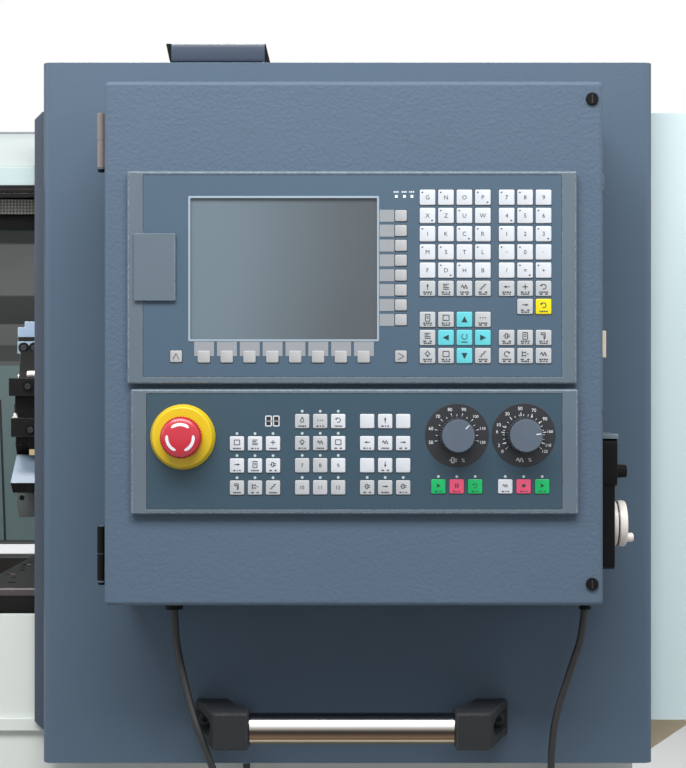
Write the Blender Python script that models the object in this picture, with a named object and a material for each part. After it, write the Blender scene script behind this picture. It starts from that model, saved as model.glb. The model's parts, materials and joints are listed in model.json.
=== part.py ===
"""CNC turning lathe with a tool turret and a sliding door that carries the operator box.

Sizes are in metres. While the pieces are built, X is measured from the machine's middle,
Y from the spindle axis and Z from the floor; the whole lathe is then set on the origin.
"""
import math

import bmesh
import bpy
from mathutils import Quaternion, Vector

# Clearances and sheet metal
GAP = 0.0003
RUN = 0.0006
SHEET = 0.003
BEND = 0.006

# Envelope of the enclosure
LEFT_END = -0.90
RIGHT_END = 0.745
FRONT = -0.455
REAR = 0.297
BASE_BOTTOM = 0.045
BASE_HEIGHT = 0.645
BASE_TOP = BASE_BOTTOM + BASE_HEIGHT
GUARD_RISE = 0.120
GUARD_BOTTOM = BASE_TOP + GUARD_RISE
OPENING_LEFT = -0.42
OPENING_RIGHT = 0.115
SILL_RISE = 0.108
SILL_TOP = GUARD_BOTTOM + SILL_RISE

# Height of the door, which the roof, the header and the rail follow
DOOR_OVERLAP = 0.035
DOOR_HEIGHT = 0.706
DOOR_BOTTOM = GUARD_BOTTOM - DOOR_OVERLAP
DOOR_TOP = DOOR_BOTTOM + DOOR_HEIGHT
ROOF_DROP = 0.044
ROOF_TOP = DOOR_TOP - ROOF_DROP
RAIL_DROP = 0.123
RAIL_HEIGHT = 0.0085
RAIL_TOP = DOOR_TOP - RAIL_DROP
RAIL_BOTTOM = RAIL_TOP - RAIL_HEIGHT
HEADER_GAP = 0.004
HEADER_RETURN = 0.020
HEADER_BOTTOM = RAIL_TOP + HEADER_GAP
HEADER_FOLD = HEADER_BOTTOM + HEADER_RETURN
HEADER_DEPTH = 0.120

# Work lamp under the header: its section as depth behind its front and drop from the header
LAMP_INSET = 0.015
LAMP_PROFILE = ((0.0, 0.0285), (0.0, 0.012), (0.008, 0.012), (0.008, GAP), (0.035, GAP), (0.060, 0.017),
                (0.060, 0.040), (0.002, 0.0435), (0.002, 0.0355), (0.004, 0.0345), (0.004, 0.0295))

# Rear wall folds, down from the roof and up from the pan: depth into the room and height
WALL_FOLDS_UPPER = ((0.0, 0.049), (0.030, 0.075), (0.030, 0.152), (0.006, 0.192), (0.006, 0.223),
                    (0.018, 0.247))
WALL_FOLDS_LOWER = ((0.018, 0.115), (0.034, 0.095), (0.034, 0.012))

# Base, feet and chip pan
BASE_LEFT = -0.86
BASE_RIGHT = 0.657
BASE_FRONT = -0.42
BASE_REAR = 0.60
BASE_WALL = 0.008
FOOT_RADIUS = 0.040
FOOT_INSET = 0.085
PAN_WALL = 0.065
PAN_FLARE = 0.057
PAN_LIP = 0.023
PAN_WALL_TOP = BASE_TOP + PAN_WALL
PAN_FLARE_TOP = PAN_WALL_TOP + PAN_FLARE
PAN_LIP_TOP = PAN_FLARE_TOP + PAN_LIP
PAN_FLOOR = BASE_TOP + SHEET + 2 * GAP
APRON_DROP = 0.290
APRON_BOTTOM = BASE_TOP - APRON_DROP
SILL_DEPTH = 0.015

# Chip drawer under the apron
DRAWER_LEFT = -0.30
DRAWER_RIGHT = 0.50
DRAWER_RISE = 0.045
DRAWER_DROP = 0.040
DRAWER_BOTTOM = BASE_BOTTOM + DRAWER_RISE
DRAWER_TOP = APRON_BOTTOM - DRAWER_DROP
DRAWER_DEPTH = 0.560
DRAWER_WALL = 0.003

# Bed
BED_LEFT = -0.80
BED_RIGHT = 0.560
BED_HEIGHT = 0.170
WAY_TOP = BASE_TOP + BED_HEIGHT
WAY_WIDTH = 0.080
FRONT_WAY = -0.165
REAR_WAY = 0.185
WAY_THICKNESS = 0.045
BED_NECK = 0.014
BED_POCKETS = 4

# Headstock, spindle and chuck
CENTRE_HEIGHT = 0.260
SPINDLE_HEIGHT = WAY_TOP + CENTRE_HEIGHT
HEAD_LEFT = -0.800
HEAD_RIGHT = -0.445
HEAD_HALF_WIDTH = 0.135
SPINDLE_RADIUS = 0.055
SPINDLE_BORE = 0.021
NOSE_RADIUS = 0.070
NOSE_LENGTH = 0.022
PULLEY_RADIUS = 0.085
PULLEY_WIDTH = 0.045
CHUCK_RADIUS = 0.0825
CHUCK_LENGTH = 0.085
JAW_WIDTH = 0.022
JAW_DEPTH = 0.013
JAW_REACH = 0.048
JAW_BORE = 0.024

# Saddle, cross slide and turret
SADDLE_LEFT = -0.030
SADDLE_RIGHT = 0.210
SADDLE_THICKNESS = 0.030
SADDLE_TOP = WAY_TOP + SADDLE_THICKNESS
SADDLE_FRONT = -0.400
DOVETAIL_HEIGHT = 0.0147
DOVETAIL_TOP = SADDLE_TOP + DOVETAIL_HEIGHT
DOVETAIL_WIDTH = 0.120
DOVETAIL_FLARE = 0.008
PLATE_FRONT = -0.428
PLATE_REAR = -0.068
PLATE_THICKNESS = 0.0383
PLATE_TOP = DOVETAIL_TOP + PLATE_THICKNESS
TURRET_AXIS_Y = -0.200
TURRET_RISE = 0.177
TURRET_AXIS_Z = PLATE_TOP + TURRET_RISE
TURRET_RADIUS = 0.078
TURRET_LEFT = -0.026
TURRET_THICKNESS = 0.040
TURRET_STATIONS = 8
TURRET_BOLTS = 6
HOUSING_RIGHT = 0.180
HOUSING_RADIUS = 0.055
HOUSING_FLANGE = 0.007
HOUSING_FLANGE_LENGTH = 0.015
HOUSING_ROUND = 0.010
HOUSING_FOOT_HALF = 0.070
HOUSING_FOOT_HEIGHT = 0.018
HOUSING_COLUMN_HALF = 0.048

# Tailstock
TAIL_LEFT = 0.400
TAIL_RIGHT = 0.545
TAIL_HALF_WIDTH = 0.060
QUILL_RADIUS = 0.026
QUILL_REACH = 0.050

# Sliding door
DOOR_LEFT = 0.055
DOOR_WIDTH = 0.615
DOOR_RIGHT = DOOR_LEFT + DOOR_WIDTH
DOOR_STAND_OFF = 0.011
DOOR_DEPTH = 0.034
DOOR_REAR = FRONT - DOOR_STAND_OFF
DOOR_FRONT = DOOR_REAR - DOOR_DEPTH
DOOR_SHEET = 0.0025
DOOR_CORNER = 0.009
STRIP_WIDTH = 0.034
STRIP_RISE = 0.027
STRIP_BOTTOM = DOOR_BOTTOM + STRIP_RISE
STRIP_TOP = ROOF_TOP
STRIP_THICKNESS = 0.004
STRIP_OVERHANG = 0.014
RAIL_THICKNESS = 0.0054
RAIL_GROOVE = 0.001
GUIDE_RISE = 0.025
GUIDE_HEIGHT = 0.012
GUIDE_BOTTOM = DOOR_BOTTOM + GUIDE_RISE
GUIDE_TOP = GUIDE_BOTTOM + GUIDE_HEIGHT
RAIL_LEFT = -0.445
RAIL_RIGHT = 0.650
SHOE_LENGTH = 0.040
SHOE_HEIGHT = 0.014
SHOE_INSET = 0.045

# Bracket on the door's top
BRACKET_INSET = 0.130
BRACKET_WIDTH = 0.094
BRACKET_HEIGHT = 0.0195
BRACKET_DEPTH = 0.120
BRACKET_LEFT = DOOR_LEFT + BRACKET_INSET
BRACKET_RIGHT = BRACKET_LEFT + BRACKET_WIDTH
BRACKET_TOP = DOOR_TOP + BRACKET_HEIGHT
BRACKET_REAR = DOOR_FRONT + BRACKET_DEPTH

# Handle
HANDLE_INSET = 0.3116
HANDLE_RISE = 0.0475
HANDLE_X = DOOR_LEFT + HANDLE_INSET
HANDLE_Z = DOOR_BOTTOM + HANDLE_RISE
HANDLE_STAND_OFF = 0.062
TUBE_RADIUS = 0.0152
GRIP_HALF = 0.0995
HEAD_HALF_LENGTH = 0.0180
FOOT_HALF = 0.1563
SCREW_HALF = 0.1457
SCREW_RADIUS = 0.0065

# Screen and key columns, which give the display unit and the operator box their width
SCREEN = (0.0588, 0.0252, 0.2337, 0.1577)
KEY_WIDTH = 0.0145
KEY_HIGH = 0.0143
KEY_PITCH = 0.0172
LETTER_COLUMNS = 4
NUMBER_COLUMNS = 3
LETTER_GAP = 0.0395
NUMBER_GAP = 0.0050
LETTER_LEFT = SCREEN[2] + LETTER_GAP
NUMBER_LEFT = LETTER_LEFT + LETTER_COLUMNS * KEY_PITCH + NUMBER_GAP
DISPLAY_MARGIN = 0.0241
DISPLAY_WIDTH = NUMBER_LEFT + (NUMBER_COLUMNS - 1) * KEY_PITCH + KEY_WIDTH + DISPLAY_MARGIN

# Operator box and its cover
BOX_SIDE = 0.079
BOX_MARGIN = 0.048
BOX_WIDTH = DISPLAY_WIDTH + BOX_MARGIN
BOX_RISE = 0.174
BOX_DROP = 0.040
BOX_DEPTH = 0.120
BOX_LEFT = DOOR_LEFT + BOX_SIDE
BOX_RIGHT = BOX_LEFT + BOX_WIDTH
BOX_BOTTOM = DOOR_BOTTOM + BOX_RISE
BOX_TOP = DOOR_TOP - BOX_DROP
COVER_FRONT = DOOR_FRONT - BOX_DEPTH
COVER_DEPTH = 0.022
COVER_SHEET = 0.003
COVER_CORNER = 0.005
BOX_WALL = 0.0025
BOX_INSET = 0.002
BOX_RIM = 0.0045
HINGE_RADIUS = 0.0042
HINGE_OFFSET = 0.0052
HINGE_LENGTH = 0.052
HINGE_RISE = 0.047
HINGE_DROP = 0.053
HINGE_HEIGHTS = (BOX_BOTTOM + HINGE_RISE, BOX_TOP - HINGE_DROP)
LOCK_RADIUS = 0.0059
LOCK_SHAFT = 0.003
CAM_REACH = 0.005
CAM_HALF_WIDTH = 0.0025
LOCK_INSET = 0.0105
LOCK_RISE = 0.0205
LOCK_DROP = 0.0167
LOCK_HEIGHTS = (BOX_BOTTOM + LOCK_RISE, BOX_TOP - LOCK_DROP)

# Operator units
UNIT_STAND_OUT = 0.008
UNIT_FRONT = COVER_FRONT - UNIT_STAND_OUT
UNIT_DEPTH = 0.045
UNIT_FLANGE = 0.012
UNIT_CORNER = 0.003
FIELD_DEPTH = 0.0015
KEY_HEIGHT = 0.0011
KEY_TAPER = 0.0004

DISPLAY_INSET = 0.0224
DISPLAY_RISE = 0.1609
DISPLAY_LEFT = BOX_LEFT + DISPLAY_INSET
DISPLAY_TOP = (BOX_BOTTOM + BOX_TOP) / 2 + DISPLAY_RISE
DISPLAY_HEIGHT = 0.199
DISPLAY_FIELD = (0.0149, 0.0037, DISPLAY_WIDTH - 0.0141, DISPLAY_HEIGHT - 0.0068)
SCREEN_DEPTH = 0.003
GLASS_THICKNESS = 0.0022
PORT = (0.0065, 0.0588, 0.0457, 0.1213)
PORT_THICKNESS = 0.003

ROW_TOP = 0.0177
ROW_PITCH = 0.0170
ROWS = 6
INPUT_TOP = 0.1195
ARROW_TOP = 0.1316
ARROW_PITCH = 0.0169
SOFT_RIGHT = (0.2502, 0.0368, 0.0109, 0.0104)
SOFT_RIGHT_PITCH = 0.01387
SOFT_LOWER = (0.0661, 0.1680, 0.0115, 0.0110)
SOFT_LOWER_PITCH = 0.0213
SOFT_KEYS = 8
PAGE_KEYS = (0.0405, 0.2502)
PAGE_TOP = 0.1677
PAGE_SIZE = 0.0109

CONTROL_INSET = 0.0257
CONTROL_GAP = 0.0046
CONTROL_LEFT = BOX_LEFT + CONTROL_INSET
CONTROL_TOP = DISPLAY_TOP - DISPLAY_HEIGHT - CONTROL_GAP
CONTROL_WIDTH = DISPLAY_WIDTH - 0.002
CONTROL_HEIGHT = 0.117
CONTROL_FIELD = (0.0148, 0.0042, CONTROL_WIDTH - 0.0150, CONTROL_HEIGHT - 0.0046)
STOP_CENTRE = (0.0490, 0.0446)
UNITS = ((DISPLAY_LEFT, DISPLAY_TOP, DISPLAY_WIDTH, DISPLAY_HEIGHT),
         (CONTROL_LEFT, CONTROL_TOP, CONTROL_WIDTH, CONTROL_HEIGHT))
COLLAR_RADIUS = 0.0304
COLLAR_HEIGHT = 0.009
STOP_RADIUS = 0.0195
STOP_STEM = 0.009
STOP_HEIGHT = 0.030
STOP_TRAVEL = 0.005
STEM_DEPTH = 0.014
GROUP_KEY = 0.0133
GROUP_PITCH = 0.0168
GROUP_ROW_PITCH = 0.0206
GROUP_LEFTS = (0.0928, 0.1536, 0.2142)
GROUP_TOPS = (0.0441, 0.0233, 0.0233)
GROUP_ROWS = (3, 4, 4)
GROUP_COLUMNS = 3
CYCLE_INSETS = (0.1374, 0.1203, 0.1031, 0.0750, 0.0579, 0.0406)
CYCLE_LEFTS = [CONTROL_WIDTH - inset for inset in CYCLE_INSETS]
CYCLE_TOP = 0.0842
KNOB_CENTRES = ((CONTROL_WIDTH - 0.1135, 0.0432), (CONTROL_WIDTH - 0.0512, 0.0429))
KNOB_RADIUS = 0.01675
KNOB_HEIGHT = 0.024
KNOB_SHAFT = 0.003
KNOB_SETTINGS = (45.0, 82.5)

# Things on the box's right side
PENDANT_REACH = 0.067
PENDANT_RISE = 0.032
PENDANT_HEIGHT = 0.125
PENDANT_Y = DOOR_FRONT - PENDANT_REACH
PENDANT_BOTTOM = BOX_BOTTOM + PENDANT_RISE
PENDANT_TOP = PENDANT_BOTTOM + PENDANT_HEIGHT
PENDANT_DEPTH = 0.076
PENDANT_THICKNESS = 0.0155
PENDANT_WAIST = 0.0020
WHEEL_RISE = 0.041
WHEEL_Z = PENDANT_BOTTOM + WHEEL_RISE
WHEEL_RADIUS = 0.0222
WHEEL_HEIGHT = 0.0150
CRANK_RADIUS = 0.0043
CRANK_LENGTH = 0.0080
SELECTOR_RISE = 0.0917
SELECTOR_Z = PENDANT_BOTTOM + SELECTOR_RISE
SELECTOR_RADIUS = 0.0066
SELECTOR_HEIGHT = 0.0145
SIDE_LOCK_RISE = 0.089
SIDE_LOCK_Z = PENDANT_TOP + SIDE_LOCK_RISE
SIDE_LOCK_RADIUS = 0.011
SIDE_LOCK_HEIGHT = 0.007
PLUG_REACH = 0.085
PLUG_Y = DOOR_FRONT - PLUG_REACH
ROUND_PLUG_RISE = 0.0225
ROUND_PLUG_Z = PENDANT_TOP + ROUND_PLUG_RISE
ROUND_PLUG_RADIUS = 0.008
OVAL_PLUG_RISE = 0.030
OVAL_PLUG_Z = (SIDE_LOCK_Z + BOX_TOP) / 2 + OVAL_PLUG_RISE
OVAL_PLUG_HALF_WIDTH = 0.007
OVAL_PLUG_HALF_HEIGHT = 0.010

# Cable glands and cables
CABLE_RADIUS = 0.0035
GLAND_LENGTH = 0.0145
LEFT_GLAND_INSET = 0.0585
RIGHT_GLAND_INSET = 0.0065
GLAND_REACH = 0.045
LEFT_GLAND_X = BOX_LEFT + LEFT_GLAND_INSET
RIGHT_GLAND_X = BOX_RIGHT - RIGHT_GLAND_INSET
GLAND_Y = DOOR_FRONT - GLAND_REACH
CABLE_RETURN_Y = (DOOR_FRONT + DOOR_REAR) / 2
CABLE_POINTS = 24

# Rear cabinet
CABINET_LEFT = -0.60
CABINET_RIGHT = 0.40
CABINET_FRONT = 0.340
CABINET_REAR = 0.570
CABINET_HEIGHT = 0.670
CABINET_TOP = BASE_TOP + CABINET_HEIGHT
CABINET_WALL = 0.003
CABINET_LIP = 0.025
SWITCH_RADIUS = 0.024
SWITCH_X = CABINET_LEFT + 0.12
SWITCH_Z = CABINET_TOP - 0.16

# Drives
MOTOR_RADIUS = 0.075
MOTOR_Y = -0.300
MOTOR_RISE = 0.190
MOTOR_Z = BASE_TOP + MOTOR_RISE
MOTOR_LENGTH = 0.230
SERVO_HALF = 0.038
SERVO_LENGTH = 0.120

ROUND = 24


class Solid:
    """A closed mesh that can be joined with other closed meshes or cut by them."""

    def __init__(self, mesh):
        self.mesh = mesh

    def combine(self, other, operation):
        ends = []
        for mesh in (self.mesh, other.mesh):
            item = bpy.data.objects.new("shape", mesh)
            bpy.context.scene.collection.objects.link(item)
            ends.append(item)
        modifier = ends[0].modifiers.new("combine", "BOOLEAN")
        modifier.operation = operation
        modifier.solver = "EXACT"
        modifier.object = ends[1]
        graph = bpy.context.evaluated_depsgraph_get()
        result = bpy.data.meshes.new_from_object(ends[0].evaluated_get(graph))
        for item in ends:
            bpy.data.objects.remove(item)
        return Solid(result)

    def join(self, *others):
        result = self
        for other in others:
            result = result.combine(other, "UNION")
        return result

    def cut(self, *others):
        result = self
        for other in others:
            result = result.combine(other, "DIFFERENCE")
        return result

    def turned(self, axis, degrees, centre):
        """The solid turned about an axis through a point."""
        mesh = self.mesh.copy()
        middle = Vector(centre)
        lines = {"X": Vector((1, 0, 0)), "Y": Vector((0, 1, 0)), "Z": Vector((0, 0, 1))}
        turn = Quaternion(lines[axis], math.radians(degrees))
        for vertex in mesh.vertices:
            vertex.co = middle + turn @ (vertex.co - middle)
        return Solid(mesh)


def as_solid(bm):
    """The finished solid of a bmesh, with its faces pointing out."""
    bmesh.ops.recalc_face_normals(bm, faces=bm.faces)
    mesh = bpy.data.meshes.new("shape")
    bm.to_mesh(mesh)
    bm.free()
    return Solid(mesh)


def together(solids):
    """Separate solids held in one mesh, to cut or join several places at once."""
    bm = bmesh.new()
    for solid in solids:
        bm.from_mesh(solid.mesh)
    return as_solid(bm)


# An outline's two directions and that of the extrusion, for each axis
DIRECTIONS = {"X": "YZX", "Y": "XZY", "Z": "XYZ"}


def point(axis, across, up, along):
    """The place at these distances along an outline's directions and the extrusion's."""
    place = dict(zip(DIRECTIONS[axis], (across, up, along)))
    return Vector((place["X"], place["Y"], place["Z"]))


def seen_along(axis, centre):
    """A centre's distances along an outline's directions and the extrusion's."""
    place = dict(zip("XYZ", centre))
    return [place[direction] for direction in DIRECTIONS[axis]]


def loft(loops):
    """A solid through loops of equally many points, closed by its first and last loop."""
    bm = bmesh.new()
    rings = [[bm.verts.new(place) for place in loop] for loop in loops]
    count = len(rings[0])
    for low, high in zip(rings, rings[1:]):
        for index in range(count):
            after = (index + 1) % count
            bm.faces.new((low[index], low[after], high[after], high[index]))
    bm.faces.new(rings[0])
    bm.faces.new(rings[-1])
    return as_solid(bm)


def prism(axis, outline, start, end):
    """An outline in the plane across an axis, extruded along that axis."""
    return loft([[point(axis, across, up, along) for across, up in outline] for along in (start, end)])


def box(x_low, x_high, y_low, y_high, z_low, z_high):
    outline = [(x_low, y_low), (x_high, y_low), (x_high, y_high), (x_low, y_high)]
    return prism("Z", outline, z_low, z_high)


def turned_solid(axis, centre, profile, segments=ROUND):
    """A profile of (radius, distance) points turned about an axis through a point.

    The profile starts and ends on the axis, or else it closes on itself as a ring.
    """
    bm = bmesh.new()
    across, up, along = seen_along(axis, centre)
    rings = []
    for radius, distance in profile:
        if radius == 0.0:
            rings.append([bm.verts.new(point(axis, across, up, along + distance))])
            continue
        ring = []
        for index in range(segments):
            angle = 2 * math.pi * index / segments
            place = (across + radius * math.cos(angle), up + radius * math.sin(angle))
            ring.append(bm.verts.new(point(axis, *place, along + distance)))
        rings.append(ring)
    pairs = list(zip(rings, rings[1:]))
    if len(rings[0]) > 1:
        pairs.append((rings[-1], rings[0]))
    for low, high in pairs:
        for index in range(segments):
            after = (index + 1) % segments
            corners = [low[index % len(low)], low[after % len(low)], high[after % len(high)]]
            corners.append(high[index % len(high)])
            bm.faces.new(list(dict.fromkeys(corners)))
    return as_solid(bm)


def cylinder(axis, centre, radius, start, end, segments=ROUND):
    """A plain round bar between two distances from a point, along an axis."""
    profile = [(0.0, start), (radius, start), (radius, end), (0.0, end)]
    return turned_solid(axis, centre, profile, segments)


def rounded(low_across, low_up, high_across, high_up, radius, steps=3):
    """A rectangle's outline with round corners."""
    corners = ((high_across, high_up, 0), (low_across, high_up, 90))
    corners += ((low_across, low_up, 180), (high_across, low_up, 270))
    outline = []
    for across, up, begin in corners:
        middle_across = across - math.copysign(radius, across - (low_across + high_across) / 2)
        middle_up = up - math.copysign(radius, up - (low_up + high_up) / 2)
        for step in range(steps + 1):
            angle = math.radians(begin + 90 * step / steps)
            place = (middle_across + radius * math.cos(angle), middle_up + radius * math.sin(angle))
            outline.append(place)
    return outline


def folded(path, thickness, radius, steps=3):
    """The outline of a sheet folded along a path, which lies on the sheet's right side."""
    right = [path[0]]
    left = []
    first = unit(path[0], path[1])
    left.append((path[0][0] - first[1] * thickness, path[0][1] + first[0] * thickness))
    for before, corner, after in zip(path, path[1:], path[2:]):
        arrive = unit(before, corner)
        leave = unit(corner, after)
        cross = arrive[0] * leave[1] - arrive[1] * leave[0]
        dot = arrive[0] * leave[0] + arrive[1] * leave[1]
        turn = math.atan2(cross, dot)
        side = math.copysign(1.0, turn)
        near = radius if side > 0 else radius - thickness
        reach = near * math.tan(abs(turn) / 2)
        start = (corner[0] - arrive[0] * reach, corner[1] - arrive[1] * reach)
        middle = (start[0] - side * arrive[1] * near, start[1] + side * arrive[0] * near)
        begin = math.atan2(start[1] - middle[1], start[0] - middle[0])
        for step in range(steps + 1):
            angle = begin + turn * step / steps
            direction = (math.cos(angle), math.sin(angle))
            far = near - side * thickness
            right.append((middle[0] + direction[0] * near, middle[1] + direction[1] * near))
            left.append((middle[0] + direction[0] * far, middle[1] + direction[1] * far))
    last = unit(path[-2], path[-1])
    right.append(path[-1])
    left.append((path[-1][0] - last[1] * thickness, path[-1][1] + last[0] * thickness))
    return right + left[::-1]


def unit(start, end):
    length = math.hypot(end[0] - start[0], end[1] - start[1])
    return ((end[0] - start[0]) / length, (end[1] - start[1]) / length)


def fluted(radius, depth, flutes):
    """A round outline with shallow grip flutes, in polar steps about its centre."""
    outline = []
    for index in range(flutes * 2):
        angle = math.pi * index / flutes
        reach = radius - depth * (index % 2)
        outline.append((reach * math.cos(angle), reach * math.sin(angle)))
    return outline


def softened(solid, width, segments=2, limit=30.0):
    """The solid with its sharp edges rounded."""
    bm = bmesh.new()
    bm.from_mesh(solid.mesh)
    bmesh.ops.remove_doubles(bm, verts=bm.verts, dist=1e-6)
    bmesh.ops.dissolve_limit(bm, angle_limit=0.001, verts=bm.verts, edges=bm.edges)
    sharp = [edge for edge in bm.edges if edge.calc_face_angle(0.0) > math.radians(limit)]
    bmesh.ops.bevel(bm, geom=sharp, offset=width, segments=segments, profile=0.5, affect="EDGES",
                    clamp_overlap=True)
    return as_solid(bm)


def material(name, colour, roughness, metallic=0.0):
    shade = bpy.data.materials.new(name)
    shade.use_nodes = True
    surface = shade.node_tree.nodes["Principled BSDF"]
    surface.inputs["Base Color"].default_value = (*colour, 1.0)
    surface.inputs["Roughness"].default_value = roughness
    surface.inputs["Metallic"].default_value = metallic
    shade.diffuse_color = (*colour, 1.0)
    return shade


def frame_at(name, place, parent):
    """An empty on a moving body's axis, which carries that body's pieces."""
    empty = bpy.data.objects.new(name, None)
    bpy.context.scene.collection.objects.link(empty)
    empty.parent = parent
    carried = Vector(parent["place"]) if parent else Vector()
    empty.location = Vector(place) - carried
    empty["place"] = place
    return empty


def piece(name, solid, carrier, colour, roughness, metallic=0.0):
    """One finished piece of the lathe, placed under the body that carries it."""
    mesh = solid.mesh.copy()
    mesh.name = name
    middle = Vector(carrier["place"])
    for vertex in mesh.vertices:
        vertex.co -= middle
    mesh.materials.clear()
    mesh.materials.append(material(name, colour, roughness, metallic))
    mesh.shade_smooth()
    mesh.set_sharp_from_angle(angle=math.radians(30))
    item = bpy.data.objects.new(name, mesh)
    bpy.context.scene.collection.objects.link(item)
    item.parent = carrier
    return item


# Colours of the paints and metals, as linear values
PALE_PAINT = (0.60, 0.72, 0.74)
GREY_PAINT = (0.52, 0.58, 0.57)
DOOR_PAINT = (0.115, 0.165, 0.235)
COVER_PAINT = (0.135, 0.180, 0.260)
UNIT_PAINT = (0.155, 0.205, 0.260)
FIELD_BLUE = (0.085, 0.130, 0.180)
FIELD_SLATE = (0.070, 0.105, 0.130)
KEY_WHITE = (0.78, 0.80, 0.80)
BLACK = (0.018, 0.018, 0.020)
SOFT_BLACK = (0.030, 0.030, 0.032)
IRON = (0.20, 0.22, 0.23)
STEEL = (0.55, 0.56, 0.57)
HOLDER_BLUE = (0.36, 0.44, 0.52)


# Base, pan and bed

def base_cabinet():
    """Open-bottomed base with a bay for the chip drawer and four levelling feet."""
    shell = box(BASE_LEFT, BASE_RIGHT, BASE_FRONT, BASE_REAR, BASE_BOTTOM, BASE_TOP)
    wall = BASE_WALL
    hollow = box(BASE_LEFT + wall, BASE_RIGHT - wall, BASE_FRONT + wall, BASE_REAR - wall,
                 BASE_BOTTOM - wall, BASE_TOP - wall)
    bay = box(DRAWER_LEFT, DRAWER_RIGHT, BASE_FRONT - wall, BASE_FRONT + 2 * wall, DRAWER_BOTTOM,
              DRAWER_TOP)
    shell = shell.cut(hollow, bay)
    runner_top = DRAWER_BOTTOM + wall
    runners = []
    for edge, inner in ((DRAWER_LEFT, wall), (DRAWER_RIGHT, -wall)):
        low, high = sorted((edge - inner, edge + inner * 2))
        rear = BASE_FRONT + DRAWER_DEPTH + wall
        runners.append(box(low, high, BASE_FRONT + wall / 2, rear, DRAWER_BOTTOM - wall, runner_top))
    middle_x = (BASE_LEFT + BASE_RIGHT) / 2
    rib = box(middle_x - wall, middle_x + wall, BASE_FRONT + DRAWER_DEPTH + 3 * wall, BASE_REAR - wall / 2,
              BASE_BOTTOM, BASE_TOP - wall / 2)
    feet = []
    for x in (BASE_LEFT + FOOT_INSET, BASE_RIGHT - FOOT_INSET):
        for y in (BASE_FRONT + FOOT_INSET, BASE_REAR - FOOT_INSET):
            feet.append(foot(x, y))
    return shell.join(together(runners), rib, *feet)


def foot(x, y):
    """Levelling foot: a pad, its spindle and the gusset plate that holds it in the corner."""
    pad = turned_solid("Z", (x, y, 0.0), [
        (0.0, 0.0), (FOOT_RADIUS, 0.0), (FOOT_RADIUS, 0.010), (FOOT_RADIUS * 0.30, 0.022),
        (FOOT_RADIUS * 0.30, BASE_BOTTOM + 0.03), (0.0, BASE_BOTTOM + 0.03)], 12)
    out_x = BASE_LEFT if x < 0 else BASE_RIGHT
    out_y = BASE_FRONT if y < 0.05 else BASE_REAR
    inward = (math.copysign(BASE_WALL / 2, x - out_x), math.copysign(BASE_WALL / 2, y - out_y))
    reach = FOOT_INSET + FOOT_RADIUS
    corner = (out_x + inward[0], out_y + inward[1])
    outline = [corner, (corner[0] + math.copysign(reach, inward[0]), corner[1]),
               (corner[0] + math.copysign(reach, inward[0]), y), (x, corner[1] + math.copysign(reach, inward[1])),
               (corner[0], corner[1] + math.copysign(reach, inward[1]))]
    gusset = prism("Z", outline, BASE_BOTTOM + 0.004, BASE_BOTTOM + 0.016)
    return pad.join(gusset)


def chip_pan():
    """Tray between base and guards, flared towards the guards' ends, with an upright lip."""
    front = BASE_FRONT + GAP
    rear = REAR - SHEET - GAP

    def loop(left, right, inset, height):
        low_y, high_y = front + inset, rear - inset
        outline = ((left + inset, low_y), (right - inset, low_y), (right - inset, high_y), (left + inset, high_y))
        return [Vector((x, y, height)) for x, y in outline]

    wide_left = LEFT_END + SHEET + GAP
    wide_right = RIGHT_END - SHEET - GAP
    floor = BASE_TOP + GAP
    return loft([
        loop(BASE_LEFT, BASE_RIGHT, 0.0, floor),
        loop(BASE_LEFT, BASE_RIGHT, 0.0, PAN_WALL_TOP),
        loop(wide_left, wide_right, 0.0, PAN_FLARE_TOP),
        loop(wide_left, wide_right, 0.0, PAN_LIP_TOP),
        loop(wide_left, wide_right, SHEET, PAN_LIP_TOP),
        loop(wide_left, wide_right, SHEET, PAN_FLARE_TOP + SHEET),
        loop(BASE_LEFT, BASE_RIGHT, SHEET, PAN_WALL_TOP + SHEET),
        loop(BASE_LEFT, BASE_RIGHT, SHEET, floor + SHEET)])


def bed():
    """Cast bed: two flat ways on a narrower box, pierced between the ways for the chips."""
    low = PAN_FLOOR
    way = WAY_TOP - WAY_THICKNESS
    outline = [
        (FRONT_WAY + BED_NECK, low), (REAR_WAY - BED_NECK, low), (REAR_WAY - BED_NECK, way - BED_NECK),
        (REAR_WAY, way), (REAR_WAY, WAY_TOP), (REAR_WAY - WAY_WIDTH, WAY_TOP),
        (REAR_WAY - WAY_WIDTH, way), (FRONT_WAY + WAY_WIDTH, way), (FRONT_WAY + WAY_WIDTH, WAY_TOP),
        (FRONT_WAY, WAY_TOP), (FRONT_WAY, way), (FRONT_WAY + BED_NECK, way - BED_NECK)]
    casting = prism("X", outline, BED_LEFT, BED_RIGHT)
    start = HEAD_RIGHT + 0.02
    pitch = (BED_RIGHT - start) / BED_POCKETS
    pockets = []
    arches = []
    for index in range(BED_POCKETS):
        left = start + pitch * index + 0.02
        right = left + pitch - 0.04
        inner = rounded(left, FRONT_WAY + WAY_WIDTH + 0.01, right, REAR_WAY - WAY_WIDTH - 0.01, 0.02, 2)
        pockets.append(prism("Z", inner, low - 0.01, WAY_TOP))
        side = rounded(left + 0.01, low + 0.03, right - 0.01, way - 2 * BED_NECK, 0.02, 2)
        arches.append(prism("Y", side, FRONT_WAY, REAR_WAY))
    return casting.cut(together(pockets), together(arches))


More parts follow.
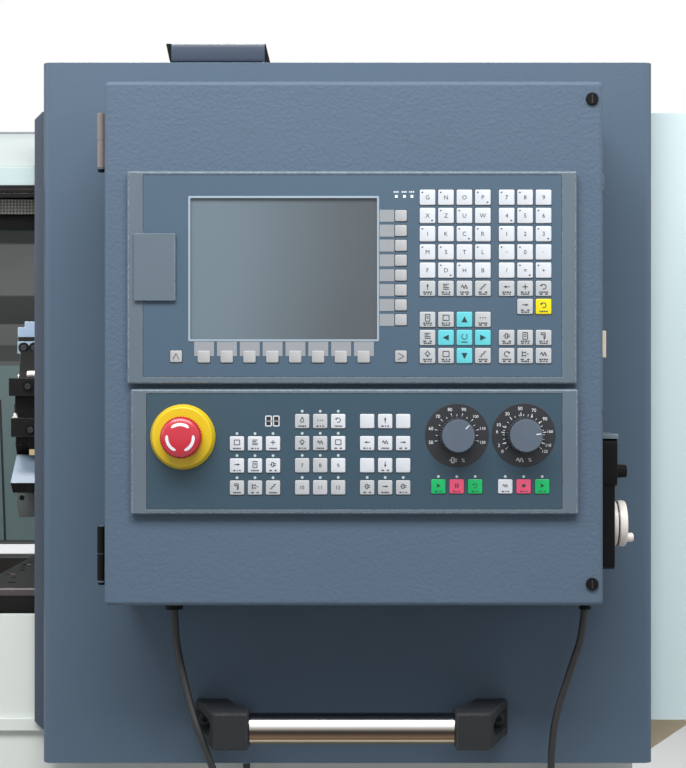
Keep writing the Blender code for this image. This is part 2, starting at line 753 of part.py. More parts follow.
def headstock():
    """Cast headstock with a rounded crown, a bored spindle seat and ribs on its back."""
    low = WAY_TOP + GAP
    half = HEAD_HALF_WIDTH
    outline = [(-half - 0.02, low), (half + 0.02, low), (half + 0.02, low + 0.03), (half, low + 0.045)]
    for step in range(7):
        angle = math.radians(180 * step / 6)
        outline.append((half * math.cos(angle), SPINDLE_HEIGHT + half * 0.9 * math.sin(angle)))
    outline += [(-half, low + 0.045), (-half - 0.02, low + 0.03)]
    casting = prism("X", outline, HEAD_LEFT, HEAD_RIGHT)
    bore = cylinder("X", (0, 0, SPINDLE_HEIGHT), SPINDLE_RADIUS + RUN, HEAD_LEFT - 0.01, HEAD_RIGHT + 0.01, 26)
    grooves = []
    for index in range(3):
        middle = HEAD_LEFT + (HEAD_RIGHT - HEAD_LEFT) * (index + 1) / 4
        crown = SPINDLE_HEIGHT + half * 0.9
        grooves.append(box(middle - 0.022, middle + 0.022, -half, half, crown - 0.018, crown + 0.01))
    return casting.cut(bore, together(grooves))


# Guards, roof and rails

def guard(left, right, open_side):
    """Part of the enclosure: front, end wall, top and a bottom return over the pan's lip.

    The side that faces the machining space may be open, and then the back is open too.
    """
    outline = rounded(left, FRONT, right, REAR + BEND * 2, BEND, 2)
    shell = prism("Z", outline, GUARD_BOTTOM, ROOF_TOP)
    shell = shell.cut(box(left - 0.01, right + 0.01, REAR, REAR + 0.05, GUARD_BOTTOM - 0.01, ROOF_TOP + 0.01))
    inner_left = left + SHEET if open_side != "left" else left - 0.01
    inner_right = right - SHEET if open_side != "right" else right + 0.01
    inner_rear = REAR + 0.01 if open_side != "none" else REAR - SHEET
    room = box(inner_left, inner_right, FRONT + SHEET, inner_rear, GUARD_BOTTOM + SHEET, ROOF_TOP - SHEET)
    under = box(inner_left, inner_right, BASE_FRONT, inner_rear, GUARD_BOTTOM - 0.01, GUARD_BOTTOM + 2 * SHEET)
    return shell.cut(room, under)


def right_guard():
    shell = guard(OPENING_RIGHT, RIGHT_END, "left")
    edge = box(OPENING_RIGHT, OPENING_RIGHT + SHEET, FRONT + SHEET / 2, FRONT + 0.020,
               GUARD_BOTTOM + SHEET / 2, ROOF_TOP - SHEET / 2)
    return shell.join(edge)


def left_guard():
    """Housing over the headstock; its inner wall parts the drive from the machining space."""
    shell = guard(LEFT_END, OPENING_LEFT, "none")
    nose = cylinder("X", (0, 0, SPINDLE_HEIGHT), NOSE_RADIUS + 0.010, OPENING_LEFT - 0.02, OPENING_LEFT + 0.02)
    bed_slot = box(OPENING_LEFT - 0.02, OPENING_LEFT + 0.02, FRONT_WAY - 0.004, REAR_WAY + 0.004,
                   GUARD_BOTTOM - 0.02, WAY_TOP + 0.003)
    lip_slot = box(OPENING_LEFT - 0.02, OPENING_LEFT + 0.02, BASE_FRONT - GAP, REAR + 0.01,
                   GUARD_BOTTOM - 0.02, PAN_LIP_TOP + GAP)
    slots = []
    for index in range(8):
        low = SPINDLE_HEIGHT - 0.10 + 0.025 * index
        slots.append(box(LEFT_END - 0.01, LEFT_END + 0.01, -0.10, 0.10, low, low + 0.008))
    return shell.cut(nose, bed_slot, lip_slot, together(slots))


def roof_panel():
    """Header and roof between the guards, folded back in a slope above the opening."""
    top = ROOF_TOP - SHEET
    path = [(FRONT + 0.060, HEADER_BOTTOM), (FRONT, HEADER_BOTTOM), (FRONT, HEADER_FOLD),
            (FRONT + HEADER_DEPTH, top), (REAR, top)]
    outline = folded(path[::-1], SHEET, BEND)
    return prism("X", outline, OPENING_LEFT + GAP, OPENING_RIGHT - GAP)


def rear_guard():
    """Rear wall of the machining space, stepped by horizontal folds."""
    wall = REAR + GAP
    path = [(wall, ROOF_TOP - 2 * SHEET)]
    path += [(wall - depth, ROOF_TOP - drop) for depth, drop in WALL_FOLDS_UPPER]
    path += [(wall - depth, GUARD_BOTTOM + rise) for depth, rise in WALL_FOLDS_LOWER]
    outline = folded(path, SHEET, BEND)
    return prism("X", outline, OPENING_LEFT + 2 * GAP, RIGHT_END - 2 * SHEET - 2 * GAP)


def front_apron():
    """Lower front panel with the raised sill of the opening and the door's lower guide bar."""
    guard_seat = GUARD_BOTTOM - GAP
    left, right = OPENING_LEFT + GAP, OPENING_RIGHT - GAP
    outline = [(BASE_LEFT, APRON_BOTTOM), (BASE_RIGHT, APRON_BOTTOM), (BASE_RIGHT, guard_seat),
               (right, guard_seat), (right, SILL_TOP), (left, SILL_TOP), (left, guard_seat), (BASE_LEFT, guard_seat)]
    front = prism("Y", outline, FRONT, FRONT + SHEET)
    sill = box(left, right, FRONT + SHEET / 2, FRONT + SILL_DEPTH, SILL_TOP - SHEET, SILL_TOP)
    sill = softened(sill, 0.001, 1)
    depth = BASE_FRONT - GAP
    ends = []
    for x in (BASE_LEFT, BASE_RIGHT - SHEET):
        ends.append(box(x, x + SHEET, FRONT + SHEET / 2, depth, APRON_BOTTOM, guard_seat - 0.02))
    lower = box(BASE_LEFT + SHEET / 2, BASE_RIGHT - SHEET / 2, FRONT + SHEET / 2, depth,
                APRON_BOTTOM, APRON_BOTTOM + SHEET)
    bar = box(RAIL_LEFT, RAIL_RIGHT, FRONT - GAP - RAIL_THICKNESS, FRONT - GAP, GUIDE_BOTTOM, GUIDE_TOP)
    stand = box(RAIL_LEFT, RAIL_RIGHT, FRONT - GAP - RAIL_THICKNESS, FRONT + SHEET / 2,
                GUIDE_BOTTOM, guard_seat - 0.002)
    return front.join(sill, together(ends), lower, stand, bar)


def upper_rail():
    """Flat bar that the door hangs on, with a flange under the header's return."""
    bar = box(RAIL_LEFT, RAIL_RIGHT, FRONT - GAP - RAIL_THICKNESS, FRONT - GAP, RAIL_BOTTOM, RAIL_TOP)
    flange = box(OPENING_LEFT + 2 * GAP, OPENING_RIGHT - 2 * GAP, FRONT - GAP - RAIL_THICKNESS / 2,
                 FRONT + 0.012, RAIL_TOP - 0.003, HEADER_BOTTOM - GAP)
    groove = box(RAIL_LEFT - 0.01, RAIL_RIGHT + 0.01, FRONT - GAP - RAIL_THICKNESS - 0.001,
                 FRONT - GAP - RAIL_THICKNESS + 0.0008, RAIL_BOTTOM + 4 * RAIL_GROOVE,
                 RAIL_BOTTOM + 5 * RAIL_GROOVE)
    return bar.join(flange).cut(groove)


def work_lamp():
    """Long lamp under the header: a raised dotted screen over a ribbed black housing."""
    front = FRONT + LAMP_INSET
    outline = [(front + depth, HEADER_BOTTOM - drop) for depth, drop in LAMP_PROFILE]
    return prism("X", outline, OPENING_LEFT + 0.02, OPENING_RIGHT - 0.004)


# Headstock drive, spindle and chuck

def spindle():
    """Hollow spindle with a grooved belt pulley at its left end and a nose flange."""
    nose = OPENING_LEFT - GAP
    left = HEAD_LEFT - 0.004
    out = left - PULLEY_WIDTH
    profile = [(SPINDLE_BORE, out - 0.010), (SPINDLE_RADIUS * 0.8, out - 0.010), (SPINDLE_RADIUS * 0.8, out)]
    grooves = 2
    for index in range(grooves):
        begin = out + PULLEY_WIDTH * index / grooves
        width = PULLEY_WIDTH / grooves
        profile += [(PULLEY_RADIUS, begin + 0.001), (PULLEY_RADIUS, begin + width * 0.25)]
        profile += [(PULLEY_RADIUS - 0.010, begin + width * 0.5), (PULLEY_RADIUS, begin + width * 0.75)]
    profile += [(PULLEY_RADIUS, left), (SPINDLE_RADIUS, left), (SPINDLE_RADIUS, nose - NOSE_LENGTH),
                (NOSE_RADIUS, nose - NOSE_LENGTH), (NOSE_RADIUS, nose), (SPINDLE_BORE, nose)]
    return turned_solid("X", (0, 0, SPINDLE_HEIGHT), profile, 26)


def chuck_slot(grow):
    """The radial slot of one jaw, upwards from the spindle axis, grown by a clearance."""
    face = OPENING_LEFT + CHUCK_LENGTH
    half = JAW_WIDTH / 2 + grow
    return box(face - JAW_DEPTH - grow, face + 0.01, -half, half, SPINDLE_HEIGHT + JAW_BORE * 0.5,
               SPINDLE_HEIGHT + CHUCK_RADIUS + 0.01)


def chuck_body():
    """Chuck body with a through bore, a stepped back and three radial slots."""
    back = OPENING_LEFT
    face = back + CHUCK_LENGTH
    profile = [
        (SPINDLE_BORE, back), (CHUCK_RADIUS - 0.006, back), (CHUCK_RADIUS - 0.006, back + 0.018),
        (CHUCK_RADIUS, back + 0.020), (CHUCK_RADIUS, face - 0.003), (CHUCK_RADIUS - 0.003, face),
        (SPINDLE_BORE, face)]
    body = turned_solid("X", (0, 0, SPINDLE_HEIGHT), profile, 30)
    axis = (0, 0, SPINDLE_HEIGHT)
    slots = [chuck_slot(GAP).turned("X", 120 * index, axis) for index in range(3)]
    return body.cut(*slots)


def chuck_jaw(index):
    """Stepped jaw that slides in its slot of the chuck."""
    face = OPENING_LEFT + CHUCK_LENGTH
    axis = SPINDLE_HEIGHT
    half = JAW_WIDTH / 2
    low = axis + JAW_BORE
    steps = [(face - JAW_DEPTH, low), (face + JAW_REACH, low), (face + JAW_REACH, low + 0.012),
             (face + JAW_REACH * 0.62, low + 0.012), (face + JAW_REACH * 0.62, low + 0.026),
             (face + JAW_REACH * 0.30, low + 0.026), (face + JAW_REACH * 0.30, low + 0.044),
             (face + 0.002, low + 0.050), (face - JAW_DEPTH, low + 0.050)]
    jaw = prism("Y", steps, -half, half)
    return jaw.turned("X", 120 * index, (0, 0, axis))


def spindle_motor():
    """Ribbed motor on the base behind the headstock, its pulley under the spindle's."""
    middle = (0.0, MOTOR_Y, MOTOR_Z)
    right = HEAD_LEFT + 0.06 + MOTOR_LENGTH
    left = HEAD_LEFT + 0.06
    profile = [(0.0, left - 0.07), (0.035, left - 0.07), (0.035, left - 0.03), (0.014, left - 0.03), (0.014, left)]
    ribs = 4
    pitch = (right - left) / ribs
    for index in range(ribs):
        begin = left + pitch * index
        profile += [(MOTOR_RADIUS, begin), (MOTOR_RADIUS, begin + pitch * 0.6)]
        profile += [(MOTOR_RADIUS - 0.008, begin + pitch * 0.62), (MOTOR_RADIUS - 0.008, begin + pitch * 0.98)]
    profile += [(MOTOR_RADIUS - 0.008, right), (0.0, right)]
    body = turned_solid("X", middle, profile, 18)
    seat = PAN_FLOOR
    stand = box(left + 0.02, right - 0.02, MOTOR_Y - 0.05, MOTOR_Y + 0.05, seat, MOTOR_Z - MOTOR_RADIUS * 0.6)
    return body.join(stand)


def servo(axis, centre, half, length):
    """Square servo motor with a flange and an end cap, from its flange face along an axis."""
    across, up, along = seen_along(axis, centre)

    def block(size, begin, end, radius):
        outline = rounded(across - size, up - size, across + size, up + size, radius, 2)
        return prism(axis, outline, along + begin, along + end)

    flange = block(half, 0.0, length * 0.10, 0.006)
    barrel = block(half * 0.90, length * 0.08, length * 0.80, 0.012)
    cap = block(half * 0.82, length * 0.78, length, 0.014)
    return flange.join(barrel, cap)


def z_servo_motor():
    """Drive motor of the long axis, on the bed's right end, with its mounting plate."""
    height = WAY_TOP - 0.035
    middle_y = (FRONT_WAY + REAR_WAY) / 2
    start = BED_RIGHT + GAP
    body = servo("X", (start + 0.012, middle_y, height), SERVO_HALF, SERVO_LENGTH - 0.014)
    plate = box(start, start + 0.0125, middle_y - 0.055, middle_y + 0.055, height - 0.055, height + 0.045)
    return body.join(plate)


# Saddle, cross slide and turret

def dovetail(grow, low, high):
    """Outline of the cross slide's dovetail, wider at its top, grown by a clearance."""
    middle = (SADDLE_LEFT + SADDLE_RIGHT) / 2
    half = DOVETAIL_WIDTH / 2 + grow
    return [(middle - half, low), (middle + half, low), (middle + half + DOVETAIL_FLARE, high),
            (middle - half - DOVETAIL_FLARE, high)]


def saddle():
    """Saddle on the bed's ways, with side aprons, a dovetail and the cross drive's motor."""
    low = WAY_TOP + GAP
    front_skirt = FRONT_WAY - GAP
    rear_skirt = REAR_WAY + GAP
    outline = [(SADDLE_FRONT, low), (front_skirt - 0.015, low), (front_skirt - 0.015, low - 0.030),
               (front_skirt, low - 0.030), (front_skirt, low), (rear_skirt, low), (rear_skirt, low - 0.030),
               (rear_skirt + 0.012, low - 0.030), (rear_skirt + 0.012, SADDLE_TOP), (SADDLE_FRONT, SADDLE_TOP)]
    body = prism("X", outline, SADDLE_LEFT, SADDLE_RIGHT)
    waist = []
    for near, far in ((SADDLE_LEFT - 0.01, SADDLE_LEFT + 0.035), (SADDLE_RIGHT - 0.035, SADDLE_RIGHT + 0.01)):
        waist.append(prism("Z", rounded(near, FRONT_WAY + WAY_WIDTH, far, REAR_WAY - WAY_WIDTH, 0.015, 2),
                           low - 0.05, SADDLE_TOP + 0.01))
    tail = prism("Y", dovetail(0.0, SADDLE_TOP - 0.002, DOVETAIL_TOP), SADDLE_FRONT, 0.060)
    motor_x = (SADDLE_LEFT + SADDLE_RIGHT) / 2
    motor = servo("Z", (motor_x, REAR_WAY - SERVO_HALF - 0.012, SADDLE_TOP - 0.001), SERVO_HALF, SERVO_LENGTH)
    return body.cut(together(waist)).join(tail, motor)


def cross_slide():
    """Slotted black plate that carries the turret, on a dovetail with its screws' counterbores."""
    low = SADDLE_TOP + GAP
    block = box(SADDLE_LEFT, SADDLE_RIGHT, PLATE_FRONT, PLATE_REAR, low, PLATE_TOP)
    block = softened(block, 0.0015, 1)
    slot = prism("Y", dovetail(GAP, low - 0.002, DOVETAIL_TOP + GAP), PLATE_FRONT - 0.01, PLATE_REAR + 0.01)
    holes = []
    for index in range(4):
        y = PLATE_FRONT + 0.030 + 0.100 * index
        for x in (SADDLE_LEFT + 0.014, SADDLE_RIGHT - 0.014):
            holes.append(cylinder("Z", (x, y, 0), 0.0065, PLATE_TOP - 0.007, PLATE_TOP + 0.01, 12))
    return block.cut(slot, together(holes))


def turret_housing():
    """Indexing housing behind the turret disc, on a flanged foot."""
    left = TURRET_LEFT + TURRET_THICKNESS + RUN
    right = HOUSING_RIGHT
    y, z = TURRET_AXIS_Y, TURRET_AXIS_Z
    flange = HOUSING_RADIUS + HOUSING_FLANGE
    barrel = turned_solid("X", (0, y, z), [
        (0.0, left), (flange, left), (flange, left + HOUSING_FLANGE_LENGTH),
        (HOUSING_RADIUS, left + HOUSING_FLANGE_LENGTH + SHEET), (HOUSING_RADIUS, right - HOUSING_ROUND),
        (HOUSING_RADIUS - HOUSING_ROUND, right), (0.0, right)], 28)
    foot_low = PLATE_TOP + GAP
    rings = []
    for level, half, shift in ((foot_low, HOUSING_FOOT_HALF, 0.004),
                               (foot_low + HOUSING_FOOT_HEIGHT, HOUSING_FOOT_HALF, 0.004),
                               (z, HOUSING_COLUMN_HALF, HOUSING_ROUND + 0.014)):
        near, far = left + 0.002, right - shift
        rings.append([Vector((near, y - half, level)), Vector((far, y - half, level)),
                      Vector((far, y + half, level)), Vector((near, y + half, level))])
    return barrel.join(loft(rings))


def station_angle(index):
    return 360.0 * index / TURRET_STATIONS


def turret_disc():
    """Eight-sided turret disc with a flat seat, a bore and two screws for each tool holder."""
    y, z = TURRET_AXIS_Y, TURRET_AXIS_Z
    corner = TURRET_RADIUS / math.cos(math.pi / TURRET_STATIONS)
    outline = []
    for index in range(TURRET_STATIONS):
        angle = math.radians(station_angle(index) + 180 / TURRET_STATIONS)
        outline.append((y + corner * math.cos(angle), z + corner * math.sin(angle)))
    disc = prism("X", outline, TURRET_LEFT, TURRET_LEFT + TURRET_THICKNESS)
    disc = softened(disc, 0.002, 1)
    recess = turned_solid("X", (0, y, z), [
        (0.0, TURRET_LEFT - 0.001), (0.036, TURRET_LEFT - 0.001), (0.032, TURRET_LEFT + 0.005),
        (0.0, TURRET_LEFT + 0.005)], 24)
    hub = cylinder("X", (0, y, z), 0.018, TURRET_LEFT - 0.004, TURRET_LEFT + 0.010, 16)
    screws = []
    for index in range(TURRET_BOLTS):
        angle = math.radians(360 * index / TURRET_BOLTS)
        place = (0, y + 0.048 * math.cos(angle), z + 0.048 * math.sin(angle))
        screws.append(cylinder("X", place, 0.005, TURRET_LEFT - 0.001, TURRET_LEFT + 0.006, 8))
    return disc.cut(recess, together(screws)).join(hub)


def holder_block(width, height, depth_left, depth_right):
    """A plain holder block on the disc's top seat, before it is turned to its station."""
    y, low = TURRET_AXIS_Y, TURRET_AXIS_Z + TURRET_RADIUS + GAP
    middle = TURRET_LEFT + TURRET_THICKNESS / 2
    block = box(middle - depth_left, middle + depth_right, y - width / 2, y + width / 2, low, low + height)
    return softened(block, 0.0012, 1)


def tool_holder(index):
    """Tool holder of one station: a stepped top block, two turning blocks or a bar holder."""
    y, low = TURRET_AXIS_Y, TURRET_AXIS_Z + TURRET_RADIUS + GAP
    middle = TURRET_LEFT + TURRET_THICKNESS / 2
    if index == 0:
        outline = [(middle - 0.028, low), (middle + 0.018, low), (middle + 0.018, low + 0.034),
                   (middle - 0.006, low + 0.034), (middle - 0.006, low + 0.028), (middle - 0.017, low + 0.028),
                   (middle - 0.017, low + 0.020), (middle - 0.028, low + 0.020)]
        block = prism("Y", outline, y - 0.024, y + 0.024)
        screws = [cylinder("Y", (middle - 0.014 + 0.024 * step, 0, low + 0.010), 0.0055, y - 0.026,
                           y - 0.018, 12) for step in range(2)]
        block = block.cut(together(screws))
    elif index in (2, 6):
        block = holder_block(0.044, 0.032, 0.026, 0.018)
        tool = box(middle - 0.044, middle + 0.016, y + 0.004, y + 0.017, low + 0.010, low + 0.023)
        wedge = box(middle - 0.020, middle + 0.016, y - 0.010, y - 0.002, low + 0.024, low + 0.036)
        block = block.join(tool, wedge)
    else:
        sleeve = turned_solid("X", (0, y, low + 0.022), [
            (0.008, middle - 0.040), (0.018, middle - 0.040), (0.020, middle - 0.036), (0.020, middle + 0.016),
            (0.008, middle + 0.016)], 14)
        foot_block = holder_block(0.044, 0.016, 0.024, 0.018)
        bar = cylinder("X", (0, y, low + 0.022), 0.0081, middle - 0.058, middle + 0.018, 12)
        block = foot_block.join(sleeve).join(bar)
    return block.turned("X", station_angle(index), (0, y, TURRET_AXIS_Z))


# Tailstock

def tailstock_body():
    """Cast tailstock with a tapered column, a bored barrel and a clamping foot on the ways."""
    low = WAY_TOP + GAP
    half = TAIL_HALF_WIDTH
    foot_front, foot_rear = FRONT_WAY, REAR_WAY
    outline = [(foot_front, low), (foot_rear, low), (foot_rear, low + 0.035), (half + 0.02, low + 0.05),
               (half * 0.8, SPINDLE_HEIGHT - 0.02)]
    for step in range(1, 6):
        angle = math.radians(180 * step / 6)
        outline.append((half * math.cos(angle), SPINDLE_HEIGHT + half * math.sin(angle)))
    outline += [(-half * 0.8, SPINDLE_HEIGHT - 0.02), (-half - 0.02, low + 0.05), (foot_front, low + 0.035)]
    casting = prism("X", outline, TAIL_LEFT, TAIL_RIGHT)
    bore = cylinder("X", (0, 0, SPINDLE_HEIGHT), QUILL_RADIUS + RUN, TAIL_LEFT - 0.01, TAIL_RIGHT - 0.008, 28)
    clamp_plate = box(TAIL_LEFT + 0.03, TAIL_RIGHT - 0.03, FRONT_WAY + WAY_WIDTH + 0.004,
                      REAR_WAY - WAY_WIDTH - 0.004, WAY_TOP - WAY_THICKNESS + 0.006, low + 0.002)
    return casting.cut(bore).join(clamp_plate)


def quill():
    """Tailstock quill with its live centre."""
    tip = TAIL_LEFT - QUILL_REACH
    profile = [(0.0, tip - 0.055), (0.011, tip - 0.038), (0.011, tip - 0.030), (0.021, tip - 0.028),
               (0.021, tip - 0.006), (0.016, tip - 0.004), (0.016, tip), (QUILL_RADIUS, tip + 0.002),
               (QUILL_RADIUS, TAIL_RIGHT - 0.012), (0.0, TAIL_RIGHT - 0.012)]
    return turned_solid("X", (0, 0, SPINDLE_HEIGHT), profile, 20)


# Door

def door_panel():
    """Folded door tray with round upright bends and the four shoes that run on its rails."""
    outline = rounded(DOOR_LEFT, DOOR_FRONT, DOOR_RIGHT, DOOR_FRONT + 0.1, DOOR_CORNER, 4)
    inner = rounded(DOOR_LEFT + DOOR_SHEET, DOOR_FRONT + DOOR_SHEET, DOOR_RIGHT - DOOR_SHEET,
                    DOOR_FRONT + 0.1, DOOR_CORNER - DOOR_SHEET, 4)
    outer = prism("Z", outline, DOOR_BOTTOM, DOOR_TOP)
    room = prism("Z", inner, DOOR_BOTTOM + DOOR_SHEET, DOOR_TOP - DOOR_SHEET)
    behind = box(DOOR_LEFT - 0.1, DOOR_RIGHT + 0.1, DOOR_REAR, DOOR_FRONT + 0.2, DOOR_BOTTOM - 0.1, DOOR_TOP + 0.1)
    tray = outer.cut(room, behind)
    shoes = []
    skin = DOOR_FRONT + DOOR_SHEET / 2
    rear = FRONT - 2 * GAP - RAIL_THICKNESS / 2
    for middle in (DOOR_LEFT + SHOE_INSET, DOOR_RIGHT - SHOE_INSET):
        near, far = middle - SHOE_LENGTH / 2, middle + SHOE_LENGTH / 2
        shoes.append(box(near, far, skin, rear, RAIL_TOP + GAP, RAIL_TOP + GAP + SHOE_HEIGHT))
        shoes.append(box(near, far, skin, rear, GUIDE_BOTTOM - GAP - SHOE_HEIGHT, GUIDE_BOTTOM - GAP))
    grommets = []
    for x in (LEFT_RETURN_X, RIGHT_RETURN_X):
        grommets.append(cylinder("Z", (x, CABLE_RETURN_Y, 0), CABLE_RADIUS + 0.003, DOOR_BOTTOM - 0.003,
                                 DOOR_BOTTOM + 0.006, 16))
    return tray.join(together(shoes), together(grommets))


def door_edge_strip():
    """Dark sealing strip behind the door's left edge, with cut-off corners."""
    left = DOOR_LEFT - STRIP_OVERHANG
    right = left + STRIP_WIDTH
    low, high = STRIP_BOTTOM, STRIP_TOP
    cut = STRIP_OVERHANG * 0.6
    outline = [(left, low + cut), (left + cut, low), (right, low), (right, high), (left + cut, high), (left, high - cut)]
    return prism("Y", outline, DOOR_REAR + GAP, DOOR_REAR + GAP + STRIP_THICKNESS)


def door_top_bracket():
    """Channel bracket on the door's top that carries the box's leads back over the roof."""
    seat = DOOR_TOP + GAP
    top = BRACKET_TOP
    path = [(DOOR_REAR - 0.002, seat), (DOOR_FRONT + 0.001, seat), (DOOR_FRONT + 0.001, top), (BRACKET_REAR, top),
            (BRACKET_REAR, top - 0.030)]
    channel = prism("X", folded(path[::-1], 0.0025, 0.004, 2), BRACKET_LEFT, BRACKET_RIGHT)
    cheek = [(DOOR_FRONT + 0.002, seat), (DOOR_REAR + 0.004, seat), (BRACKET_REAR - 0.004, top - 0.028),
             (BRACKET_REAR - 0.001, top - 0.001), (DOOR_FRONT + 0.002, top - 0.001)]
    gusset = prism("X", cheek, BRACKET_RIGHT - 0.0025, BRACKET_RIGHT)
    return channel.join(gusset)


def handle_tube():
    y = DOOR_FRONT - HANDLE_STAND_OFF
    inner = GRIP_HALF - GAP
    return turned_solid("X", (HANDLE_X, y, HANDLE_Z), [
        (TUBE_RADIUS - 0.0018, -inner), (TUBE_RADIUS, -inner), (TUBE_RADIUS, inner), (TUBE_RADIUS - 0.0018, inner)], 24)


def handle_bracket(side):
    """Slanted handle foot: a square head for the tube and a wedge-shaped foot with its screw."""
    axis_y = DOOR_FRONT - HANDLE_STAND_OFF
    half = HEAD_HALF_LENGTH
    back = DOOR_FRONT - GAP
    outline = [(GRIP_HALF, axis_y - half), (GRIP_HALF + 2 * half - 0.004, axis_y - half),
               (GRIP_HALF + 2 * half, axis_y - half + 0.004), (FOOT_HALF - 0.004, back - 0.016),
               (FOOT_HALF, back - 0.010), (FOOT_HALF, back), (SCREW_HALF - 0.022, back),
               (GRIP_HALF + 0.010, axis_y + half), (GRIP_HALF, axis_y + half)]
    outline = [(HANDLE_X + side * across, up) for across, up in outline]
    block = prism("Z", outline, HANDLE_Z - half, HANDLE_Z + half)
    block = softened(block, 0.0018, 1, 40)
    screw_x = HANDLE_X + side * SCREW_HALF
    far = HANDLE_X + side * (FOOT_HALF + 0.01)
    low_x, high_x = sorted((screw_x - side * (SCREW_RADIUS + 0.002), far))
    recess = prism("Y", rounded(low_x, HANDLE_Z - 0.0095, high_x, HANDLE_Z + 0.0095, 0.006, 3), axis_y - 0.03,
                   back - 0.0085)
    screw = turned_solid("Y", (screw_x, 0, HANDLE_Z), [
        (0.0, back - 0.0150), (0.0034, back - 0.0150), (0.0034, back - 0.0175), (SCREW_RADIUS - 0.0006, back - 0.0175),
        (SCREW_RADIUS, back - 0.0168), (SCREW_RADIUS, back - 0.0080), (0.0, back - 0.0080)], 16)
    return block.cut(recess).join(screw)


# Operator box on the door

def control_box():
    """Box behind the cover, open to the front, with its hinge barrels, rim and side plugs."""
    left, right = BOX_LEFT + BOX_INSET, BOX_RIGHT - BOX_INSET
    low, high = BOX_BOTTOM + BOX_INSET, BOX_TOP - BOX_INSET
    front = COVER_FRONT + COVER_DEPTH + GAP
    back = DOOR_FRONT - GAP
    wall = BOX_WALL
    shell = prism("Y", rounded(left, low, right, high, 0.004, 2), front, back)
    room = box(left + wall, right - wall, front + wall, back - wall, low + wall, high - wall)
    mouth = box(left + BOX_RIM, right - BOX_RIM, front - 0.01, front + 2 * wall, low + BOX_RIM, high - BOX_RIM)
    shell = shell.cut(room, mouth)
    axis = (BOX_LEFT - HINGE_OFFSET, COVER_FRONT + COVER_DEPTH, 0.0)
    parts = []
    for height in HINGE_HEIGHTS:
        begin, end = height - HINGE_LENGTH / 2, height + HINGE_LENGTH / 2
        parts.append(turned_solid("Z", axis, [
            (0.0, begin - 0.004), (HINGE_RADIUS * 0.5, begin - 0.004), (HINGE_RADIUS, begin - 0.001),
            (HINGE_RADIUS, end), (0.0, end + 0.001)], 12).join(
            box(axis[0] - HINGE_RADIUS * 0.6, axis[0] + HINGE_RADIUS * 0.6, axis[1], axis[1] + 0.020, begin + 0.004,
                end - 0.004),
            box(axis[0] - HINGE_RADIUS * 0.6, left + wall / 2, axis[1] + 0.012, axis[1] + 0.020, begin + 0.004,
                end - 0.004)))
    side = right - wall / 2
    across, up = OVAL_PLUG_HALF_WIDTH, OVAL_PLUG_HALF_HEIGHT
    oval = rounded(PLUG_Y - across, OVAL_PLUG_Z - up, PLUG_Y + across, OVAL_PLUG_Z + up, across - 0.0005, 4)
    parts.append(softened(prism("X", oval, side, BOX_RIGHT + 0.0055), 0.0012, 1, 60))
    parts.append(cylinder("X", (0, PLUG_Y, ROUND_PLUG_Z), ROUND_PLUG_RADIUS, side, BOX_RIGHT + 0.0035, 16))
    return shell.join(*parts)


def gland(x, ribs, wide):
    """Cable gland under the box, with a bore for its cable's end."""
    top = BOX_BOTTOM + BOX_INSET - GAP
    low = top - GLAND_LENGTH
    profile = [(0.0, low + 0.004), (CABLE_RADIUS + 0.0006, low + 0.004), (CABLE_RADIUS + 0.0006, low)]
    pitch = (GLAND_LENGTH - 0.003) / ribs
    for index in range(ribs):
        begin = low + pitch * index
        profile += [(wide, begin), (wide, begin + pitch * 0.55), (wide - 0.0012, begin + pitch * 0.6),
                    (wide - 0.0012, begin + pitch * 0.95)]
    profile += [(wide + 0.001, top - 0.003), (wide + 0.001, top), (0.0, top)]
    return turned_solid("Z", (x, GLAND_Y, 0), profile, 12)


def box_cover():
    """Hinged cover of the operator box: a shallow tray with windows for the two units."""
    low_x, high_x = BOX_LEFT, BOX_RIGHT
    rear = COVER_FRONT + COVER_DEPTH
    tray = prism("Y", rounded(low_x, BOX_BOTTOM, high_x, BOX_TOP, 0.004, 2), COVER_FRONT, rear)
    tray = softened(tray, COVER_CORNER * 0.6, 2, 60)
    sheet = COVER_SHEET
    room = box(low_x + sheet, high_x - sheet, COVER_FRONT + sheet, rear + 0.01, BOX_BOTTOM + sheet, BOX_TOP - sheet)
    windows = []
    for unit_left, unit_top, width, height in UNITS:
        windows.append(box(unit_left + UNIT_FLANGE, unit_left + width - UNIT_FLANGE, COVER_FRONT - 0.01,
                           COVER_FRONT + 0.01, unit_top - height + UNIT_FLANGE, unit_top - UNIT_FLANGE))
    locks = []
    for height in LOCK_HEIGHTS:
        locks.append(cylinder("Y", (BOX_RIGHT - LOCK_INSET, 0, height), LOCK_SHAFT + GAP, COVER_FRONT - 0.01,
                              COVER_FRONT + 0.01, 12))
    return tray.cut(room, together(windows), together(locks))


def unit_body(left, top, width, height, field):
    """Front plate of a unit with a recess for its keypad, and the housing behind it."""
    back = COVER_FRONT - GAP
    plate = box(left, left + width, UNIT_FRONT, back, top - height, top)
    plate = softened(plate, UNIT_CORNER * 0.5, 1)
    inset = UNIT_FLANGE + GAP
    housing = box(left + inset, left + width - inset, back - 0.002, UNIT_FRONT + UNIT_DEPTH,
                  top - height + inset, top - inset)
    near_x, near_z, far_x, far_z = field
    recess = box(left + near_x, left + far_x, UNIT_FRONT - 0.01, UNIT_FRONT + FIELD_DEPTH + GAP,
                 top - far_z, top - near_z)
    return plate.join(housing).cut(recess)


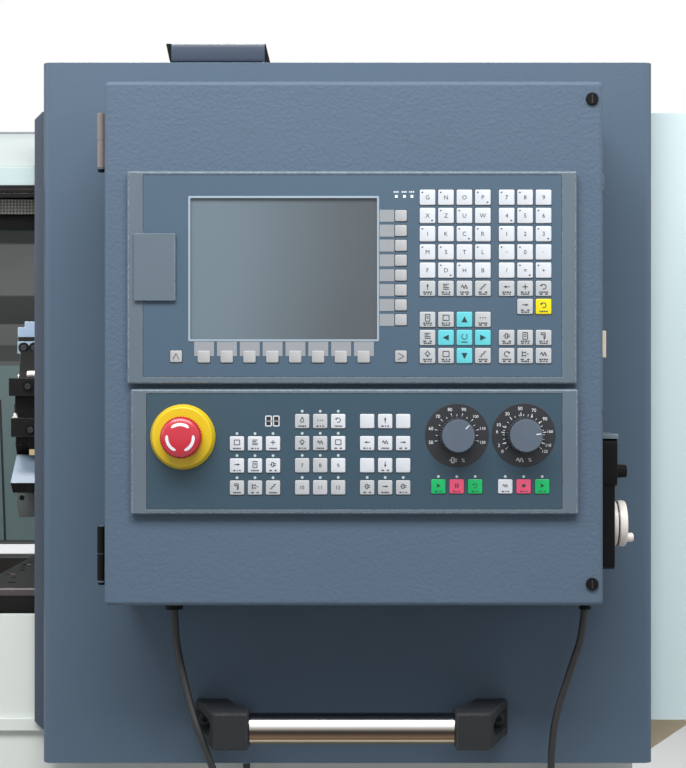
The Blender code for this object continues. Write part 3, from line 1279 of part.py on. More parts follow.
def keypad(left, top, field, keys, windows):
    """Keypad plate that fills a unit's recess, with raised keys and windows."""
    near_x, near_z, far_x, far_z = field
    front = UNIT_FRONT
    plate = box(left + near_x + GAP, left + far_x - GAP, front, front + FIELD_DEPTH,
                top - far_z + GAP, top - near_z - GAP)
    if windows:
        plate = plate.cut(together(windows))
    caps = []
    for key_left, key_top, width, height in keys:
        rings = []
        for depth, inset in ((front + FIELD_DEPTH / 2, 0.0), (front - KEY_HEIGHT, KEY_TAPER)):
            low_x, high_x = left + key_left + inset, left + key_left + width - inset
            low_z, high_z = top - key_top - height + inset, top - key_top - inset
            corners = ((low_x, low_z), (high_x, low_z), (high_x, high_z), (low_x, high_z))
            rings.append([Vector((x, depth, z)) for x, z in corners])
        caps.append(loft(rings))
    return plate.join(together(caps))


def display_key_places():
    """Every key of the display unit: left, top, width and height from the unit's corner."""
    keys = []
    for row in range(ROWS):
        for column in range(LETTER_COLUMNS):
            keys.append((LETTER_LEFT + KEY_PITCH * column, ROW_TOP + ROW_PITCH * row, KEY_WIDTH, KEY_HIGH))
        for column in range(NUMBER_COLUMNS):
            keys.append((NUMBER_LEFT + KEY_PITCH * column, ROW_TOP + ROW_PITCH * row, KEY_WIDTH, KEY_HIGH))
    for column in range(1, NUMBER_COLUMNS):
        keys.append((NUMBER_LEFT + KEY_PITCH * column, INPUT_TOP, KEY_WIDTH, KEY_HIGH))
    for row in range(3):
        for column in range(LETTER_COLUMNS):
            keys.append((LETTER_LEFT + KEY_PITCH * column, ARROW_TOP + ARROW_PITCH * row, KEY_WIDTH, KEY_HIGH))
    for row in range(1, 3):
        for column in range(NUMBER_COLUMNS):
            keys.append((NUMBER_LEFT + KEY_PITCH * column, ARROW_TOP + ARROW_PITCH * row, KEY_WIDTH, KEY_HIGH))
    for index in range(SOFT_KEYS):
        x, z, width, height = SOFT_RIGHT
        keys.append((x, z + SOFT_RIGHT_PITCH * index, width, height))
        x, z, width, height = SOFT_LOWER
        keys.append((x + SOFT_LOWER_PITCH * index, z, width, height))
    for x in PAGE_KEYS:
        keys.append((x, PAGE_TOP, PAGE_SIZE, PAGE_SIZE))
    return keys


def control_key_places():
    """Every key of the lower unit: three groups and the row under the dials."""
    keys = []
    for left, top, rows in zip(GROUP_LEFTS, GROUP_TOPS, GROUP_ROWS):
        for row in range(rows):
            for column in range(GROUP_COLUMNS):
                keys.append((left + GROUP_PITCH * column, top + GROUP_ROW_PITCH * row, GROUP_KEY, GROUP_KEY))
    for left in CYCLE_LEFTS:
        keys.append((left, CYCLE_TOP, GROUP_KEY, GROUP_KEY))
    return keys


def display_unit():
    body = unit_body(*UNITS[0], DISPLAY_FIELD)
    near_x, near_z, far_x, far_z = SCREEN
    pocket = box(DISPLAY_LEFT + near_x, DISPLAY_LEFT + far_x, UNIT_FRONT, UNIT_FRONT + FIELD_DEPTH + SCREEN_DEPTH,
                 DISPLAY_TOP - far_z, DISPLAY_TOP - near_z)
    return body.cut(pocket)


def display_glass():
    """Screen pane, on the floor of its pocket."""
    near_x, near_z, far_x, far_z = SCREEN
    floor = UNIT_FRONT + FIELD_DEPTH + SCREEN_DEPTH - GAP
    return box(DISPLAY_LEFT + near_x + GAP, DISPLAY_LEFT + far_x - GAP, floor - GLASS_THICKNESS, floor,
               DISPLAY_TOP - far_z + GAP, DISPLAY_TOP - near_z - GAP)


def display_keys():
    near_x, near_z, far_x, far_z = SCREEN
    window = box(DISPLAY_LEFT + near_x, DISPLAY_LEFT + far_x, UNIT_FRONT - 0.01, UNIT_FRONT + 0.01,
                 DISPLAY_TOP - far_z, DISPLAY_TOP - near_z)
    return keypad(DISPLAY_LEFT, DISPLAY_TOP, DISPLAY_FIELD, display_key_places(), [window])


def dial_place(centre, depth):
    """A point in front of the lower unit, from its top left corner."""
    return (CONTROL_LEFT + centre[0], depth, CONTROL_TOP - centre[1])


def control_bores(start, end, clearance):
    """Bores for the stop's stem and the knobs' shafts."""
    bores = [cylinder("Y", dial_place(STOP_CENTRE, 0.0), STOP_STEM + clearance, start, end, 20)]
    for centre in KNOB_CENTRES:
        bores.append(cylinder("Y", dial_place(centre, 0.0), KNOB_SHAFT + clearance, start, end, 12))
    return together(bores)


def control_unit():
    body = unit_body(*UNITS[1], CONTROL_FIELD)
    return body.cut(control_bores(UNIT_FRONT - 0.01, UNIT_FRONT + STEM_DEPTH + STOP_TRAVEL + 0.002, RUN))


def control_keys():
    bores = control_bores(UNIT_FRONT - 0.01, UNIT_FRONT + 0.01, RUN)
    return keypad(CONTROL_LEFT, CONTROL_TOP, CONTROL_FIELD, control_key_places(), [bores])


def estop_collar():
    """Yellow collar round the stop, with a sloped rim and a bore for the stem."""
    seat = UNIT_FRONT - GAP
    face = seat - COLLAR_HEIGHT
    return turned_solid("Y", dial_place(STOP_CENTRE, 0.0), [
        (STOP_STEM + RUN, seat), (COLLAR_RADIUS, seat), (COLLAR_RADIUS, seat - 0.002),
        (COLLAR_RADIUS - 0.003, face), (STOP_STEM + RUN, face)], 32)


def estop_button():
    """Mushroom head with a knurled skirt, on its stem."""
    face = UNIT_FRONT - GAP - COLLAR_HEIGHT
    skirt = face - STOP_TRAVEL - 0.0012
    crown = UNIT_FRONT - STOP_HEIGHT
    centre = dial_place(STOP_CENTRE, 0.0)
    teeth = 22
    rings = []
    for depth, radius, notch in ((skirt, STOP_RADIUS, 0.0012), (skirt - 0.008, STOP_RADIUS, 0.0012),
                                 (skirt - 0.0095, STOP_RADIUS - 0.0015, 0.0002),
                                 (crown + 0.0015, STOP_RADIUS - 0.004, 0.0), (crown, STOP_RADIUS - 0.008, 0.0)):
        outline = fluted(radius, notch, teeth)
        rings.append([Vector((centre[0] + across, depth, centre[2] + up)) for across, up in outline])
    head = loft(rings)
    stem = cylinder("Y", centre, STOP_STEM, skirt - 0.001, UNIT_FRONT + STEM_DEPTH, 20)
    return head.join(stem)


def override_knob(centre, setting):
    """Ribbed knob on a shaft, slightly tapered, with a pointer notch turned to its setting."""
    seat = UNIT_FRONT - GAP - 0.0006
    face = seat - KNOB_HEIGHT
    middle = dial_place(centre, 0.0)
    ribs = 16
    rings = []
    for depth, radius, notch in ((seat, KNOB_RADIUS, 0.0008), (face + 0.002, KNOB_RADIUS - 0.0012, 0.0008),
                                 (face, KNOB_RADIUS - 0.0030, 0.0001)):
        outline = fluted(radius, notch, ribs)
        rings.append([Vector((middle[0] + across, depth, middle[2] + up)) for across, up in outline])
    knob = loft(rings)
    shaft = cylinder("Y", middle, KNOB_SHAFT, seat - 0.001, UNIT_FRONT + STEM_DEPTH, 12)
    notch = box(middle[0] - 0.0007, middle[0] + 0.0007, face - 0.001, face + 0.0008, middle[2] + 0.006,
                middle[2] + KNOB_RADIUS).turned("Y", setting, middle)
    return knob.join(shaft).cut(notch)


def port_cover():
    """Small flap over the side port, round on its hinged edge."""
    near_x, near_z, far_x, far_z = PORT
    left = DISPLAY_LEFT + near_x
    right = DISPLAY_LEFT + far_x
    rear = UNIT_FRONT - GAP
    middle = rear - PORT_THICKNESS / 2
    half = PORT_THICKNESS / 2
    outline = []
    for step in range(7):
        angle = math.radians(90 + 180 * step / 6)
        outline.append((left + half + half * math.cos(angle), middle + half * math.sin(angle)))
    outline += [(right - 0.001, rear - PORT_THICKNESS), (right, rear - PORT_THICKNESS + 0.001), (right, rear)]
    return prism("Z", outline, DISPLAY_TOP - far_z, DISPLAY_TOP - near_z)


def cover_lock(height):
    """Quarter-turn lock: a round slotted head, its shaft and the cam behind the cover."""
    x = BOX_RIGHT - LOCK_INSET
    seat = COVER_FRONT - GAP
    head = turned_solid("Y", (x, 0, height), [
        (0.0, seat), (LOCK_RADIUS, seat), (LOCK_RADIUS, seat - 0.0014), (LOCK_RADIUS - 0.0008, seat - 0.0022),
        (0.0, seat - 0.0022)], 20)
    slot = box(x - 0.0006, x + 0.0006, seat - 0.003, seat - 0.0012, height - 0.004, height + 0.004)
    cam_depth = COVER_FRONT + COVER_DEPTH + GAP + 2 * BOX_WALL + 0.001
    shaft = cylinder("Y", (x, 0, height), LOCK_SHAFT, seat - 0.001, cam_depth, 12)
    cam = box(x - CAM_HALF_WIDTH, x + CAM_HALF_WIDTH, cam_depth - 0.0004, cam_depth + 0.002,
              height - CAM_HALF_WIDTH, height + CAM_REACH)
    return head.cut(slot).join(shaft, cam)


def side_lock():
    """Cylinder lock on the box's side, with a flat turning tab."""
    seat = BOX_RIGHT - BOX_INSET + GAP
    centre = (0, PLUG_Y, SIDE_LOCK_Z)
    barrel = turned_solid("X", centre, [
        (0.0, seat), (SIDE_LOCK_RADIUS, seat), (SIDE_LOCK_RADIUS, seat + 0.004),
        (SIDE_LOCK_RADIUS - 0.001, seat + 0.005), (0.0, seat + 0.005)], 20)
    tab = softened(box(seat + 0.004, seat + 0.004 + SIDE_LOCK_HEIGHT * 0.8, PLUG_Y - 0.0015, PLUG_Y + 0.0015,
                       SIDE_LOCK_Z - 0.013, SIDE_LOCK_Z + 0.013), 0.0006, 1)
    return barrel.join(tab)


def pendant_body():
    """Slim body of the handheld wheel unit, with a top plate and a waisted lower half."""
    left = BOX_RIGHT + GAP
    right = left + PENDANT_THICKNESS
    near, far = PENDANT_Y - PENDANT_DEPTH / 2, PENDANT_Y + PENDANT_DEPTH / 2
    step = PENDANT_TOP - 0.046
    upper = prism("X", rounded(near, step, far, PENDANT_TOP, 0.006, 2), left, right)
    lower = prism("X", rounded(near + 0.003, PENDANT_BOTTOM, far - 0.003, step + 0.012, 0.006, 2),
                  left, right - PENDANT_WAIST)
    plate = prism("X", rounded(near - 0.001, PENDANT_TOP - 0.001, far + 0.001, PENDANT_TOP + 0.0035, 0.001, 1),
                  left, right + 0.0005)
    foot_plate = box(BOX_RIGHT - BOX_INSET + GAP, left + 0.001, near + 0.012, far - 0.012,
                     PENDANT_BOTTOM + 0.02, PENDANT_TOP - 0.02)
    return upper.join(lower, plate, foot_plate)


def pendant_wheel():
    """Handwheel with a grooved rim and a crank pin."""
    seat = BOX_RIGHT + PENDANT_THICKNESS - PENDANT_WAIST + 2 * GAP
    face = seat + WHEEL_HEIGHT
    centre = (0, PENDANT_Y, WHEEL_Z)
    wheel = turned_solid("X", centre, [
        (0.0, seat), (WHEEL_RADIUS - 0.002, seat), (WHEEL_RADIUS, seat + 0.002), (WHEEL_RADIUS, seat + 0.005),
        (WHEEL_RADIUS - 0.0015, seat + 0.006), (WHEEL_RADIUS - 0.0015, seat + 0.008), (WHEEL_RADIUS, seat + 0.009),
        (WHEEL_RADIUS, face - 0.002), (WHEEL_RADIUS - 0.002, face), (0.0, face)], 24)
    pin_z = WHEEL_Z - WHEEL_RADIUS + CRANK_RADIUS + 0.0045
    pin = turned_solid("X", (0, PENDANT_Y, pin_z), [
        (0.0, face - 0.001), (CRANK_RADIUS * 0.7, face - 0.001), (CRANK_RADIUS, face + 0.003),
        (CRANK_RADIUS, face + CRANK_LENGTH - 0.002), (CRANK_RADIUS * 0.6, face + CRANK_LENGTH),
        (0.0, face + CRANK_LENGTH)], 10)
    return wheel.join(pin)


def pendant_selector():
    """Small ribbed selector knob above the wheel."""
    seat = BOX_RIGHT + PENDANT_THICKNESS + 2 * GAP
    rings = []
    for depth, radius in ((seat, SELECTOR_RADIUS), (seat + SELECTOR_HEIGHT - 0.001, SELECTOR_RADIUS - 0.0006),
                          (seat + SELECTOR_HEIGHT, SELECTOR_RADIUS - 0.0016)):
        outline = fluted(radius, 0.0005, 12)
        rings.append([Vector((depth, PENDANT_Y + across, SELECTOR_Z + up)) for across, up in outline])
    return loft(rings)


# Cables from the glands, in front of the door and up into its lower edge

LEFT_ROUTE = ((0.1925, -0.545, 0.9380), (0.1945, -0.547, 0.9080), (0.1985, -0.552, 0.8880),
              (0.2045, -0.559, 0.8650), (0.2115, -0.566, 0.8410), (0.2205, -0.572, 0.8170),
              (0.2320, -0.571, 0.7860), (0.2420, -0.560, 0.7560), (0.2510, -0.538, 0.7300),
              (0.2570, -0.510, 0.7220), (0.2595, -0.489, 0.7380), (0.2600, -0.483, 0.7580),
              (0.2600, -0.483, 0.7650), (0.2600, -0.483, 0.7717))
RIGHT_ROUTE = ((0.5955, -0.545, 0.9380), (0.5910, -0.546, 0.9080), (0.5830, -0.548, 0.8840),
               (0.5750, -0.549, 0.8600), (0.5685, -0.549, 0.8390), (0.5640, -0.549, 0.8160),
               (0.5620, -0.547, 0.7860), (0.5630, -0.541, 0.7560), (0.5660, -0.524, 0.7330),
               (0.5690, -0.503, 0.7280), (0.5697, -0.488, 0.7410), (0.5700, -0.483, 0.7580),
               (0.5700, -0.483, 0.7650), (0.5700, -0.483, 0.7717))
LEFT_RETURN_X = LEFT_ROUTE[-1][0]
RIGHT_RETURN_X = RIGHT_ROUTE[-1][0]


def smooth_route(route, count):
    """Points at equal steps along a smooth curve through a route's own points."""
    ends = [Vector(place) for place in route]
    ends = [2 * ends[0] - ends[1]] + ends + [2 * ends[-1] - ends[-2]]
    fine = []
    steps = 12
    for before, start, end, after in zip(ends, ends[1:], ends[2:], ends[3:]):
        for step in range(steps):
            t = step / steps
            fine.append(0.5 * (2 * start + (end - before) * t
                               + (2 * before - 5 * start + 4 * end - after) * t ** 2
                               + (3 * start - before - 3 * end + after) * t ** 3))
    fine.append(ends[-2])
    lengths = [0.0]
    for start, end in zip(fine, fine[1:]):
        lengths.append(lengths[-1] + (end - start).length)
    points = []
    index = 0
    for number in range(count):
        target = lengths[-1] * number / (count - 1)
        while index < len(lengths) - 2 and lengths[index + 1] < target:
            index += 1
        share = (target - lengths[index]) / (lengths[index + 1] - lengths[index])
        points.append(fine[index].lerp(fine[index + 1], share))
    return points


def cable(name, route, carrier):
    """Round cable along a route, as a curve with closed ends."""
    curve = bpy.data.curves.new(name, "CURVE")
    curve.dimensions = "3D"
    curve.bevel_depth = CABLE_RADIUS
    curve.bevel_resolution = 2
    curve.use_fill_caps = True
    spline = curve.splines.new("POLY")
    top = Vector((route[0][0], route[0][1], BOX_BOTTOM + BOX_INSET - GLAND_LENGTH - GAP + 0.0036))
    end = Vector((route[-1][0], route[-1][1], DOOR_BOTTOM - 0.003 - GAP))
    points = smooth_route([top, *route[1:-1], end], CABLE_POINTS)
    spline.points.add(len(points) - 1)
    middle = Vector(carrier["place"])
    for knot, place in zip(spline.points, points):
        knot.co = (*(place - middle), 1.0)
    curve.materials.append(material(name, BLACK, 0.45))
    item = bpy.data.objects.new(name, curve)
    bpy.context.scene.collection.objects.link(item)
    item.parent = carrier
    return item


# Rear cabinet and chip drawer

def electrical_cabinet():
    """Rear cabinet, open at its back, with a mounting plate of drives inside."""
    wall = CABINET_WALL
    low = BASE_TOP + GAP
    shell = box(CABINET_LEFT, CABINET_RIGHT, CABINET_FRONT, CABINET_REAR, low, CABINET_TOP)
    room = box(CABINET_LEFT + wall, CABINET_RIGHT - wall, CABINET_FRONT + wall, CABINET_REAR - wall,
               low + wall, CABINET_TOP - wall)
    mouth = box(CABINET_LEFT + CABINET_LIP, CABINET_RIGHT - CABINET_LIP, CABINET_REAR - 2 * wall,
                CABINET_REAR + 0.01, low + CABINET_LIP, CABINET_TOP - CABINET_LIP)
    shell = shell.cut(room, mouth)
    plate_front = CABINET_FRONT + wall / 2
    drives = [box(CABINET_LEFT + 0.05, CABINET_RIGHT - 0.05, plate_front, CABINET_FRONT + 0.012, low + 0.05,
                  CABINET_TOP - 0.05)]
    for index in range(4):
        left = CABINET_LEFT + 0.10 + 0.15 * index
        drives.append(box(left, left + 0.10, CABINET_FRONT + 0.010, CABINET_FRONT + 0.140, low + 0.28, low + 0.56))
    drives.append(box(CABINET_LEFT + 0.10, CABINET_RIGHT - 0.10, CABINET_FRONT + 0.010, CABINET_FRONT + 0.060,
                      low + 0.12, low + 0.16))
    return shell.join(*drives)


def cabinet_door():
    """Folded cabinet door with an edge all round, bored for the main switch."""
    front = CABINET_REAR + GAP
    rear = front + 0.018
    low, high = BASE_TOP + GAP + 0.004, CABINET_TOP
    panel = box(CABINET_LEFT, CABINET_RIGHT, front, rear, low, high)
    panel = softened(panel, 0.002, 1)
    wall = 0.002
    room = box(CABINET_LEFT + wall, CABINET_RIGHT - wall, front - 0.01, rear - wall, low + wall, high - wall)
    bore = cylinder("Y", (SWITCH_X, 0, SWITCH_Z), 0.006 + RUN, front, rear + 0.01, 16)
    return panel.cut(room, bore)


def main_switch():
    """Rotary main switch on the cabinet door: a round plate, a shaft and a grip bar."""
    seat = CABINET_REAR + GAP + 0.018 + GAP
    plate = turned_solid("Y", (SWITCH_X, 0, SWITCH_Z), [
        (0.0, seat), (SWITCH_RADIUS, seat), (SWITCH_RADIUS, seat + 0.004), (SWITCH_RADIUS - 0.002, seat + 0.006),
        (0.0, seat + 0.006)], 20)
    grip = softened(box(SWITCH_X - 0.006, SWITCH_X + 0.006, seat + 0.005, seat + 0.026, SWITCH_Z - 0.020,
                        SWITCH_Z + 0.020), 0.002, 1)
    shaft = cylinder("Y", (SWITCH_X, 0, SWITCH_Z), 0.006, seat - 0.012, seat + 0.001, 16)
    return plate.join(grip, shaft)


def chip_drawer():
    """Chip drawer: a folded tray with a front panel and a bow grip."""
    wall = DRAWER_WALL
    floor = DRAWER_BOTTOM + BASE_WALL + GAP
    left, right = DRAWER_LEFT + RUN, DRAWER_RIGHT - RUN
    top = DRAWER_TOP - 0.006
    rear = BASE_FRONT + DRAWER_DEPTH
    tray = box(left, right, BASE_FRONT - 0.002, rear, floor, top)
    room = box(left + wall, right - wall, BASE_FRONT + wall, rear - wall, floor + wall, top + 0.01)
    front = box(DRAWER_LEFT - 0.012, DRAWER_RIGHT + 0.012, BASE_FRONT - 0.020, BASE_FRONT - GAP,
                DRAWER_BOTTOM - 0.012, DRAWER_TOP + 0.012)
    front = softened(front, 0.002, 1)
    middle = (DRAWER_LEFT + DRAWER_RIGHT) / 2
    grip_z = (DRAWER_BOTTOM + DRAWER_TOP) / 2 + 0.04
    outer = folded([(middle - 0.07, BASE_FRONT - 0.019), (middle - 0.07, BASE_FRONT - 0.055),
                    (middle + 0.07, BASE_FRONT - 0.055), (middle + 0.07, BASE_FRONT - 0.019)], 0.010, 0.016, 4)
    grip = prism("Z", outer, grip_z - 0.005, grip_z + 0.005)
    return tray.cut(room).join(front, grip)


# Assembly

def build_machine(root):
    piece("base_cabinet", base_cabinet(), root, GREY_PAINT, 0.45)
    piece("chip_pan", chip_pan(), root, PALE_PAINT, 0.45)
    piece("bed", bed(), root, IRON, 0.45, 0.6)
    piece("headstock", headstock(), root, GREY_PAINT, 0.5)
    piece("left_guard", left_guard(), root, PALE_PAINT, 0.4)
    piece("right_guard", right_guard(), root, PALE_PAINT, 0.4)
    piece("roof_panel", roof_panel(), root, PALE_PAINT, 0.4)
    piece("rear_guard", rear_guard(), root, GREY_PAINT, 0.5)
    piece("front_apron", front_apron(), root, GREY_PAINT, 0.4)
    piece("upper_rail", upper_rail(), root, BLACK, 0.4, 0.3)
    piece("work_lamp", work_lamp(), root, SOFT_BLACK, 0.5)
    piece("spindle_motor", spindle_motor(), root, SOFT_BLACK, 0.6)
    piece("z_servo_motor", z_servo_motor(), root, SOFT_BLACK, 0.6)
    piece("electrical_cabinet", electrical_cabinet(), root, PALE_PAINT, 0.45)
    door = frame_at("cabinet_hinge", (CABINET_RIGHT, CABINET_REAR + GAP, CABINET_TOP), root)
    piece("cabinet_door", cabinet_door(), door, PALE_PAINT, 0.45)
    switch = frame_at("main_switch_axis", (SWITCH_X, CABINET_REAR, SWITCH_Z), door)
    piece("main_switch", main_switch(), switch, SOFT_BLACK, 0.4)
    drawer = frame_at("drawer_slide", (0.0, BASE_FRONT, DRAWER_BOTTOM), root)
    piece("chip_drawer", chip_drawer(), drawer, PALE_PAINT, 0.45)


def build_drive(root):
    axis = (0.0, 0.0, SPINDLE_HEIGHT)
    turning = frame_at("spindle_axis", axis, root)
    piece("spindle", spindle(), turning, STEEL, 0.3, 1.0)
    piece("chuck_body", chuck_body(), turning, STEEL, 0.3, 1.0)
    for index in range(3):
        slide = frame_at(f"jaw_slide_{index + 1}", axis, turning)
        piece(f"chuck_jaw_{index + 1}", chuck_jaw(index), slide, STEEL, 0.35, 1.0)
    carriage = frame_at("carriage_slide", (0.0, 0.0, WAY_TOP), root)
    piece("saddle", saddle(), carriage, IRON, 0.45, 0.6)
    cross = frame_at("cross_slide_way", (0.0, 0.0, SADDLE_TOP), carriage)
    piece("cross_slide", cross_slide(), cross, BLACK, 0.4, 0.3)
    piece("turret_housing", turret_housing(), cross, SOFT_BLACK, 0.45)
    turret = frame_at("turret_axis", (TURRET_LEFT, TURRET_AXIS_Y, TURRET_AXIS_Z), cross)
    piece("turret_disc", turret_disc(), turret, SOFT_BLACK, 0.35, 0.5)
    for number, station in enumerate((0, 2, 4, 6)):
        shade = (HOLDER_BLUE, 0.4, 0.4) if number in (0, 2) else (BLACK, 0.4, 0.5)
        piece(f"tool_holder_{number + 1}", tool_holder(station), turret, *shade)
    tail = frame_at("tailstock_slide", (0.0, 0.0, WAY_TOP), root)
    piece("tailstock_body", tailstock_body(), tail, GREY_PAINT, 0.5)
    quill_slide = frame_at("quill_slide", axis, tail)
    piece("quill", quill(), quill_slide, STEEL, 0.3, 1.0)


def build_door(root):
    door = frame_at("door_slide", (DOOR_LEFT, DOOR_FRONT, DOOR_BOTTOM), root)
    piece("door_panel", door_panel(), door, DOOR_PAINT, 0.38)
    piece("door_edge_strip", door_edge_strip(), door, SOFT_BLACK, 0.6)
    piece("door_top_bracket", door_top_bracket(), door, DOOR_PAINT, 0.4)
    piece("handle_tube", handle_tube(), door, STEEL, 0.2, 1.0)
    piece("handle_bracket_left", handle_bracket(-1), door, SOFT_BLACK, 0.45)
    piece("handle_bracket_right", handle_bracket(1), door, SOFT_BLACK, 0.45)
    piece("control_box", control_box(), door, COVER_PAINT, 0.5)
    piece("gland_left", gland(LEFT_GLAND_X, 2, 0.0085), door, BLACK, 0.5)
    piece("gland_right", gland(RIGHT_GLAND_X, 4, 0.0062), door, BLACK, 0.5)
    cable("cable_left", LEFT_ROUTE, door)
    cable("cable_right", RIGHT_ROUTE, door)
    piece("pendant_body", pendant_body(), door, BLACK, 0.4)
    wheel = frame_at("pendant_wheel_axis", (BOX_RIGHT, PENDANT_Y, WHEEL_Z), door)
    piece("pendant_wheel", pendant_wheel(), wheel, KEY_WHITE, 0.35)
    selector = frame_at("pendant_selector_axis", (BOX_RIGHT, PENDANT_Y, SELECTOR_Z), door)
    piece("pendant_selector", pendant_selector(), selector, BLACK, 0.4)
    side = frame_at("side_lock_axis", (BOX_RIGHT, PLUG_Y, SIDE_LOCK_Z), door)
    piece("side_lock", side_lock(), side, STEEL, 0.3, 1.0)
    return door


def build_cover(door):
    hinge = (BOX_LEFT - HINGE_OFFSET, COVER_FRONT + COVER_DEPTH, BOX_BOTTOM)
    cover = frame_at("cover_hinge", hinge, door)
    piece("box_cover", box_cover(), cover, COVER_PAINT, 0.5)
    piece("display_unit", display_unit(), cover, UNIT_PAINT, 0.45)
    piece("display_glass", display_glass(), cover, (0.20, 0.24, 0.28), 0.15)
    piece("display_keys", display_keys(), cover, FIELD_BLUE, 0.45)
    piece("control_unit", control_unit(), cover, UNIT_PAINT, 0.45)
    piece("control_keys", control_keys(), cover, FIELD_SLATE, 0.45)
    piece("estop_collar", estop_collar(), cover, (0.85, 0.72, 0.0), 0.35)
    stop = frame_at("estop_axis", dial_place(STOP_CENTRE, UNIT_FRONT), cover)
    piece("estop_button", estop_button(), stop, (0.62, 0.02, 0.03), 0.35)
    names = ("spindle_override_knob", "feed_override_knob")
    for name, centre, setting in zip(names, KNOB_CENTRES, KNOB_SETTINGS):
        axis = frame_at(f"{name}_axis", dial_place(centre, UNIT_FRONT), cover)
        piece(name, override_knob(centre, setting), axis, (0.16, 0.19, 0.22), 0.4)
    port_axis = (DISPLAY_LEFT + PORT[0] + PORT_THICKNESS / 2, UNIT_FRONT - GAP - PORT_THICKNESS / 2,
                 DISPLAY_TOP - PORT[3])
    flap = frame_at("port_cover_hinge", port_axis, cover)
    piece("port_cover", port_cover(), flap, FIELD_SLATE, 0.45)
    for name, height in zip(("cover_lock_lower", "cover_lock_upper"), LOCK_HEIGHTS):
        axis = frame_at(f"{name}_axis", (BOX_RIGHT - LOCK_INSET, COVER_FRONT, height), cover)
        piece(name, cover_lock(height), axis, BLACK, 0.4)


def stand_on_origin(root):
    """Sets the lathe's root so that the middle of its footprint is at the origin."""
    bpy.context.view_layer.update()
    graph = bpy.context.evaluated_depsgraph_get()
    corners = []
    for item in bpy.data.objects:
        if item.type == "MESH":
            shape = item.evaluated_get(graph)
            corners += [shape.matrix_world @ Vector(corner) for corner in shape.bound_box]
    low = [min(corner[axis] for corner in corners) for axis in range(3)]
    high = [max(corner[axis] for corner in corners) for axis in range(3)]
    root.location = (-(low[0] + high[0]) / 2, -(low[1] + high[1]) / 2, -low[2])


def main():
    for item in list(bpy.data.objects):
        bpy.data.objects.remove(item, do_unlink=True)
    root = frame_at("lathe", (0.0, 0.0, 0.0), None)
    build_machine(root)
    build_drive(root)
    build_cover(build_door(root))
    stand_on_origin(root)


main()
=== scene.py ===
"""Dressing of a CNC lathe: finishes, rounded edges, keys, dials, marks, leads, lamps and the studio.

Places are given from the machine's middle in X, the spindle axis in Y and the floor in Z, in
metres, and the function at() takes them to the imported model's frame.
"""
import json
import math

import bmesh
import bpy
from mathutils import Euler, Matrix, Vector

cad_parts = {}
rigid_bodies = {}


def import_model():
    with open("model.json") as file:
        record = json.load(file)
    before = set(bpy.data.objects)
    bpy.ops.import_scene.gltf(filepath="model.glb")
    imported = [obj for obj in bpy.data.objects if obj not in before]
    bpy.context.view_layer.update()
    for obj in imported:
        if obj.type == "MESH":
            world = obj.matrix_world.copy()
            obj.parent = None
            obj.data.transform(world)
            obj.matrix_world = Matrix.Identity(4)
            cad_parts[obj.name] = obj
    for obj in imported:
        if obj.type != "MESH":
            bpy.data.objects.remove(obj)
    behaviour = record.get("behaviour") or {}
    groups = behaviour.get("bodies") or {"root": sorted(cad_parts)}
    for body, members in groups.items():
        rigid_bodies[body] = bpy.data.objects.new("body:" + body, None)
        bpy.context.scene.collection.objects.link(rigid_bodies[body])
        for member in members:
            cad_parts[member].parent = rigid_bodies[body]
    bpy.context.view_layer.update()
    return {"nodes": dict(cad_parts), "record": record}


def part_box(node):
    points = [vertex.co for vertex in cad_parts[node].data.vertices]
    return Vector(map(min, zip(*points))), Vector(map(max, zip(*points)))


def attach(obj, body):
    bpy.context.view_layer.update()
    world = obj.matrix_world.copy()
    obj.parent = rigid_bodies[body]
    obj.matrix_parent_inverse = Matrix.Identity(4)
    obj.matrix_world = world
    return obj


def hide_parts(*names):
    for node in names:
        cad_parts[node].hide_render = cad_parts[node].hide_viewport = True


for item in list(bpy.data.objects):
    bpy.data.objects.remove(item, do_unlink=True)
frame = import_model()

bl_info = {
    "name": "Lathe dressing",
    "version": (1, 0, 0),
    "blender": (4, 5, 0),
    "location": "View3D > Sidebar > Lathe",
    "description": "Builds the visible surfaces of a lathe with a sliding door and an operator box",
    "category": "Object",
}

BODY_OF = {node: body for body, nodes in frame["record"]["behaviour"]["bodies"].items() for node in nodes}
BASE_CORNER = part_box("base_cabinet")[0]
ORIGIN = Vector((BASE_CORNER.x + 0.86, BASE_CORNER.y + 0.42, 0.0))


def at(x, y, z):
    """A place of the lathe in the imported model's frame."""
    return Vector((x, y, z)) + ORIGIN


def paint(red, green, blue):
    """Linear values of a colour that is given as it looks, from 0 to 255."""
    values = []
    for value in (red, green, blue):
        share = value / 255
        values.append(share / 12.92 if share <= 0.04045 else ((share + 0.055) / 1.055) ** 2.4)
    return tuple(values)


TUBE_AXIS = at(0.3666, -0.562, 0.8225)
TUBE_RADIUS = 0.0152


CRINKLE = (330.0, 1100.0, 0.75, 0.25)
PEEL = (230.0, 700.0, 0.15, 0.85)
GRAIN = (700.0, 1900.0, 0.5, 0.5)
PLAIN = (500.0, 1400.0, 0.2, 0.8)
# Colour of lighter rounded edges where none is given: partly rubbed paint, partly a painted highlight
EDGE_TINT = (0.7, 0.74, 0.78)
# Emission strength of the white ledge: a painted reflection, as the ledge is no lamp
LEDGE_PAINTED_REFLECTION = 0.48


# Settings

def colour(name, value, description):
    return bpy.props.FloatVectorProperty(
        name=name, description=description, subtype="COLOR", size=3, min=0.0, max=1.0, default=paint(*value))


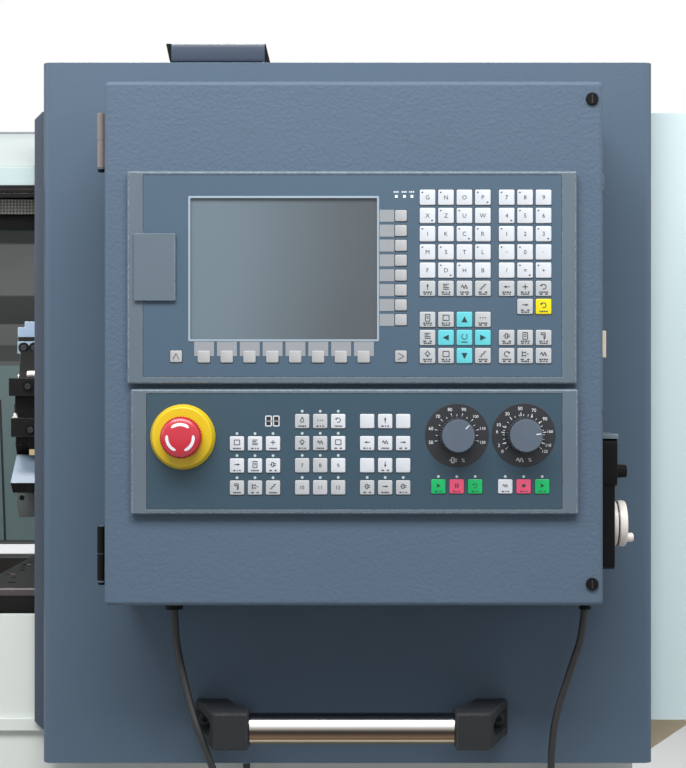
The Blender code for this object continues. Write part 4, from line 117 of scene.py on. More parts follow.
class LatheColours(bpy.types.PropertyGroup):
    """Colours of the lathe's paints and plastics."""
    door: colour("Door", (83, 100, 117), "Paint of the sliding door")
    cover: colour("Cover", (84, 101, 119), "Crinkled coat of the operator box")
    unit_frame: colour("Unit frame", (91, 105, 116), "Frames of the two operator units")
    display_field: colour("Display field", (67, 89, 107), "Key field of the display unit")
    control_field: colour("Control field", (47, 71, 86), "Key field of the lower unit")
    pale: colour("Guards", (206, 224, 227), "Pale paint of guards and roof")
    grey: colour("Base", (214, 219, 214), "Grey paint of base and apron")
    key_white: colour("Letter keys", (207, 211, 217), "Letter and number keys")
    key_grey: colour("Function keys", (182, 185, 188), "Function keys")
    key_cyan: colour("Cursor keys", (98, 198, 208), "Cursor keys")
    key_yellow: colour("Input keys", (228, 212, 16), "Tab and input keys")
    key_green: colour("Start keys", (10, 178, 98), "Start keys")
    key_red: colour("Stop keys", (224, 84, 118), "Stop keys")
    stop_yellow: colour("Stop collar", (220, 188, 4), "Collar of the emergency stop")
    stop_red: colour("Stop head", (190, 38, 56), "Head of the emergency stop")


def length(name, value, low, high, description):
    return bpy.props.FloatProperty(name=name, description=description, default=value, min=low, max=high, unit="LENGTH")


def power(name, value, description):
    return bpy.props.FloatProperty(name=name, description=description, default=value, min=0.0, max=1000.0)


class LatheSizes(bpy.types.PropertyGroup):
    """Sizes of the small details, and the lamps' levels."""
    key_height: length("Key height", 0.0011, 0.0004, 0.003, "How far a key stands over its field")
    key_corner: length("Key corner", 0.0011, 0.0002, 0.004, "Radius of a key's corners")
    letter: length("Letter height", 0.0056, 0.002, 0.01, "Height of the letters on the keys")
    tick: length("Tick width", 0.00045, 0.0001, 0.002, "Width of the marks round the dials")
    lamp_dot: length("Lamp dot", 0.0011, 0.0003, 0.003, "Radius of a dot of the lamp's screen")
    key_light: power("Key light", 66.0, "Power of the lamp above the front")
    fill_light: power("Fill light", 20.0, "Power of the lamps at the sides")
    sky: power("Sky", 0.3, "Strength of the light from all round")


# Shader node groups, each built once

def new_tree(name, kind, inputs, outputs):
    """An empty node tree with named sockets, and its input and output nodes.

    An input's value says its kind; a word is the kind of one that starts empty.
    """
    tree = bpy.data.node_groups.new(name, kind)
    for label, value in inputs:
        if isinstance(value, str):
            socket = value
        elif isinstance(value, tuple):
            socket = "Color" if len(value) == 4 else "Vector"
        else:
            socket = "Int" if isinstance(value, int) else "Float"
        made = tree.interface.new_socket(name=label, in_out="INPUT", socket_type="NodeSocket" + socket)
        if not isinstance(value, str):
            made.default_value = value
    for label, socket in outputs:
        tree.interface.new_socket(name=label, in_out="OUTPUT", socket_type="NodeSocket" + socket)
    return tree, tree.nodes.new("NodeGroupInput"), tree.nodes.new("NodeGroupOutput")


def node(tree, kind, inputs=(), **values):
    """A node with its properties and inputs set; names that start with an underscore set inputs by number."""
    made = tree.nodes.new(kind)
    for key, value in values.items():
        if key.startswith("_"):
            made.inputs[int(key[1:])].default_value = value
        else:
            setattr(made, key, value)
    for label, value in inputs:
        made.inputs[label].default_value = value
    return made


def maths(tree, operation, **values):
    """An arithmetic node."""
    return node(tree, "ShaderNodeMath", operation=operation, **values)


def wire(tree, *rows):
    """Links between nodes: each row is a node, its output, the next node and its input."""
    for source, leaving, target, entering in rows:
        tree.links.new(source.outputs[leaving], target.inputs[entering])


def paint_group():
    """Painted or plain surface: uneven tone, and rounded edges lighter, partly as rubbed paint and partly as a painted
    highlight.
    """
    if "surface_tone" in bpy.data.node_groups:
        return bpy.data.node_groups["surface_tone"]
    group, entry, leave = new_tree("surface_tone", "ShaderNodeTree", (("Colour", (0.5, 0.5, 0.5, 1.0)),
        ("Edge Colour", (0.8, 0.8, 0.8, 1.0)), ("Unevenness", 0.06), ("Rub And Sheen", 0.4), ("Roughness", 0.4), ("Scale", 9.0)),
        (("Colour", "Color"), ("Roughness", "Float")))
    place = node(group, "ShaderNodeTexCoord")
    broad = node(group, "ShaderNodeTexNoise", _3=4.0, _4=0.6)
    fine = node(group, "ShaderNodeTexNoise", _2=420.0, _3=3.0)
    spread = maths(group, "SUBTRACT", _1=0.5)
    amount = maths(group, "MULTIPLY")
    level = maths(group, "MULTIPLY_ADD", _1=2.0, _2=1.0)
    tone = node(group, "ShaderNodeVectorMath", operation="SCALE")
    edge = node(group, "ShaderNodeAttribute", attribute_name="edge")
    # Patchy mask of the lighter edges: partly rubbed paint, partly a painted highlight
    rubbed_and_lit = node(group, "ShaderNodeMapRange", _1=0.42, _2=0.62)
    mask = maths(group, "MULTIPLY")
    share = maths(group, "MULTIPLY")
    mixed = node(group, "ShaderNodeMix", data_type="RGBA")
    rough = maths(group, "MULTIPLY_ADD", _1=1.6)
    wire(group, (place, "Object", broad, "Vector"), (place, "Object", fine, "Vector"), (entry, "Scale", broad, "Scale"),
        (broad, "Fac", spread, 0), (spread, 0, amount, 0), (entry, "Unevenness", amount, 1), (amount, 0, level, 0),
        (entry, "Colour", tone, 0), (level, 0, tone, "Scale"), (fine, "Fac", rubbed_and_lit, 0), (edge, "Fac", mask, 0),
        (rubbed_and_lit, 0, mask, 1), (mask, 0, share, 0), (entry, "Rub And Sheen", share, 1), (share, 0, mixed, 0), (tone, 0, mixed, 6),
        (entry, "Edge Colour", mixed, 7), (mixed, 2, leave, "Colour"), (amount, 0, rough, 0),
        (entry, "Roughness", rough, 2), (rough, 0, leave, "Roughness"))
    return group


def relief_group():
    """Height of a coat: broad cells and fine grain, mixed."""
    if "coat_relief" in bpy.data.node_groups:
        return bpy.data.node_groups["coat_relief"]
    group, entry, leave = new_tree("coat_relief", "ShaderNodeTree", (("Cell Scale", 300.0), ("Grain Scale", 900.0),
        ("Cells", 0.5), ("Grain", 0.5)), (("Height", "Float"),))
    place = node(group, "ShaderNodeTexCoord")
    cells = node(group, "ShaderNodeTexVoronoi", feature="SMOOTH_F1")
    grain = node(group, "ShaderNodeTexNoise", _3=3.0, _4=0.55)
    bend = node(group, "ShaderNodeTexNoise", _2=140.0, _3=2.0)
    push = node(group, "ShaderNodeVectorMath", (("Scale", 0.004),), operation="SCALE")
    moved = node(group, "ShaderNodeVectorMath", operation="ADD")
    first = maths(group, "MULTIPLY")
    second = maths(group, "MULTIPLY_ADD")
    wire(group, (place, "Object", bend, "Vector"), (bend, "Color", push, 0), (place, "Object", moved, 0),
         (push, 0, moved, 1), (moved, 0, cells, "Vector"), (place, "Object", grain, "Vector"),
         (entry, "Cell Scale", cells, "Scale"), (entry, "Grain Scale", grain, "Scale"), (cells, "Distance", first, 0),
         (entry, "Cells", first, 1), (grain, "Fac", second, 0), (entry, "Grain", second, 1), (first, 0, second, 2),
         (second, 0, leave, "Height"))
    return group


def brushed_group():
    """Fine parallel machining lines along X: a tone factor, a roughness and a height."""
    if "machined_lines" in bpy.data.node_groups:
        return bpy.data.node_groups["machined_lines"]
    group, entry, leave = new_tree("machined_lines", "ShaderNodeTree", (("Along", (4.0, 600.0, 600.0)),
        ("Roughness", 0.3), ("Depth", 0.5)), (("Tone", "Float"), ("Roughness", "Float"), ("Height", "Float")))
    place = node(group, "ShaderNodeTexCoord")
    stretch = node(group, "ShaderNodeVectorMath", operation="MULTIPLY")
    lines = node(group, "ShaderNodeTexNoise", _2=1.0, _3=4.0, _4=0.65)
    tone = node(group, "ShaderNodeMapRange", _1=0.25, _2=0.75, _3=0.86, _4=1.12)
    rough = maths(group, "MULTIPLY_ADD", _1=0.22)
    height = maths(group, "MULTIPLY")
    wire(group, (place, "Object", stretch, 0), (entry, "Along", stretch, 1), (stretch, 0, lines, "Vector"),
         (lines, "Fac", tone, 0), (tone, 0, leave, "Tone"), (lines, "Fac", rough, 0), (entry, "Roughness", rough, 2),
         (rough, 0, leave, "Roughness"), (lines, "Fac", height, 0), (entry, "Depth", height, 1),
         (height, 0, leave, "Height"))
    return group


def new_finish(name, rows=(), tint=None):
    """A new material with its node tree and its shader, whose plain values are set."""
    made = bpy.data.materials.new(name)
    made.use_nodes = True
    if tint is not None:
        made.diffuse_color = (*tint, 1.0)
    surface = made.node_tree.nodes["Principled BSDF"]
    for label, value in rows:
        surface.inputs[label].default_value = value
    return made, made.node_tree, surface


def raise_grain(tree, shape, surface, strength, distance):
    """Turns a group's height into the surface's relief."""
    relief = node(tree, "ShaderNodeBump", (("Strength", strength), ("Distance", distance)))
    wire(tree, (shape, "Height", relief, "Height"), (relief, "Normal", surface, "Normal"))


def coated(name, tint, roughness, uneven, rub_and_sheen, edge=None, relief=PLAIN, bump=0.1, scale=9.0, coat=0.0, specular=0.5):
    """Paint, powder coat, plastic or rubber: tone, edges lighter by rubbing and a painted highlight, and a relief of
    cells and grain.
    """
    made, tree, surface = new_finish(name, (("Coat Weight", coat), ("Specular IOR Level", specular)), tint)
    # Lighter edge colour: partly rubbed paint, partly a painted highlight
    rubbed_and_lit = paint(*edge) if edge else EDGE_TINT
    tone = node(tree, "ShaderNodeGroup", (("Colour", (*tint, 1.0)), ("Edge Colour", (*rubbed_and_lit, 1.0)),
        ("Unevenness", uneven), ("Rub And Sheen", rub_and_sheen), ("Roughness", roughness), ("Scale", scale)), node_tree=paint_group())
    shape = node(tree, "ShaderNodeGroup", zip(("Cell Scale", "Grain Scale", "Cells", "Grain"), relief),
        node_tree=relief_group())
    wire(tree, (tone, "Colour", surface, "Base Color"), (tone, "Roughness", surface, "Roughness"))
    raise_grain(tree, shape, surface, bump, 0.0005)
    return made


def metal(name, tint, roughness, along, depth, bump):
    """Machined metal with fine lines in one direction."""
    made, tree, surface = new_finish(name, (("Metallic", 1.0),), tint)
    lines = node(tree, "ShaderNodeGroup", (("Along", along), ("Roughness", roughness), ("Depth", depth)),
        node_tree=brushed_group())
    tone = node(tree, "ShaderNodeVectorMath", operation="SCALE", _0=tint)
    wire(tree, (lines, "Tone", tone, "Scale"), (tone, 0, surface, "Base Color"),
         (lines, "Roughness", surface, "Roughness"))
    raise_grain(tree, lines, surface, bump, 0.0003)
    return made


# Share of the tube's height, and the colour painted there as a reflection of what the tube would mirror
TUBE_BANDS = ((0.0, 30, 27, 25), (0.065, 50, 44, 40), (0.13, 124, 112, 96), (0.195, 196, 178, 155), (0.235, 78, 60, 44),
    (0.29, 122, 99, 80), (0.36, 100, 82, 68), (0.43, 70, 60, 52), (0.485, 84, 78, 70), (0.55, 138, 132, 124),
    (0.615, 190, 185, 180), (0.66, 246, 244, 244), (0.775, 240, 240, 242), (0.81, 205, 205, 208), (0.87, 130, 130, 134),
    (0.935, 120, 120, 125))


def banded_tube(name):
    """Polished tube with a painted reflection: its base colour changes with height, in the bands that it would mirror.
    """
    made = metal(name, (0.74, 0.76, 0.78), 0.1, (3.0, 900.0, 900.0), 0.3, 0.03)
    tree = made.node_tree
    place = node(tree, "ShaderNodeTexCoord")
    parts = node(tree, "ShaderNodeSeparateXYZ")
    height = node(tree, "ShaderNodeMapRange", _1=TUBE_AXIS.z - TUBE_RADIUS, _2=TUBE_AXIS.z + TUBE_RADIUS)
    bands = node(tree, "ShaderNodeValToRGB")
    stops = bands.color_ramp.elements
    while len(stops) < len(TUBE_BANDS):
        stops.new(0.5)
    for stop, (share, *tone) in zip(stops, TUBE_BANDS):
        stop.position = share
    for stop, (share, *tone) in zip(stops, TUBE_BANDS):
        stop.color = (*paint(*tone), 1.0)
    wire(tree, (place, "Object", parts, 0), (parts, "Z", height, 0), (height, 0, bands, 0),
         (bands, 0, tree.nodes["Principled BSDF"], "Base Color"))
    return made


# Paints, plastics and rubber: short name, name, colour or the name of its setting, roughness, unevenness,
# lighter edges by rubbing and painted highlight, edge colour, relief, its strength, scale, coat and mirror level
PAINTS = (
    ("door", "door_paint", "door", 0.4, 0.05, 0.55, (150, 164, 178), CRINKLE, 0.32, 3.0, 0.0, 0.22),
    ("cover", "cover_crinkle", "cover", 0.52, 0.05, 0.45, (150, 166, 182), CRINKLE, 0.85, 5.0, 0.0, 0.25),
    ("unit", "unit_frame", "unit_frame", 0.42, 0.05, 0.35, (170, 180, 190), GRAIN, 0.1),
    ("display_field", "display_field", "display_field", 0.46, 0.06, 0.1, None, GRAIN, 0.07),
    ("control_field", "control_field", "control_field", 0.46, 0.06, 0.1, None, GRAIN, 0.07),
    ("pale", "pale_paint", "pale", 0.38, 0.03, 0.3, (238, 243, 244), PEEL, 0.06, 2.5),
    ("grey", "machine_grey", "grey", 0.42, 0.05, 0.3, (222, 226, 226), PEEL, 0.07, 2.5),
    ("inner", "inner_wall", (90, 91, 91), 0.48, 0.16, 0.2, (190, 192, 188), PEEL, 0.08, 6.0),
    ("black", "black_plastic", (11, 11, 12), 0.5, 0.1, 0.35, (58, 60, 63), GRAIN, 0.12, 20.0, 0.0, 0.12),
    ("rail", "rail_black", (25, 24, 24), 0.38, 0.14, 0.5, (84, 85, 87), GRAIN, 0.08, 20.0, 0.0, 0.14),
    ("bracket", "bracket_black", (46, 48, 50), 0.5, 0.12, 0.5, (84, 84, 86), GRAIN, 0.22, 30.0, 0.0, 0.12),
    ("strip", "strip_black", (36, 39, 44), 0.55, 0.12, 0.3, (80, 84, 88), GRAIN, 0.12, 20.0),
    ("motor", "motor_black", (44, 46, 49), 0.5, 0.12, 0.5, (100, 102, 105), GRAIN, 0.2, 14.0),
    ("rubber", "cable_rubber", (26, 26, 28), 0.5, 0.1, 0.0, None, GRAIN, 0.08, 40.0),
    ("white", "white_plastic", (236, 228, 222), 0.34, 0.03, 0.1, None, GRAIN, 0.05, 30.0),
    ("knob", "knob_blue_grey", (84, 95, 110), 0.4, 0.08, 0.5, (150, 160, 172), GRAIN, 0.1, 40.0),
    ("dial", "dial_disc", (29, 31, 36), 0.48, 0.08, 0.2, None, GRAIN, 0.06, 30.0),
    ("mark", "mark_white", (226, 232, 236), 0.5, 0.03, 0.0, None, GRAIN, 0.03),
    ("ink", "mark_dark", (42, 50, 59), 0.5, 0.05, 0.0, None, GRAIN, 0.03),
    ("key_white", "key_white", "key_white", 0.4, 0.03, 0.2, (250, 250, 250), GRAIN, 0.06, 60.0),
    ("key_grey", "key_grey", "key_grey", 0.4, 0.03, 0.2, (214, 220, 224), GRAIN, 0.06, 60.0),
    ("key_cyan", "key_cyan", "key_cyan", 0.38, 0.03, 0.1, None, GRAIN, 0.06, 60.0),
    ("key_yellow", "key_yellow", "key_yellow", 0.38, 0.03, 0.1, None, GRAIN, 0.06, 60.0),
    ("key_green", "key_green", "key_green", 0.38, 0.03, 0.1, None, GRAIN, 0.06, 60.0),
    ("key_red", "key_red", "key_red", 0.38, 0.03, 0.1, None, GRAIN, 0.06, 60.0),
    ("key_label", "key_label", (146, 150, 155), 0.44, 0.03, 0.1, None, GRAIN, 0.06, 60.0),
    ("key_stone", "key_stone", (172, 173, 174), 0.4, 0.03, 0.1, None, GRAIN, 0.06, 60.0),
    ("rim", "screen_rim", (150, 166, 178), 0.36, 0.04, 0.2, None, GRAIN, 0.05),
    ("cursor", "cursor_ink", (18, 48, 56), 0.5, 0.03, 0.0, None, GRAIN, 0.03),
    ("light_dot", "light_dot", (186, 202, 206), 0.3, 0.03, 0.0, None, GRAIN, 0.03),
    ("stop_ring", "stop_ring", (176, 24, 42), 0.36, 0.05, 0.2, (226, 84, 92), GRAIN, 0.06, 40.0),
    ("knob_skirt", "knob_skirt", (52, 58, 65), 0.42, 0.08, 0.4, (110, 118, 126), GRAIN, 0.1, 40.0),
    ("switch_red", "switch_red", (196, 40, 44), 0.34, 0.05, 0.2, None, GRAIN, 0.06),
    ("stop_yellow", "stop_yellow", "stop_yellow", 0.32, 0.03, 0.2, None, GRAIN, 0.05, 9.0, 0.2),
    ("stop_red", "stop_red", "stop_red", 0.3, 0.05, 0.2, (236, 90, 96), GRAIN, 0.06, 40.0, 0.3),
    ("window", "window_dark", (38, 24, 26), 0.2, 0.03, 0.0, None, GRAIN, 0.02),
    ("digit_red", "digit_red", (225, 60, 52), 0.4, 0.02, 0.0, None, GRAIN, 0.02),
    ("led_off", "led_off", (48, 62, 66), 0.25, 0.05, 0.0, None, GRAIN, 0.02),
    ("led_green", "led_green", (60, 190, 120), 0.25, 0.05, 0.0, None, GRAIN, 0.02),
    ("lamp_screen", "lamp_screen", (138, 139, 135), 0.5, 0.1, 0.1, None, GRAIN, 0.1),
    # Header lip: a darker copy of the guard paint, painted shade against the strong lamp light on it
    ("lip", "header_lip", (186, 204, 204), 0.42, 0.02, 0.1, None, PEEL, 0.05, 2.5),
    ("seam", "seam_grey", (128, 134, 136), 0.5, 0.05, 0.0, None, GRAIN, 0.04),
    ("pan", "pan_beige", (226, 206, 176), 0.4, 0.06, 0.4, (222, 218, 208), PEEL, 0.08, 4.0),
    ("green_grey", "wall_green_grey", (122, 144, 145), 0.55, 0.14, 0.1, None, PEEL, 0.08),
    ("hinge", "hinge_brown", (122, 112, 108), 0.34, 0.1, 0.4, (190, 186, 182), GRAIN, 0.1, 30.0),
    ("lock", "lock_cream", (216, 208, 188), 0.36, 0.05, 0.2, None, GRAIN, 0.05, 30.0),
    ("cabinet", "cabinet_paint", (206, 209, 207), 0.4, 0.04, 0.3, (232, 234, 233), PEEL, 0.08, 2.5),
    ("holder", "holder_blue_grey", (112, 128, 146), 0.34, 0.08, 0.5, (196, 206, 214), GRAIN, 0.08, 30.0),
    ("holder_grey", "holder_grey", (84, 88, 88), 0.4, 0.1, 0.4, (160, 164, 162), GRAIN, 0.1, 30.0),
    # Black of dark parts, and painted shade of holes and slots drawn as flat marks
    ("bore", "bore_black", (9, 9, 10), 0.6, 0.05, 0.0, None, GRAIN, 0.05, 9.0, 0.0, 0.15),
    # Roof: a darker copy of the guard paint, painted shade against the strong lamp light on top
    ("roof", "roof_paint", (169, 180, 178), 0.42, 0.04, 0.3, (224, 230, 229), PEEL, 0.07, 2.5),
    ("edge_strip", "edge_strip", (66, 76, 90), 0.46, 0.1, 0.3, (104, 114, 126), GRAIN, 0.12, 20.0),
    ("dot", "screen_dot", (224, 220, 204), 0.42, 0.35, 0.0, None, GRAIN, 0.03, 160.0),
    # Dark brown sheet below the ledge: painted shade of the hollow behind the slide
    ("floor_brown", "wall_foot_brown", (44, 36, 33), 0.55, 0.2, 0.1, None, GRAIN, 0.1, 20.0),
    ("bracket_paint", "bracket_paint", (62, 73, 88), 0.38, 0.05, 0.5, (150, 162, 176), PEEL, 0.08, 3.0, 0.0, 0.25),
    ("ledge", "white_ledge", (243, 242, 244), 0.42, 0.02, 0.1, None, GRAIN, 0.04),
    ("screw_black", "screw_black", (36, 36, 38), 0.36, 0.1, 0.5, (120, 120, 122), GRAIN, 0.08),
    # Dark patches round the keys: painted shade between the keys
    ("gap", "key_gap", (33, 45, 57), 0.6, 0.05, 0.0, None, PLAIN, 0.03),
)

# Metals: short name, name, tint, roughness, run of the lines, their depth and relief
METALS = (
    ("steel", "machined_steel", (0.58, 0.59, 0.6), 0.26, (900.0, 60.0, 60.0), 0.5, 0.08),
    ("iron", "cast_iron", (0.26, 0.28, 0.29), 0.38, (240.0, 240.0, 240.0), 0.8, 0.2),
    ("brass", "brass_ring", (0.68, 0.55, 0.32), 0.3, (300.0, 300.0, 300.0), 0.4, 0.05),
    ("screw", "screw_steel", (0.5, 0.51, 0.53), 0.28, (500.0, 500.0, 500.0), 0.4, 0.06),
    ("slide", "slide_plate", (0.105, 0.094, 0.094), 0.34, (300.0, 300.0, 300.0), 0.6, 0.12),
    ("screw_dark", "screw_dark_steel", (0.06, 0.06, 0.065), 0.34, (500.0, 500.0, 500.0), 0.4, 0.06),
)


def finishes():
    """Every finish of the lathe by its short name; each is made once."""
    tints = bpy.context.scene.lathe_colours
    ready = bpy.data.materials.get
    kit = {}
    for short, name, tint, *values in PAINTS:
        name = f"{name}_finish"
        tint = getattr(tints, tint) if isinstance(tint, str) else paint(*tint)
        kit[short] = ready(name) or coated(name, tint, *values)
    for short, name, *values in METALS:
        name = f"{name}_finish"
        kit[short] = ready(name) or metal(name, *values)
    kit["chrome"] = ready("polished_tube_finish") or banded_tube("polished_tube_finish")
    # The ledge emits light though it is no lamp: a painted reflection
    painted_reflection = kit["ledge"].node_tree.nodes["Principled BSDF"].inputs
    painted_reflection["Emission Color"].default_value = (1.0, 1.0, 1.0, 1.0)
    painted_reflection["Emission Strength"].default_value = LEDGE_PAINTED_REFLECTION
    return kit


# Mesh helpers

def close_piece(name, forms, finish, body, replaces=(), smooth=38.0, weighted=True):
    """A finished piece that rides on a body, from a bmesh or from rows of a form and its values."""
    bm = forms
    if isinstance(forms, list):
        bm = bmesh.new()
        for form, *values in forms:
            form(bm, *values)
    mesh = bpy.data.meshes.new(name)
    bm.to_mesh(mesh)
    bm.free()
    return close_mesh(name, mesh, finish, body, replaces, smooth, weighted)


def close_mesh(name, mesh, finish, body, replaces=(), smooth=38.0, weighted=True):
    """Gives a mesh its finish and shading and makes it a piece that rides on a body."""
    mesh.materials.clear()
    mesh.materials.append(finish)
    mesh.shade_smooth()
    mesh.set_sharp_from_angle(angle=math.radians(smooth))
    item = bpy.data.objects.new(name, mesh)
    bpy.context.scene.collection.objects.link(item)
    if weighted:
        shading = item.modifiers.new("shading", "WEIGHTED_NORMAL")
        shading.keep_sharp = True
        shading.weight = 60
    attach(item, body)
    if replaces:
        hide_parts(*replaces)
    return item


def mark_edges(bm, faces):
    """Notes which faces are rounded edges, for the rubbed paint and the painted highlight on them."""
    layer = bm.faces.layers.float.get("edge") or bm.faces.layers.float.new("edge")
    for face in faces:
        if face.is_valid:
            face[layer] = 1.0


def round_edges(bm, width, segments=2, limit=35.0, keep=None):
    """Rounds the edges that are sharper than a limit, and notes the new faces."""
    layer = bm.faces.layers.float.get("edge") or bm.faces.layers.float.new("edge")
    edges = [edge for edge in bm.edges if len(edge.link_faces) == 2
             and edge.calc_face_angle(0.0) > math.radians(limit) and (keep is None or keep(edge))]
    if not edges:
        return
    made = bmesh.ops.bevel(bm, geom=edges, offset=width, segments=segments, profile=0.5, affect="EDGES",
        clamp_overlap=True)
    mark_edges(bm, made["faces"])


def ring(axis, centre, radius, distance, count, wave=None):
    """Points of a circle across an axis, which wave(index) may push in."""
    places = []
    for index in range(count):
        angle = 2 * math.pi * index / count
        reach = radius - (wave(index) if wave else 0.0)
        across, up = reach * math.cos(angle), reach * math.sin(angle)
        if axis == "X":
            places.append(centre + Vector((distance, across, up)))
        elif axis == "Y":
            places.append(centre + Vector((across, distance, up)))
        else:
            places.append(centre + Vector((across, up, distance)))
    return places


def ribbed(depth):
    """A wave for ring() that sinks every second pair of its points."""
    return lambda index: depth if index % 4 in (2, 3) else 0.0


def skin(bm, loops, closed_ends=True, ring_closed=False):
    """Faces through loops of equally many points, facing outward."""
    rings = [[bm.verts.new(place) for place in loop] for loop in loops]
    count = len(rings[0])
    made = []
    pairs = list(zip(rings, rings[1:]))
    if ring_closed:
        pairs.append((rings[-1], rings[0]))
    for low, high in pairs:
        for index in range(count):
            after = (index + 1) % count
            made.append(bm.faces.new((low[index], low[after], high[after], high[index])))
    if closed_ends and not ring_closed:
        made += [bm.faces.new(rings[0]), bm.faces.new(rings[-1])]
    bmesh.ops.recalc_face_normals(bm, faces=made)
    return made


def lathe_form(bm, axis, centre, profile, count=48, ring_closed=False, wave=None):
    """A round form through (radius, distance) points about an axis."""
    loops = [ring(axis, centre, radius, distance, count, wave) for radius, distance in profile]
    return skin(bm, loops, not ring_closed, ring_closed)


def outline(low_across, low_up, high_across, high_up, radius, steps=5):
    """A rectangle's outline with round corners."""
    corners = ((high_across - radius, high_up - radius, 0), (low_across + radius, high_up - radius, 90),
        (low_across + radius, low_up + radius, 180), (high_across - radius, low_up + radius, 270))
    places = []
    for across, up, begin in corners:
        for step in range(steps + 1):
            angle = math.radians(begin + 90 * step / steps)
            places.append((across + radius * math.cos(angle), up + radius * math.sin(angle)))
    return places


def block(bm, low, high, edge=0.0, segments=2):
    """A block between two places of the lathe, with rounded edges."""
    part = bmesh.new()
    bmesh.ops.create_cube(part, size=1.0)
    size = Vector(high) - Vector(low)
    middle = at(*((Vector(high) + Vector(low)) / 2))
    for vertex in part.verts:
        vertex.co = Vector((vertex.co.x * size.x, vertex.co.y * size.y, vertex.co.z * size.z)) + middle
    if edge:
        round_edges(part, edge, segments)
    join_into(bm, part)


def join_into(bm, part):
    mesh = bpy.data.meshes.new("part")
    part.to_mesh(mesh)
    part.free()
    bm.from_mesh(mesh)
    bpy.data.meshes.remove(mesh)


def prism_form(bm, axis, places, start, end, edge=0.0, segments=2):
    """An outline in the plane across an axis, made into a solid along it."""
    part = bmesh.new()
    loops = []
    for along in (start, end):
        if axis == "X":
            loops.append([at(along, first, second) for first, second in places])
        elif axis == "Y":
            loops.append([at(first, along, second) for first, second in places])
        else:
            loops.append([at(first, second, along) for first, second in places])
    skin(part, loops)
    if edge:
        round_edges(part, edge, segments)
    join_into(bm, part)


def node_copy(name):
    """A merged copy of a CAD node's mesh, without the edges inside its flat faces."""
    bm = bmesh.new()
    bm.from_mesh(frame["nodes"][name].data)
    bmesh.ops.remove_doubles(bm, verts=bm.verts, dist=2e-6)
    bmesh.ops.dissolve_limit(bm, angle_limit=0.004, verts=bm.verts, edges=bm.edges)
    return bm


def dress(kit, *rows):
    """CAD nodes with their sharp edges rounded: name, finish, width, and segments and limit where they differ."""
    for name, finish, *values in rows:
        bm = node_copy(name)
        round_edges(bm, *values)
        close_piece(f"{name}_shell", bm, kit[finish], BODY_OF[name], (name,))


# Geometry node trees for what repeats

def new_shape_tree(name, inputs):
    """An empty geometry tree that takes and gives a geometry."""
    return new_tree(name, "GeometryNodeTree", (("Geometry", "Geometry"), *inputs), (("Geometry", "Geometry"),))


def close_tree(tree, entry, leave, instances):
    """Ends a tree in Realize Instances and Set Material."""
    real = node(tree, "GeometryNodeRealizeInstances")
    coat = node(tree, "GeometryNodeSetMaterial")
    wire(tree, (instances, 0, real, 0), (real, 0, coat, "Geometry"), (entry, "Finish", coat, "Material"),
         (coat, 0, leave, 0))
    return tree


def key_cap_tree():
    """Key caps with round corners, one at each point, standing towards -Y."""
    if "key_caps" in bpy.data.node_groups:
        return bpy.data.node_groups["key_caps"]
    tree, entry, leave = new_shape_tree("key_caps", (("Width", 0.0145), ("Height", 0.0143), ("Thickness", 0.0011),
        ("Corner", 0.0011), ("Finish", "Material")))
    link = tree.links.new
    rectangle = node(tree, "GeometryNodeCurvePrimitiveQuadrilateral")
    fillet = node(tree, "GeometryNodeFilletCurve", (("Count", 3), ("Limit Radius", True)), mode="POLY")
    fill = node(tree, "GeometryNodeFillCurve", mode="NGONS")
    geometry, top = fill.outputs[0], None
    for share, size in ((0.72, 1.0), (0.18, 0.975), (0.1, 0.93)):
        rise = maths(tree, "MULTIPLY", _1=share)
        lift = node(tree, "GeometryNodeExtrudeMesh", (("Individual", False),))
        wire(tree, (entry, "Thickness", rise, 0), (rise, 0, lift, "Offset Scale"))
        link(geometry, lift.inputs["Mesh"])
        if top is not None:
            link(top, lift.inputs["Selection"])
        geometry, top = lift.outputs["Mesh"], lift.outputs["Top"]
        if size != 1.0:
            shrink = node(tree, "GeometryNodeScaleElements", (("Scale", size),))
            link(geometry, shrink.inputs["Geometry"])
            link(top, shrink.inputs["Selection"])
            geometry = shrink.outputs[0]
    back = node(tree, "GeometryNodeFlipFaces")
    both = node(tree, "GeometryNodeJoinGeometry")
    merged = node(tree, "GeometryNodeMergeByDistance", (("Distance", 1e-6),))
    spread = node(tree, "GeometryNodeInstanceOnPoints", (("Rotation", FACING["-Y"]),))
    wire(tree, (fill, 0, back, 0), (back, 0, both, 0))
    link(geometry, both.inputs[0])
    wire(tree, (entry, "Width", rectangle, "Width"), (entry, "Height", rectangle, "Height"),
        (rectangle, 0, fillet, "Curve"), (entry, "Corner", fillet, "Radius"), (fillet, 0, fill, 0),
        (both, 0, merged, "Geometry"), (entry, "Geometry", spread, "Points"), (merged, 0, spread, "Instance"))
    return close_tree(tree, entry, leave, spread)


def part_tree():
    """A small part, one at each point, turned by the points' own angles."""
    if "parts_at_points" in bpy.data.node_groups:
        return bpy.data.node_groups["parts_at_points"]
    tree, entry, leave = new_shape_tree("parts_at_points", (("Part", "Object"), ("Size", 1.0), ("Finish", "Material")))
    source = node(tree, "GeometryNodeObjectInfo")
    angles = node(tree, "GeometryNodeInputNamedAttribute", (("Name", "turn"),), data_type="FLOAT_VECTOR")
    spread = node(tree, "GeometryNodeInstanceOnPoints")
    wire(tree, (entry, "Part", source, "Object"), (entry, "Geometry", spread, "Points"),
         (source, "Geometry", spread, "Instance"), (angles, "Attribute", spread, "Rotation"),
         (entry, "Size", spread, "Scale"))
    return close_tree(tree, entry, leave, spread)


